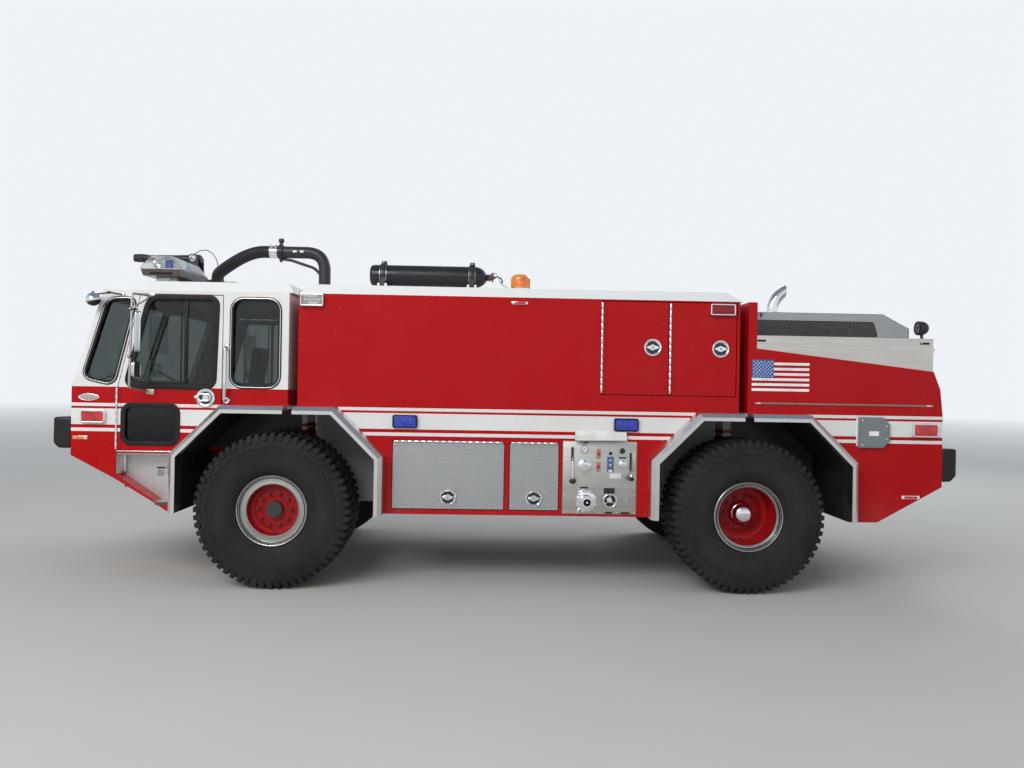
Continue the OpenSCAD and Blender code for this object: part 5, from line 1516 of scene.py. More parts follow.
HOOD_X = (2.200, 3.392, 3.640)
HOOD_Z = (2.307, 2.402, 2.530)
HOOD_Y = 1.25
MESH_CELL = (0.0365, 0.0200)


def cut_away(piece, cutter):
    modified(piece, "BOOLEAN", object=cutter, operation="DIFFERENCE", solver="EXACT")
    bpy.data.objects.remove(cutter)
    return piece


def hood_opening(finish, near, far):
    front, foot = HOOD_X[0] + 0.012, HOOD_Z[0] + 0.008
    corners = [(front, foot), (front, foot + 0.142), (HOOD_X[0] + 1.106, foot + 0.142), (HOOD_X[0] + 1.15, foot)]
    return outline_piece(finish, corners, near, far, 0.024)


def hood_mesh():
    """Expanded metal behind the hood's side opening: twisted strands that cross in diamonds."""
    width, height = MESH_CELL
    columns, rows = 31, 7
    slope = math.atan2(height, width)
    length = math.hypot(width, height)
    strands = []
    for sign in (1, -1):
        strand = block(None, (-length / 2, -0.0009, -0.0017), (length / 2, 0.0009, 0.0017), 0)
        strand.data.transform(Matrix.Rotation(-sign * slope, 4, "Y") @ Matrix.Rotation(sign * 0.5, 4, "X"))
        strands.append(strand)
    mesh = joined(strands)
    mesh.data.transform(Matrix.Translation((HOOD_X[0] + 0.03, -HOOD_Y + 0.0045, HOOD_Z[0] + 0.016)))
    modified(mesh, "ARRAY", count=columns, use_relative_offset=False, use_constant_offset=True,
             constant_offset_displace=(width, 0, 0))
    modified(mesh, "ARRAY", count=rows, use_relative_offset=False, use_constant_offset=True,
             constant_offset_displace=(0, 0, height))
    return coated(mesh, wheel_silver)


def rivet_line(start, step, count, radius=0.0045, towards=(0, -1, 0)):
    """A row of domed rivets."""
    rivet = turned(None, [
        (0, 0), (0, radius), (radius * 0.35, radius * 0.8), (radius * 0.55, 0)
    ], start, towards, 10, 60)
    return repeated(rivet, slid(*[Vector(step) * i for i in range(count)]))


def engine_hood():
    """The tread plate hood with a meshed opening in each side."""
    (front, shoulder, rear), (foot, slope, top) = HOOD_X, HOOD_Z
    shell = outline_piece(bright_tread, [
        (front, foot), (front, top), (shoulder, top), (rear, slope), (rear, foot)
    ], -HOOD_Y, HOOD_Y)
    rounded(shell, 0.01, 3)
    for near, far in ((-HOOD_Y - 0.01, -HOOD_Y + 0.014), (HOOD_Y - 0.014, HOOD_Y + 0.01)):
        cut_away(shell, hood_opening(None, near, far))
    parts = [smooth(shell)]
    # A near-black plate behind the mesh: painted shade where the engine bay lies dark.
    back = hood_opening(painted_shade_black, -HOOD_Y + 0.0105, -HOOD_Y + 0.0142)
    mesh = hood_mesh()
    rivets = coated(joined([
        rivet_line((3.388, -HOOD_Y, foot + 0.018), (0.075, 0, 0), 4),
        rivet_line((rear - 0.016, -HOOD_Y, foot + 0.02), (0, 0, 0.06), 2)
    ]), wheel_silver)
    catch = block(black_knob, (2.255, -HOOD_Y - 0.012, 2.486), (2.281, -HOOD_Y + 0.002, 2.518), 0.003)
    hook = tube(chrome, [
        (2.268, -HOOD_Y - 0.01, 2.518), (2.268, -HOOD_Y - 0.018, 2.5), (2.267, -HOOD_Y - 0.012, 2.474)
    ], 0.004, 0.01, 8)
    for piece in (back, mesh, rivets, catch, hook):
        parts += [piece, mirrored(piece)]
    parts.append(tube(chrome, [
        (rear, -0.08, 2.35), (rear + 0.03, -0.08, 2.35), (rear + 0.03, 0.08, 2.35), (rear, 0.08, 2.35)
    ], 0.006, 0.02, 10))
    dress("engine_hood", joined(parts), "chassis", "tread_plate", "engine_hood")


engine_hood()


def plate_fittings():
    """Slots, bolts and the eye of a bright side plate."""
    y = -SIDE_Y + 0.014
    parts = []
    for x0, x1 in ((2.204, 2.286), (3.694, 3.786)):
        parts += [
            # The slot's floor is near-black: painted shade inside the slot.
            outline_piece(painted_shade_black, soft_rect(x0, 2.252, x1, 2.27), y + 0.001, y - 0.0012, 0.0088),
            outline_ring(plate_steel, soft_rect(x0 - 0.005, 2.247, x1 + 0.005, 2.275), y + 0.001, y - 0.003, 0.005,
                         0.0137, soften=0.001)
        ]
    parts += [
        turned(chrome, [(0, 0), (0, 0.0062), (0.004, 0.0055), (0.005, 0)], (3.712, y, 2.261), sides=14),
        ring(chrome, 0.018, 0.0045, (24, 8), (3.842, y + 0.05, 2.205), math.pi / 2),
        block(plate_steel, (3.818, y + 0.036, 2.192), (3.828, y + 0.064, 2.218), 0.002)
    ]
    return joined(parts)


both_sides("plate_fittings", plate_fittings(), "chassis", "stainless")


def side_moulding():
    """The rubbing strip along the engine's side, with a bright nose at each end."""
    x0, x1, z = 2.1895, 3.8105, 1.695
    y = -SIDE_Y
    parts = [block(bronze_trim, (x0 + 0.05, y - 0.0085, z - 0.0093), (x1 - 0.05, y, z + 0.0093), 0.004, 3)]
    for near, far in ((x0 + 0.05, x0), (x1 - 0.05, x1)):
        nose = block(chrome, (min(near, far), y - 0.0088, z - 0.0094), (max(near, far), y, z + 0.0094), 0.004, 3)
        for vertex in nose.data.vertices:
            share = min(1.0, abs(vertex.co.x - near) / 0.05)
            vertex.co.z = z + (vertex.co.z - z) * (1 - 0.35 * share ** 2)
        parts.append(nose)
    return joined(parts)


both_sides("side_moulding", side_moulding(), "chassis", "stainless")


BOX_X, BOX_Z, BOX_W, BOX_H, BOX_CUT = 3.132, 1.310, 0.281, 0.274, 0.060


def side_box():
    """The grey box behind the rear wheel: cast case, lid with its seam, hinge flange and screws."""
    x0, x1, z0, z1 = BOX_X, BOX_X + BOX_W, BOX_Z, BOX_Z + BOX_H
    case = [(x0, z0), (x1 - BOX_CUT, z0), (x1, z0 + BOX_CUT), (x1, z1 - BOX_CUT), (x1 - BOX_CUT, z1), (x0, z1)]
    y = -SIDE_Y
    parts = [
        rounded(outline_piece(hammered_grey, grown(case, 0.001), y, y - 0.03), 0.005, 3),
        rounded(outline_piece(hammered_grey, grown(case, -0.014), y - 0.028, y - 0.0345, 0.012), 0.0025),
        block(dial_white, (x0 - 0.016, y - 0.006, z0 + 0.012), (x0 + 0.004, y, z1 - 0.012), 0.002)
    ]
    for x, z in ((x0 + 0.026, z0 + 0.026), (x0 + 0.026, z1 - 0.026), (x1 - 0.036, z0 + 0.08),
                 (x1 - 0.036, z1 - 0.08)):
        parts.append(turned(chrome, [(0, 0), (0, 0.008), (0.003, 0.007), (0.0045, 0)], (x, y - 0.0345, z), sides=14))
    parts.append(block(dial_white, (x0 + 0.086, y - 0.0358, z0 + 0.108), (x0 + 0.176, y - 0.034, z0 + 0.15), 0.0008,
                       1))
    return joined(parts)


both_sides("side_box", side_box(), "chassis", "stainless")


FLAG = (2.157, 1.783, 2.680, 2.088)
STAR_R = 0.0086


def flag():
    """Stripes and a starred corner as thin film on the side. The red stripes are the paint."""
    x0, z0, x1, z1 = FLAG
    stripe = (z1 - z0) / 13
    corner_x, corner_z = 2.355, z1 - 7 * stripe
    y = -SIDE_Y
    parts = []
    for i in range(6):
        low = z0 + (2 * i + 1) * stripe
        start = corner_x if low > corner_z - 0.001 else x0
        parts.append(block(flag_white, (start, y - PANE_LIFT, low), (x1, y, low + stripe), 0))
    parts.append(block(flag_blue, (x0, y - PANE_LIFT, corner_z), (corner_x, y, z1), 0))
    points = []
    for k in range(10):
        reach = STAR_R * (1 if k % 2 == 0 else 0.4)
        points.append((reach * math.sin(math.pi * k / 5), reach * math.cos(math.pi * k / 5)))
    star = outline_piece(flag_white, points, y - PANE_LIFT * 0.9, y - PANE_LIFT * 1.8)
    across, up = (corner_x - x0) / 12, (z1 - corner_z) / 10
    places = [(x0 + across * (i + 1), 0, z1 - up * (k + 1)) for k in range(9) for i in range(11) if (i + k) % 2 == 0]
    parts.append(repeated(star, slid(*places)))
    return joined(parts)


both_sides("flag", flag(), "chassis", "white_paint")


def blank_badge():
    """A blank oval plate: bright rim and plain enamel."""
    x, z = -3.739, 1.651
    badge = joined([
        turned(chrome, [
            (0, 0), (0, 0.092), (0.003, 0.091), (0.0046, 0.086), (0.004, 0.08), (0.0026, 0.078), (0.0026, 0)
        ], (0, 0, 0), sides=56),
        turned(badge_enamel, [
            (0.0024, 0), (0.0024, 0.0775), (0.0032, 0.076), (0.0036, 0.05), (0.0038, 0)
        ], (0, 0, 0), sides=56)
    ])
    badge.data.transform(Matrix.Translation((x, -SIDE_Y, z)) @ Matrix.Diagonal((1, 1, 0.34, 1)))
    return badge


both_sides("side_badge", blank_badge(), "chassis", "chrome")


STACK = Vector((2.611, -0.560, 0))
STACK_R, STACK_BEND, STACK_TURN_Z = 0.056, 0.260, 2.590


def exhaust():
    """The chrome stack: pipe, clamp, bend cut off upright, and the collar where it leaves the hood."""
    points = [STACK + Vector((0, 0, 2.3)), STACK + Vector((0, 0, 2.5))]
    for i in range(21):
        a = math.radians(180 - i * 4.2)
        points.append(STACK
                      + Vector((STACK_BEND + STACK_BEND * math.cos(a), 0, STACK_TURN_Z + STACK_BEND * math.sin(a))))
    pipe = swept(chrome, points, STACK_R, 40, capped=False)
    edit(pipe)
    bpy.ops.mesh.bisect(plane_co=(STACK.x + 0.128, 0, 0), plane_no=(1, 0, 0), clear_outer=True)
    bpy.ops.object.mode_set(mode="OBJECT")
    pipe = smooth(modified(pipe, "SOLIDIFY", thickness=0.003, offset=-1), 50)
    seat = STACK + Vector((0, 0, HOOD_Z[2]))
    dress("exhaust_stack", joined([
        pipe,
        turned(cast_grey, [
            (-0.01, 0.057), (-0.01, 0.085), (0.003, 0.085), (0.005, 0.066), (0.018, 0.06), (0.018, 0.057),
            (-0.01, 0.057)
        ], seat, (0, 0, 1)),
        turned(wheel_silver, [
            (0.036, 0.0565), (0.036, 0.0605), (0.038, 0.0612), (0.066, 0.0612), (0.068, 0.0605), (0.068, 0.0565),
            (0.036, 0.0565)
        ], seat, (0, 0, 1)),
        rod(chrome, seat + Vector((0.062, -0.03, 0.052)), seat + Vector((0.062, 0.03, 0.052)), 0.0055, 10, 0.001)
    ]), "chassis", "chrome", "exhaust_stack")


exhaust()


# Roof gear

def feed_pipe():
    """The pipe that feeds the hose: flange, riser, bend and level run with its clamp, coupling and brace."""
    x, y = TANK_X0 + 0.072, PIPE_Y
    corners = [(x, y, ROOF_Z + 0.004), (x, y, PIPE_Z), (CLAMP_X - 0.036, y, PIPE_Z)]
    parts = [
        swept(roof_gear_black, rounded_route(corners, 0.18, 20), PIPE_R, 40),
        turned(roof_gear_black, [
            (0, 0), (0, 0.091), (0.013, 0.091), (0.015, 0.088), (0.015, 0.07), (0.024, 0.064), (0.03, 0.058),
            (0.03, 0.0)
        ], (x, y, ROOF_Z), (0, 0, 1), 48),
        repeated(joined([
            rod(wheel_silver, (x + 0.078, y, ROOF_Z + 0.014), (x + 0.078, y, ROOF_Z + 0.026), 0.0085, 6, 0.001),
            rod(wheel_silver, (x + 0.078, y, ROOF_Z + 0.02), (x + 0.078, y, ROOF_Z + 0.034), 0.0048, 10, 0.0008)
        ]), around("Z", (x, y, 0), 8, 0.2)),
        turned(chrome, [
            (-0.037, 0.0575), (-0.037, 0.0615), (-0.031, 0.063), (-0.024, 0.063), (-0.022, 0.0608), (0.022, 0.0608),
            (0.024, 0.063), (0.031, 0.063), (0.037, 0.0615), (0.037, 0.0575), (-0.037, 0.0575)
        ], (CLAMP_X, y, PIPE_Z), (1, 0, 0), 56)
    ]
    for at in (-0.0275, 0.0275):
        parts.append(rod(chrome, (CLAMP_X + at, y - 0.052, PIPE_Z + 0.046), (CLAMP_X + at, y - 0.03, PIPE_Z + 0.064),
                         0.006, 10, 0.001))
    grip = CLAMP_X + 0.067
    parts += [
        turned(roof_gear_black, [
            (-0.018, 0.056), (-0.018, 0.07), (-0.015, 0.0745), (-0.006, 0.075), (-0.005, 0.071), (0.005, 0.071),
            (0.006, 0.075), (0.015, 0.0745), (0.018, 0.07), (0.03, 0.062), (0.034, 0.056), (-0.018, 0.056)
        ], (grip, y, PIPE_Z), (1, 0, 0), 48),
        repeated(block(roof_gear_black, (grip - 0.016, y - 0.01, PIPE_Z + 0.068),
                       (grip + 0.016, y + 0.01, PIPE_Z + 0.086), 0.004),
                 around("X", (0, y, PIPE_Z), 6))
    ]
    top = PIPE_Z + PIPE_R + 0.055
    parts += [
        turned(black_knob, [
            (-0.05, 0.0), (-0.05, 0.016), (-0.022, 0.015), (-0.018, 0.024), (-0.01, 0.0275), (0.01, 0.0275),
            (0.019, 0.022), (0.022, 0.01), (0.022, 0)
        ], (grip, y, top), (0, 0, 1), 24),
        rod(roof_gear_black, (grip, y, PIPE_Z - 0.098), (grip, y, PIPE_Z - 0.06), 0.012, 14, 0.003),
        tube(roof_gear_black, [
            (grip + 0.004, y, PIPE_Z - 0.066), (grip + 0.1, y, PIPE_Z - 0.078), (x - 0.1, y, PIPE_Z - 0.15),
            (x - 0.03, y, PIPE_Z - 0.225)
        ], 0.014, 0.09, 12)
    ]
    for near, far in ((-0.3, -0.262), (-0.232, -0.196)):
        parts.append(block(dial_white, (x + near, y - PIPE_R - 0.0012, PIPE_Z - 0.008),
                           (x + far, y - PIPE_R + 0.004, PIPE_Z + 0.012), 0.0015))
    return parts


def turret_foot():
    """Flange with bolts, column, swivel ring and the inlet that takes the hose."""
    base = Vector((TURRET_X, 0, ROOF_Z))
    parts = [
        turned(roof_gear_black, [
            (0, 0), (0, 0.15), (0.014, 0.15), (0.018, 0.146), (0.02, 0.12), (0.028, 0.1), (0.06, 0.086),
            (0.15, 0.085), (0.156, 0.094), (0.176, 0.095), (0.182, 0.088), (0.1895, 0.088), (0.1895, 0)
        ], base, (0, 0, 1), 56),
        repeated(rod(wheel_silver, base + Vector((0.132, 0, 0.016)), base + Vector((0.132, 0, 0.03)), 0.01, 6, 0.001),
                 around("Z", (TURRET_X, 0, 0), 8, 0.3))
    ]
    mouth = Vector((TURRET_X, 0, HOSE_END.z))
    length = (HOSE_END - mouth).length
    parts += [
        turned(roof_gear_black, [
            (0.05, 0), (0.05, 0.05), (length - 0.07, 0.045), (length - 0.066, 0.056), (length - 0.058, 0.0585),
            (length - 0.042, 0.0585), (length - 0.034, 0.056), (length - 0.032, 0.052), (length - 0.001, 0.052),
            (length - 0.001, 0)
        ], mouth, INLET_WAY, 40),
        turned(chrome, [
            (length - 0.028, 0.0515), (length - 0.028, 0.0545), (length - 0.01, 0.0545), (length - 0.01, 0.0515),
            (length - 0.028, 0.0515)
        ], mouth, INLET_WAY, 40),
        block(roof_gear_black, (TURRET_X + 0.06, 0.075, ROOF_Z + 0.035), (TURRET_X + 0.15, 0.165, ROOF_Z + 0.16),
              0.01, 3),
        turned(cast_grey, [
            (0, 0), (0, 0.034), (0.004, 0.038), (0.09, 0.038), (0.096, 0.03), (0.096, 0)
        ], (TURRET_X + 0.105, 0.15, ROOF_Z + 0.095), (0, 1, 0), 28)
    ]
    for y in (-0.02, 0.01):
        parts.append(tube(trim_rubber, [
            (TURRET_X + 0.1, y + 0.05, ROOF_Z + 0.12), (TURRET_X + 0.2, y, ROOF_Z + 0.075),
            (TURRET_X + 0.31, y - 0.03, ROOF_Z + 0.03), (TURRET_X + 0.32, y - 0.03, ROOF_Z - 0.002)
        ], 0.008, 0.05, 8))
    parts.append(turned(cast_grey, [
        (0, 0), (0, 0.042), (0.006, 0.042), (0.01, 0.034), (0.01, 0)
    ], (TURRET_X + 0.32, -0.035, ROOF_Z), (0, 0, 1), 24))
    return parts


dress("roof_pipework", joined(feed_pipe()), "chassis", "black_paint", "supply_pipe")
dress("turret_foot", joined(turret_foot()), "chassis", "black_paint", "turret_base")

YAW_Z = ROOF_Z + 0.190
BARREL_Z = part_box("turret_barrel")[0].z + 0.050


def turret_yoke():
    """The fork on its turntable, with bearing caps and the tilt cylinder's lug."""
    x = TURRET_X
    table = turned(roof_gear_black, [
        (0, 0), (0, 0.098), (0.006, 0.1), (0.018, 0.1), (0.022, 0.092), (0.044, 0.09), (0.05, 0.084), (0.05, 0)
    ], (x, 0, YAW_Z), (0, 0, 1), 48)
    teeth = repeated(block(cast_grey, (0.0965, -0.004, 0.007), (0.0998, 0.004, 0.017), 0.001, 1),
                     around("Z", (0, 0, 0), 40))
    teeth.data.transform(Matrix.Translation((x, 0, YAW_Z)))
    parts = [table, teeth]
    for sign in (-1, 1):
        parts += [
            rounded(outline_piece(roof_gear_black, [
                (x - 0.055, YAW_Z + 0.048), (x + 0.055, YAW_Z + 0.048), (x + 0.048, BARREL_Z + 0.02),
                (x + 0.022, BARREL_Z + 0.044), (x - 0.022, BARREL_Z + 0.044), (x - 0.048, BARREL_Z + 0.02)
            ], sign * 0.076, sign * 0.094, 0.006), 0.003),
            turned(cast_grey, [
                (0, 0.0225), (0, 0.036), (0.004, 0.036), (0.0055, 0.034), (0.0055, 0.0225), (0, 0.0225)
            ], (x, sign * 0.0935, BARREL_Z), (0, sign, 0), 32)
        ]
    parts.append(block(roof_gear_black, (x - 0.054, -0.094, YAW_Z + 0.047), (x + 0.054, 0.094, YAW_Z + 0.064), 0.004))
    dress("turret_yoke", joined(parts), "turret_yoke", "black_paint", "turret_yoke")


def turret_barrel():
    """The foam barrel: elbow ball, trunnions, ribbed waist and flared nozzle."""
    pivot = Vector((TURRET_X, 0, BARREL_Z))
    length = pivot.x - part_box("turret_barrel")[0].x
    barrel = turned(roof_gear_black, [
        (-0.06, 0), (-0.06, 0.034), (-0.054, 0.04), (-0.02, 0.0455), (0.0, 0.048), (0.03, 0.048), (0.036, 0.044),
        (0.06, 0.043), (0.064, 0.0465), (0.074, 0.0465), (0.078, 0.042), (0.16, 0.0415), (0.166, 0.0395),
        (0.3, 0.037), (length - 0.15, 0.034), (length - 0.14, 0.034), (length - 0.134, 0.0375),
        (length - 0.112, 0.0415), (length - 0.108, 0.039), (length - 0.1, 0.039), (length - 0.096, 0.0415),
        (length - 0.03, 0.0415), (length - 0.024, 0.04), (length - 0.006, 0.0417), (length - 0.001, 0.0405),
        (length, 0.0375), (length - 0.004, 0.031), (length - 0.08, 0.023), (length - 0.08, 0)
    ], pivot, (-1, 0, 0), 56)
    parts = [
        barrel,
        ball(roof_gear_black, pivot, 0.0495, segments=32),
        rod(wheel_silver, pivot - Vector((0, 0.1045, 0)), pivot + Vector((0, 0.1045, 0)), 0.0195, 28, 0.003),
        rod(roof_gear_black, pivot - Vector((0, 0.067, 0)), pivot + Vector((0, 0.067, 0)), 0.0355, 32, 0.004),
        repeated(rod(black_knob, pivot + Vector((-length + 0.09, 0, 0.0405)),
                     pivot + Vector((-length + 0.034, 0, 0.0405)), 0.0035, 8, 0.001),
                 around("X", pivot, 18)),
        repeated(block(wheel_silver, pivot + Vector((-length + 0.01, -0.028, -0.001)),
                       pivot + Vector((-length + 0.078, 0.028, 0.001)), 0.0004, 1),
                 around("X", pivot, 2)),
        tube(cast_grey, [
            pivot + Vector((-0.05, 0, 0.046)),
            pivot + Vector((-0.02, 0, 0.05)),
            pivot + Vector((0.045, 0, 0.046))
        ], 0.005, 0.02, 8)
    ]
    dress("turret_barrel", joined(parts), "turret_barrel", "black_paint", "turret_barrel")


turret_yoke()
turret_barrel()

CYLINDER_X0, CYLINDER_X1 = -1.352, -0.170
CYLINDER_Y, CYLINDER_Z, CYLINDER_R = -0.880, 2.840, 0.100


def cylinder_cradle(x):
    """Saddle, strap with its clamp ears and bolt, and the white feet in front and behind."""
    half = 0.03
    centre = (x, CYLINDER_Y, CYLINDER_Z)
    parts = [
        rounded(outline_piece(roof_gear_black, [
            (CYLINDER_Y - 0.112, ROOF_Z + 0.012), (CYLINDER_Y + 0.112, ROOF_Z + 0.012),
            (CYLINDER_Y + 0.104, CYLINDER_Z - 0.02), (CYLINDER_Y + 0.06, CYLINDER_Z - 0.068),
            (CYLINDER_Y - 0.06, CYLINDER_Z - 0.068), (CYLINDER_Y - 0.104, CYLINDER_Z - 0.02)
        ], x - half * 0.8, x + half * 0.8, 0.004, plane="YZ"), 0.003),
        turned(roof_gear_black, [
            (-half, 0.0992), (-half, 0.1075), (-half + 0.004, 0.1095), (half - 0.004, 0.1095), (half, 0.1075),
            (half, 0.0992), (-half, 0.0992)
        ], centre, (1, 0, 0), 64)
    ]
    for side in (-1, 1):
        parts.append(turned(wheel_silver, [
            (side * half - 0.0022, 0.104), (side * half - 0.0022, 0.1104), (side * half + 0.0022, 0.1104),
            (side * half + 0.0022, 0.104), (side * half - 0.0022, 0.104)
        ], centre, (1, 0, 0), 64))
    for side in (-1, 1):
        parts.append(block(roof_gear_black, (x - 0.024, CYLINDER_Y + side * 0.011 - 0.005, CYLINDER_Z + 0.1),
                           (x + 0.024, CYLINDER_Y + side * 0.011 + 0.005, CYLINDER_Z + 0.138), 0.003))
    parts.append(rod(cast_grey, (x, CYLINDER_Y - 0.034, CYLINDER_Z + 0.122),
                     (x, CYLINDER_Y + 0.034, CYLINDER_Z + 0.122), 0.008, 10, 0.001))
    for shift in (-0.034, 0.034):
        for out in (-0.128, 0.128):
            parts.append(block(hood_white, (x + shift - 0.011, CYLINDER_Y + out - 0.014, ROOF_Z),
                               (x + shift + 0.011, CYLINDER_Y + out + 0.014, ROOF_Z + 0.052), 0.003))
        parts.append(block(hood_white, (x + shift - 0.01, CYLINDER_Y - 0.13, ROOF_Z),
                           (x + shift + 0.01, CYLINDER_Y + 0.13, ROOF_Z + 0.014), 0.002))
    return parts


def gas_cylinder():
    """The long gas bottle on the roof with its straps, valve and pull wire."""
    length = CYLINDER_X1 - CYLINDER_X0
    dome = [(length - 0.2 + 0.122 * math.sin(math.radians(a)), CYLINDER_R * math.cos(math.radians(a)) ** 0.92)
            for a in (8, 18, 28, 38, 48, 58, 66, 72)]
    parts = [
        turned(bottle_black,
               [
                   (0.01, 0), (0.007, 0.05), (0.0, 0.064), (0.001, 0.078), (0.008, 0.09), (0.02, 0.0975),
                   (0.034, 0.1), (0.09, 0.1), (length - 0.2, 0.1)
               ] + dome + [(length - 0.072, 0.03), (length - 0.06, 0.0275), (length - 0.06, 0)],
               (CYLINDER_X0, CYLINDER_Y, CYLINDER_Z), (1, 0, 0), 72, 40),
        *cylinder_cradle(CYLINDER_X0 + 0.126),
        *cylinder_cradle(CYLINDER_X0 + 0.962)
    ]
    neck = Vector((CYLINDER_X1 - 0.064, CYLINDER_Y, CYLINDER_Z))
    parts += [
        turned(rusty_iron, [
            (0, 0), (0, 0.031), (0.004, 0.033), (0.016, 0.033), (0.02, 0.029), (0.024, 0.022), (0.044, 0.02),
            (0.048, 0.016), (0.058, 0.015), (0.06, 0.01), (0.064, 0)
        ], neck, (1, 0, 0), 28),
        rod(rusty_iron, neck + Vector((0.036, 0, 0)), neck + Vector((0.036, 0, 0.046)), 0.012, 14, 0.002),
        rod(rusty_iron, neck + Vector((0.036, 0, -0.04)), neck + Vector((0.036, 0, 0.01)), 0.009, 12, 0.002),
        tube(roof_gear_black, [
            neck + Vector((0.058, 0, 0.0)),
            neck + Vector((0.085, -0.01, 0.012)),
            neck + Vector((0.12, -0.015, -0.008)),
            neck + Vector((0.135, -0.015, -0.045)),
            neck + Vector((0.112, -0.012, -0.052))
        ], 0.0065, 0.016, 8),
        tube(cast_grey, [
            neck + Vector((0.036, 0, 0.044)),
            neck + Vector((0.07, -0.03, 0.04)),
            neck + Vector((0.12, -0.045, -0.06)),
            neck + Vector((0.19, -0.03, -0.105)),
            (BEACON_AT.x - 0.095, BEACON_AT.y, ROOF_Z + 0.026)
        ], 0.0035, 0.03, 8),
        block(hood_white, (CYLINDER_X0 + 1.078, CYLINDER_Y - 0.146, ROOF_Z),
              (CYLINDER_X0 + 1.1, CYLINDER_Y - 0.112, ROOF_Z + 0.046), 0.003)
    ]
    dress("gas_cylinder", joined(parts), "chassis", "black_paint", "gas_cylinder")


gas_cylinder()

POD_X0, POD_X1 = -3.376, -3.006
POD_Y0, POD_Y1 = -1.200, -0.560
POD_LOW, POD_WAIST, POD_TOP = ROOF_Z + 0.052, ROOF_Z + 0.118, ROOF_Z + 0.236


def light_pod():
    """A pod of the roof light bar: smoked foot, clear lens, blue flash head and mirror."""
    mid = (POD_X0 + POD_X1) / 2
    upper = [
        (POD_X0, POD_WAIST), (POD_X1, POD_WAIST), (POD_X1 - 0.008, POD_WAIST + 0.02), (POD_X1 - 0.092, POD_TOP),
        (POD_X0 + 0.092, POD_TOP), (POD_X0 + 0.008, POD_WAIST + 0.02)
    ]
    shell = rounded(outline_piece(clear_lens, upper, POD_Y0, POD_Y1, 0.008, 3), 0.016, 3)
    shell = smooth(modified(shell, "SOLIDIFY", thickness=0.0035, offset=-1), 40)
    lower = [
        (POD_X0 + 0.001, POD_WAIST - 0.001), (POD_X1 - 0.001, POD_WAIST - 0.001), (POD_X1 - 0.024, POD_LOW),
        (POD_X0 + 0.024, POD_LOW)
    ]
    parts = [
        shell,
        rounded(outline_piece(smoked_lens, lower, POD_Y0 + 0.002, POD_Y1 - 0.002, 0.01, 3), 0.01, 3),
        rounded(outline_piece(pod_edge, [
            (POD_X0 - 0.003, POD_WAIST - 0.005), (POD_X1 + 0.003, POD_WAIST - 0.005),
            (POD_X1 + 0.003, POD_WAIST + 0.002), (POD_X0 - 0.003, POD_WAIST + 0.002)
        ], POD_Y0 - 0.003, POD_Y1 + 0.003), 0.002),
        # A near-black strip on the foot: painted shade in its slot.
        block(painted_shade_black, (mid - 0.1, POD_Y0 - 0.001, POD_LOW + 0.012), (mid + 0.105, POD_Y0 + 0.02, POD_LOW + 0.034),
              0.004),
        block(dial_white, (POD_X0 + 0.02, POD_Y0 + 0.018, POD_WAIST),
              (POD_X1 - 0.02, POD_Y1 - 0.018, POD_WAIST + 0.006), 0.002)
    ]
    for i, y in enumerate((POD_Y0 + 0.1, POD_Y0 + 0.32, POD_Y0 + 0.54)):
        parts += [
            turned(blue_lens if i != 1 else white_lens, [
                (0, 0), (0, 0.03), (0.004, 0.034), (0.078, 0.034), (0.086, 0.028), (0.088, 0)
            ], (mid + 0.035, y, POD_WAIST + 0.005), (0, 0, 1), 28),
            turned(chrome, [
                (0.0, 0.006), (0.006, 0.024), (0.018, 0.036), (0.034, 0.043), (0.036, 0.043), (0.02, 0.038),
                (0.006, 0.028), (-0.002, 0.008), (0.0, 0.006)
            ], (mid - 0.055, y, POD_WAIST + 0.052), (-0.25, -1 if i != 2 else 1, 0), 32, 60),
            block(dial_white, (mid - 0.098, y + 0.03, POD_WAIST + 0.004), (mid - 0.012, y + 0.038, POD_WAIST + 0.092),
                  0.003)
        ]
    for y in (POD_Y0 + 0.085, POD_Y1 - 0.085):
        parts += [
            block(cast_grey, (mid - 0.06, y - 0.034, ROOF_Z + 0.004), (mid + 0.06, y + 0.034, POD_LOW + 0.004),
                  0.006),
            block(chrome, (mid - 0.085, y - 0.04, ROOF_Z), (mid + 0.085, y + 0.04, ROOF_Z + 0.006), 0.002),
            repeated(turned(chrome, [(0, 0), (0, 0.008), (0.004, 0.007), (0.006, 0)],
                            (mid - 0.073, y, ROOF_Z + 0.006), (0, 0, 1), 12),
                     slid((0, 0, 0), (0.146, 0, 0)))
        ]
    return joined(parts)


both_sides("light_pod", light_pod(), "chassis", "clear_lens", "light_bars")


def white_aerial():
    """A short white aerial on its spring foot, behind the left light pod."""
    foot = Vector((-3.535, -0.49, ROOF_Z - 0.04))
    parts = [
        turned(trim_rubber, [
            (0, 0), (0, 0.03), (0.006, 0.03), (0.016, 0.018), (0.024, 0.012), (0.06, 0.0105), (0.062, 0)
        ], foot, (0, 0, 1), 24),
        turned(hood_white, [
            (0.058, 0), (0.058, 0.0075), (0.32, 0.0062), (0.4, 0.0045), (0.404, 0)
        ], foot, (0, 0, 1), 14)
    ]
    dress("white_aerial", joined(parts), "chassis", "white_paint")


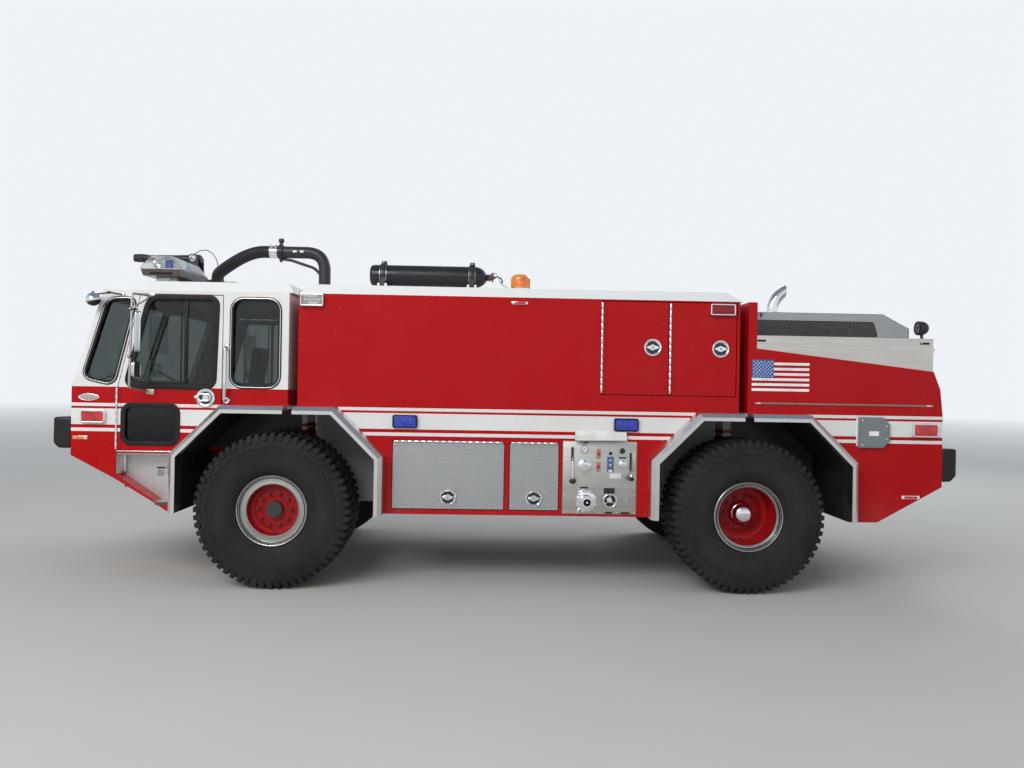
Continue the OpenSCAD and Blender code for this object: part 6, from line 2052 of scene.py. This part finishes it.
def whip_aerial():
    """A black whip tied down in an arc over the cab roof."""
    start = Vector((-3.372, -0.33, ROOF_Z + 0.02))
    spring = turned(trim_rubber, [
        (0, 0), (0, 0.032), (0.008, 0.032), (0.02, 0.016), (0.09, 0.012), (0.092, 0)
    ], start - Vector((0, 0, 0.02)), (0.25, 0, 1), 24)
    arc = [start, start + Vector((0.03, 0, 0.12))]
    for x, z in ((-3.29, 3.02), (-3.235, 3.092), (-3.17, 3.134), (-3.105, 3.14), (-3.045, 3.105), (-3.005, 3.045),
                 (-2.985, 2.96), (-2.975, 2.86), (-2.97, ROOF_Z + 0.012)):
        arc.append(Vector((x, -0.33, z)))
    dress("whip_aerial", joined([
        spring,
        swept(black_knob, rounded_route(arc, 0.06, 4), 0.0042, 10),
        block(black_knob, (-2.985, -0.345, ROOF_Z), (-2.955, -0.315, ROOF_Z + 0.02), 0.003)
    ]), "chassis", "black_paint")


white_aerial()
whip_aerial()


# Rails and mirrors

def grab_rail():
    """The chrome rail behind the cab door, on round feet."""
    x, z0, z1, out = AXLE_F - 0.445, 1.64, 2.11, 0.062
    y = -SIDE_Y
    parts = [tube(chrome, [(x, y, z0), (x, y - out, z0), (x, y - out, z1), (x, y, z1)], 0.0155, 0.045, 20)]
    for z in (z0, z1):
        parts += [
            turned(chrome, [
                (0, 0), (0, 0.03), (0.003, 0.0295), (0.007, 0.024), (0.01, 0.0175), (0.01, 0)
            ], (x, y, z), sides=32),
            repeated(turned(cast_grey, [(0, 0), (0, 0.0045), (0.0035, 0.0035), (0.004, 0)],
                            (x, y - 0.003, z + 0.0245), sides=10),
                     around("Y", (x, 0, z), 3))
        ]
    return joined(parts)


def corner_mirror():
    """The round mirror at the cab's front corner: chrome bowl, dark glass below and its rod."""
    foot = Vector((AXLE_F - 1.357, -SIDE_Y, 2.555))
    centre = Vector((AXLE_F - 1.584, -SIDE_Y - 0.08, 2.502))
    down = Vector((0.25, 0.1, -1)).normalized()
    return joined([
        turned(chrome, [
            (-0.064, 0), (-0.062, 0.014), (-0.052, 0.036), (-0.034, 0.054), (-0.01, 0.0635), (0.004, 0.0645),
            (0.01, 0.064), (0.012, 0.06), (0.004, 0.057), (0.004, 0)
        ], centre, down, 48, 50),
        turned(dark_glass_and_recess_shade, [
            (0.003, 0), (0.003, 0.0575), (0.01, 0.0585), (0.03, 0.05), (0.046, 0.032), (0.053, 0.012), (0.054, 0)
        ], centre, down, 48, 50),
        tube(black_knob, [
            foot + Vector((0, -0.012, 0)),
            foot + Vector((-0.09, -0.046, 0.016)),
            centre + Vector((0.025, 0.012, 0.052)),
            centre + Vector((-0.006, 0, 0.058))
        ], 0.0068, 0.02, 10),
        rod(black_knob, centre + Vector((-0.004, 0, 0.052)), centre + Vector((-0.008, 0, 0.074)), 0.009, 6, 0.001),
        block(black_knob, foot + Vector((-0.12, -0.066, 0.004)), foot + Vector((-0.096, -0.044, 0.028)), 0.005),
        turned(chrome, [
            (0, 0), (0, 0.017), (0.004, 0.0165), (0.01, 0.011), (0.02, 0.0095), (0.022, 0)
        ], foot, sides=24)
    ])


both_sides("grab_rail", grab_rail(), "chassis", "chrome", "grab_rails")
both_sides("corner_mirror", corner_mirror(), "chassis", "chrome")

ARM_X, ARM_Y = -3.300, -1.530
ARM_TOP, ARM_LOW = 2.541, 1.742


def turned_about(piece, centre, degrees):
    """Turns a piece about an upright line through centre."""
    centre = Vector(centre)
    piece.data.transform(Matrix.Translation(centre) @ Matrix.Rotation(math.radians(degrees), 4, "Z")
                         @ Matrix.Translation(-centre))
    return piece


def mirror_head(centre, half_width, low, high, depth, corner, crown=0.0):
    """A mirror head that looks back: shell, bright rim and glass."""
    x, y = centre
    outline = [(y - half_width, low), (y + half_width, low), (y + half_width, high), (y - half_width, high)]
    shell = rounded(outline_piece(mirror_shell, outline, x - depth / 2, x + depth / 2 - 0.006, corner, 6, plane="YZ"),
                    0.01, 3)
    rim = outline_ring(chrome, grown(outline, 0.002), x + depth / 2 - 0.012, x + depth / 2, 0.01, corner, plane="YZ",
                       soften=0.003)
    pane = outline_piece(mirror_glass, grown(outline, -0.006), x + depth / 2 - 0.01, x + depth / 2 - 0.003,
                         corner - 0.006, 6, plane="YZ")
    if crown:
        pane = rounded(pane, crown, 3)
    return [shell, rim, pane]


def door_mirror():
    """The mirror arm on the cab door: bent tube, brace, tall head and small wide-angle head."""
    top = Vector((-3.228, -SIDE_Y, 2.558))
    low = Vector((-3.222, -SIDE_Y, 1.706))
    corners = [
        top + Vector((0, -0.01, 0)), (ARM_X + 0.012, ARM_Y, ARM_TOP + 0.012), (ARM_X, ARM_Y, ARM_LOW),
        low + Vector((0, -0.01, 0))
    ]
    parts = [tube(arm_steel, corners, 0.0105, 0.035, 14)]
    for foot in (top, low):
        parts += [
            turned(arm_steel, [
                (0, 0), (0, 0.022), (0.004, 0.022), (0.007, 0.017), (0.02, 0.0155), (0.024, 0.011), (0.024, 0)
            ], foot, sides=28),
            block(arm_steel, foot + Vector((-0.01, -0.006, -0.024)), foot + Vector((0.052, 0, 0.022)), 0.003)
        ]
    joint = Vector((ARM_X + 0.004, ARM_Y, 2.416))
    parts.append(tube(arm_steel, [
        top + Vector((0.012, -0.012, -0.016)),
        joint + Vector((0.035, 0.014, 0.03)),
        joint + Vector((0.01, 0, 0))
    ], 0.0062, 0.02, 10))
    for i, z in enumerate((2.418, 2.01)):
        parts += [
            block(black_knob, (ARM_X - 0.014, ARM_Y - 0.014, z - 0.014), (ARM_X + 0.018, ARM_Y + 0.014, z + 0.014),
                  0.004),
            rod(black_knob, (ARM_X + 0.008, ARM_Y, z),
                (ARM_X + 0.062, ARM_Y - 0.002, z - 0.004 if i == 0 else z + 0.046), 0.007, 10),
            rod(chrome, (ARM_X + 0.002, ARM_Y - 0.022, z), (ARM_X + 0.002, ARM_Y + 0.022, z), 0.006, 6, 0.001)
        ]
    head_at = (ARM_X + 0.062, ARM_Y - 0.002)
    for piece in mirror_head(head_at, 0.092, 2.048, 2.398, 0.046, 0.034):
        parts.append(turned_about(piece, (*head_at, 0), 25))
    small_at = (ARM_X + 0.052, ARM_Y)
    for piece in mirror_head(small_at, 0.068, 1.835, 1.966, 0.034, 0.028, 0.004):
        parts.append(turned_about(piece, (*small_at, 0), 2))
    parts += [
        tube(black_knob, [
            (ARM_X + 0.006, ARM_Y, 2.005), (ARM_X + 0.034, ARM_Y, 1.995), (ARM_X + 0.046, ARM_Y, 1.945)
        ], 0.006, 0.015, 8),
        rod(black_knob, (ARM_X, ARM_Y, 1.9), (ARM_X + 0.04, ARM_Y, 1.9), 0.008, 10)
    ]
    return joined(parts)


both_sides("door_mirror", door_mirror(), "cab_door_{side}", "black_paint", "mirror_{side}")


# Cab inside

SEAT_X, SEAT_Y, FLOOR_Z = AXLE_F - 1.030, -0.700, 1.180


CUSHION_FRAMES = 14
CUSHION_VOXEL = 0.012


def swollen(piece, reach):
    """Blows a closed cushion up as its filling does, held in by reach."""
    modified(piece, "REMESH", mode="VOXEL", voxel_size=CUSHION_VOXEL, use_smooth_shade=True)
    before = [vertex.co.copy() for vertex in piece.data.vertices]
    cloth = piece.modifiers.new("Cloth", "CLOTH")
    settings = cloth.settings
    settings.use_pressure = True
    settings.uniform_pressure_force = 4.0
    settings.effector_weights.gravity = 0.0
    settings.mass = 0.3
    settings.quality = 6
    cloth.point_cache.frame_start, cloth.point_cache.frame_end = 1, CUSHION_FRAMES
    for frame_number in range(1, CUSHION_FRAMES + 1):
        bpy.context.scene.frame_set(frame_number)
    only(piece)
    bpy.ops.object.modifier_apply(modifier=cloth.name)
    bpy.context.scene.frame_set(1)
    for vertex, start in zip(piece.data.vertices, before):
        way = vertex.co - start
        if way.length > reach:
            vertex.co = start + way.normalized() * reach
    modified(piece, "SUBSURF", levels=1, render_levels=1)
    return coated(smooth(piece, 60), seat_cloth)


def seat_cushion():
    return swollen(block(None, (SEAT_X - 0.232, SEAT_Y - 0.232, FLOOR_Z + 0.262),
                         (SEAT_X + 0.225, SEAT_Y + 0.232, FLOOR_Z + 0.38), 0.035, 3),
                   0.016)


def seat_back():
    outline = [
        (SEAT_X + 0.16, FLOOR_Z + 0.4), (SEAT_X + 0.232, FLOOR_Z + 0.4), (SEAT_X + 0.318, FLOOR_Z + 1.03),
        (SEAT_X + 0.238, FLOOR_Z + 1.03)
    ]
    return swollen(rounded(outline_piece(None, outline, SEAT_Y - 0.222, SEAT_Y + 0.222), 0.03, 3), 0.014)


def seat_base():
    foot = block(dash_plastic, (SEAT_X - 0.088, SEAT_Y - 0.158, FLOOR_Z),
                 (SEAT_X + 0.108, SEAT_Y + 0.158, FLOOR_Z + 0.235), 0.012)
    pan = block(chassis_black, (SEAT_X - 0.236, SEAT_Y - 0.236, FLOOR_Z + 0.232),
                (SEAT_X + 0.236, SEAT_Y + 0.236, FLOOR_Z + 0.264), 0.008)
    bellows = [block(black_knob, (SEAT_X - 0.1, SEAT_Y - 0.17, FLOOR_Z + 0.05 + i * 0.045),
                     (SEAT_X + 0.12, SEAT_Y + 0.17, FLOOR_Z + 0.078 + i * 0.045), 0.01)
               for i in range(4)]
    parts = [foot, pan] + bellows
    for side in (-1, 1):
        parts.append(tube(chassis_black, [
            (SEAT_X + 0.196, SEAT_Y + side * 0.236, FLOOR_Z + 0.27),
            (SEAT_X + 0.2, SEAT_Y + side * 0.236, FLOOR_Z + 0.42)
        ], 0.01, 0.02, 10))
    return joined(parts)


for name, piece in (("seat_cushion", seat_cushion()), ("seat_back", seat_back())):
    for made in both_sides(name, piece, "chassis", "seat_cloth", "seats"):
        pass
both_sides("seat_base", seat_base(), "chassis", "dark_plastic", "seats")


def dashboard():
    """The moulded dashboard with its cowl, dials, switches, column and steering wheel."""
    x0, reach = CAB_X0 + 0.05, SIDE_Y - 0.05
    parts = [
        rounded(outline_piece(dash_plastic, [
            (x0, 1.4), (x0, 1.7), (x0 + 0.06, 1.7), (x0 + 0.23, 1.65), (x0 + 0.25, 1.54), (x0 + 0.15, 1.4)
        ], -reach, reach), 0.014, 3),
        block(dash_plastic, (x0, SEAT_Y - 0.25, FLOOR_Z), (x0 + 0.13, SEAT_Y + 0.25, 1.405), 0.01)
    ]
    for y, width in ((SEAT_Y, 0.23), (0.0, 0.3), (0.7, 0.2)):
        parts.append(block(black_knob, (x0 + 0.233, y - width, 1.552), (x0 + 0.242, y + width, 1.64), 0.004))
    for i in range(5):
        y = SEAT_Y - 0.17 + i * 0.085
        parts.append(turned(dial_white, [
            (0, 0), (0, 0.032), (0.006, 0.032), (0.008, 0.028), (0.005, 0.026), (0.005, 0)
        ], (x0 + 0.24, y, 1.597), (1, 0, -0.18), 24))
    key = block(red_knob, (x0 + 0.238, -0.27, 1.566), (x0 + 0.249, -0.246, 1.59), 0.003, 1)
    parts.append(repeated(key, slid(*[(0, 0.045 * i, 0.034 * k) for i in range(13) for k in range(2)])))
    wheel_at, lean = Vector((x0 + 0.21, SEAT_Y, 1.56)), math.radians(55)
    way = Vector((math.sin(lean), 0, math.cos(lean)))
    parts.append(rod(dash_plastic, wheel_at - way * 0.04, wheel_at + way * 0.13, 0.028, 20, 0.004))
    wheel = [ring(black_knob, 0.215, 0.015, (56, 14), degrees=60)]
    spoke = outline_piece(black_knob, [(0.03, -0.018), (0.205, -0.013), (0.205, 0.013), (0.03, 0.018)], -0.008, 0.004)
    spoke.data.transform(Matrix.Rotation(math.pi / 2, 4, "X"))
    rounded(spoke, 0.003)
    wheel.append(repeated(spoke, around("Z", (0, 0, 0), 3, math.radians(90))))
    wheel.append(turned(black_knob, [
        (-0.012, 0), (-0.012, 0.06), (0.004, 0.06), (0.012, 0.05), (0.014, 0)
    ], (0, 0, 0), (0, 0, 1), 32))
    wheel = joined(wheel)
    wheel.data.transform(Matrix.Translation(wheel_at + way * 0.13) @ way.to_track_quat("Z", "Y").to_matrix().to_4x4())
    parts.append(wheel)
    dress("dashboard", joined(parts), "chassis", "dark_plastic", "dashboard")


dashboard()


# Step wells, bumpers and small fittings

WELL_X0, WELL_X1 = AXLE_F - 1.400, AXLE_F - 0.872
WELL_BACK = SIDE_Y - 0.150


def step_well():
    """The lining of the recess under the cab door, its sockets and the toothed lower step."""
    y = -WELL_BACK
    outline = [(WELL_X0, 1.158), (WELL_X1, 1.158), (WELL_X1, 0.731), (AXLE_F - 1.04, 0.731), (WELL_X0, 0.969)]
    parts = [
        outline_piece(step_plate, outline, y, y - 0.006),
        block(flare_metal, (WELL_X0, -SIDE_Y + 0.004, 0.972), (WELL_X0 + 0.004, y - 0.004, 1.158), 0.001, 1),
        block(flare_metal, (WELL_X0, y - 0.034, 0.975), (WELL_X0 + 0.03, y - 0.004, 1.156), 0.012, 3),
        block(cast_grey, (WELL_X0, -SIDE_Y + 0.003, 1.146), (WELL_X1, y - 0.004, 1.158), 0.002),
        block(flare_metal, (WELL_X0 - 0.002, -SIDE_Y - 0.006, 1.172), (WELL_X1 + 0.006, -SIDE_Y + 0.002, 1.184),
              0.003),
        block(bright_tread, (AXLE_F - 1.052, -SIDE_Y - 0.003, 0.7315), (WELL_X1, y - 0.004, 0.7375), 0.002),
        block(worn_iron, (AXLE_F - 1.056, -SIDE_Y - 0.005, 0.704), (WELL_X1 + 0.002, -SIDE_Y + 0.004, 0.734), 0.003)
    ]
    # Near-black discs for the step's perforations: painted shade in the holes.
    hole = turned(painted_shade_black, [(0, 0), (0, 0.0052), (0.0008, 0.005), (0.0008, 0)],
                  (AXLE_F - 1.044, -SIDE_Y - 0.0045, 0.726), sides=10)
    parts.append(repeated(hole, slid(*[
        (0.0155 * i + 0.0078 * (k % 2), 0, -0.0115 * k) for i in range(11) for k in range(2)])))
    for x, finish in ((AXLE_F - 1.068, cast_grey), (AXLE_F - 0.977, rusty_iron)):
        parts += [
            turned(finish, [
                (0, 0), (0, 0.031), (0.005, 0.031), (0.007, 0.028), (0.007, 0.024), (0.002, 0.022), (0.002, 0.01),
                (0.01, 0.009), (0.01, 0)
            ], (x, y - 0.0055, 0.974), sides=32),
            block(black_knob, (x - 0.036, y - 0.0085, 1.011), (x + 0.036, y - 0.004, 1.029), 0.002)
        ]
    return joined(parts)


both_sides("step_well", step_well(), "chassis", "tread_plate", "cab_steps")


def bumper(name, node, face_x, nose_x, low, high, cut):
    """A full-width bumper with soft edges, bolts and two grey rings, each round a disc of painted shade."""
    inwards = 1 if face_x > nose_x else -1
    outline = [(nose_x, low + cut), (nose_x + inwards * cut, low), (face_x, low), (face_x, high), (nose_x, high)]
    parts = [rounded(outline_piece(bumper_black, outline, -SIDE_Y, SIDE_Y), 0.022, 4)]
    for y in (-0.98, -0.33, 0.33, 0.98):
        for z in (low + 0.09, high - 0.055):
            parts.append(turned(black_knob, [
                (0, 0), (0, 0.016), (0.004, 0.0155), (0.009, 0.01), (0.01, 0)
            ], (nose_x + inwards * 0.0015, y, z), (-inwards, 0, 0), 20))
    for y in (-0.62, 0.62):
        parts += [
            turned(cast_grey, [
                (0, 0.02), (0, 0.04), (0.004, 0.042), (0.01, 0.036), (0.01, 0.024), (0, 0.02)
            ], (nose_x + inwards * 0.0105, y, (low + high) / 2), (-inwards, 0, 0), 32),
            # A near-black disc inside each ring: painted shade in the hole.
            turned(painted_shade_black, [(0, 0), (0, 0.0225), (0.002, 0.022), (0.002, 0)],
                   (nose_x + inwards * 0.0015, y, (low + high) / 2), (-inwards, 0, 0), 24)
        ]
    dress(name, joined(parts), "chassis", "black_paint", node)


bumper("front_bumper_bar", "front_bumper", CAB_X0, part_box("front_bumper")[0].x + 0.0105, 1.196, 1.470, 0.045)
bumper("rear_bumper_bar", "rear_bumper", ENGINE_X1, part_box("rear_bumper")[1].x - 0.0105, 1.007, 1.309, 0.054)

REAR_DOOR_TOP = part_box("upper_door_rear_left")[1]
scene_lamp("door_scene_lamp",
           (REAR_DOOR_TOP.x - 0.245, REAR_DOOR_TOP.z - 0.109, REAR_DOOR_TOP.x - 0.021, REAR_DOOR_TOP.z - 0.008),
           0.044, "upper_door_rear_{side}")


# Light and floor

def area_light(name, place, aim, size, power, color=(1, 1, 1)):
    data = bpy.data.lights.new(name, "AREA")
    data.shape = "RECTANGLE"
    data.size, data.size_y = size
    data.energy = power
    data.color = color
    light = bpy.data.objects.new(name, data)
    bpy.context.scene.collection.objects.link(light)
    way = Vector(aim) - Vector(place)
    light.matrix_world = Matrix.Translation(place) @ way.to_track_quat("-Z", "Y").to_matrix().to_4x4()


def set_world():
    """A soft dome. The backdrop is plain and pale, and deepens overhead where metal and glass show it."""
    world = bpy.data.worlds.new("studio")
    bpy.context.scene.world = world
    world.use_nodes = True
    tree = world.node_tree
    tree.nodes.clear()
    out = tree.nodes.new("ShaderNodeOutputWorld")
    path = tree.nodes.new("ShaderNodeLightPath")
    coordinates = tree.nodes.new("ShaderNodeTexCoord")
    height = split(tree, coordinates.outputs["Generated"])[2]
    dome = tree.nodes.new("ShaderNodeBackground")
    dome.inputs["Color"].default_value = (0.80, 0.86, 0.95, 1)
    dome.inputs["Strength"].default_value = 0.68
    backdrop = tree.nodes.new("ShaderNodeBackground")
    pale, high = (0.86, 0.89, 0.93, 1), (0.20, 0.25, 0.33, 1)
    overhead = calc(tree, "MULTIPLY", ramp(tree, height, 0.12, 0.75),
                    calc(tree, "SUBTRACT", 1.0, path.outputs["Is Camera Ray"]))
    feed(tree, backdrop.inputs["Color"], mix(tree, overhead, pale, high))
    shown = calc(tree, "MAXIMUM", path.outputs["Is Camera Ray"],
                 calc(tree, "MAXIMUM", path.outputs["Is Glossy Ray"], path.outputs["Is Transmission Ray"]))
    chosen = tree.nodes.new("ShaderNodeMixShader")
    feed(tree, chosen.inputs[0], shown)
    tree.links.new(dome.outputs[0], chosen.inputs[1])
    tree.links.new(backdrop.outputs[0], chosen.inputs[2])
    tree.links.new(chosen.outputs[0], out.inputs["Surface"])


def set_floor():
    """Pale concrete that fades into the backdrop far away."""
    none_selected()
    bpy.ops.mesh.primitive_plane_add(size=400, location=(0, 0, 0))
    floor = bpy.context.object
    floor.name = floor.data.name = "floor"
    material, tree, shader = new_material("pale floor", Roughness=0.85, Specular_IOR_Level=0.2)
    place = object_place(tree)
    tone = calc(tree, "MULTIPLY_ADD", noise(tree, place, 1.3, 6.0), 0.35,
                calc(tree, "MULTIPLY", noise(tree, place, 60.0, 3.0), 0.35))
    feed(tree, shader["Base Color"], mix(tree, tone, (0.50, 0.49, 0.46, 1), (0.60, 0.59, 0.56, 1)))
    length = tree.nodes.new("ShaderNodeVectorMath")
    length.operation = "LENGTH"
    feed(tree, length.inputs[0], place)
    path = tree.nodes.new("ShaderNodeLightPath")
    far = calc(tree, "MULTIPLY", ramp(tree, length.outputs["Value"], 9.0, 60.0),
               calc(tree, "MAXIMUM", path.outputs["Is Camera Ray"], path.outputs["Is Glossy Ray"]))
    glow = tree.nodes.new("ShaderNodeEmission")
    glow.inputs["Color"].default_value = (0.86, 0.89, 0.93, 1)
    blend = tree.nodes.new("ShaderNodeMixShader")
    feed(tree, blend.inputs[0], far)
    tree.links.new(tree.nodes["Principled BSDF"].outputs[0], blend.inputs[1])
    tree.links.new(glow.outputs[0], blend.inputs[2])
    tree.links.new(blend.outputs[0], tree.nodes["Material Output"].inputs["Surface"])
    coated(floor, material)


set_world()
set_floor()
area_light("key_light", (-6, -11, 9), (0, 0, 1.2), (9, 5), 1050, (1.0, 0.97, 0.93))
area_light("far_light", (7, 9, 9), (0, 0, 1.5), (9, 6), 500, (0.95, 0.97, 1.0))
bpy.context.scene.view_settings.view_transform = "Standard"
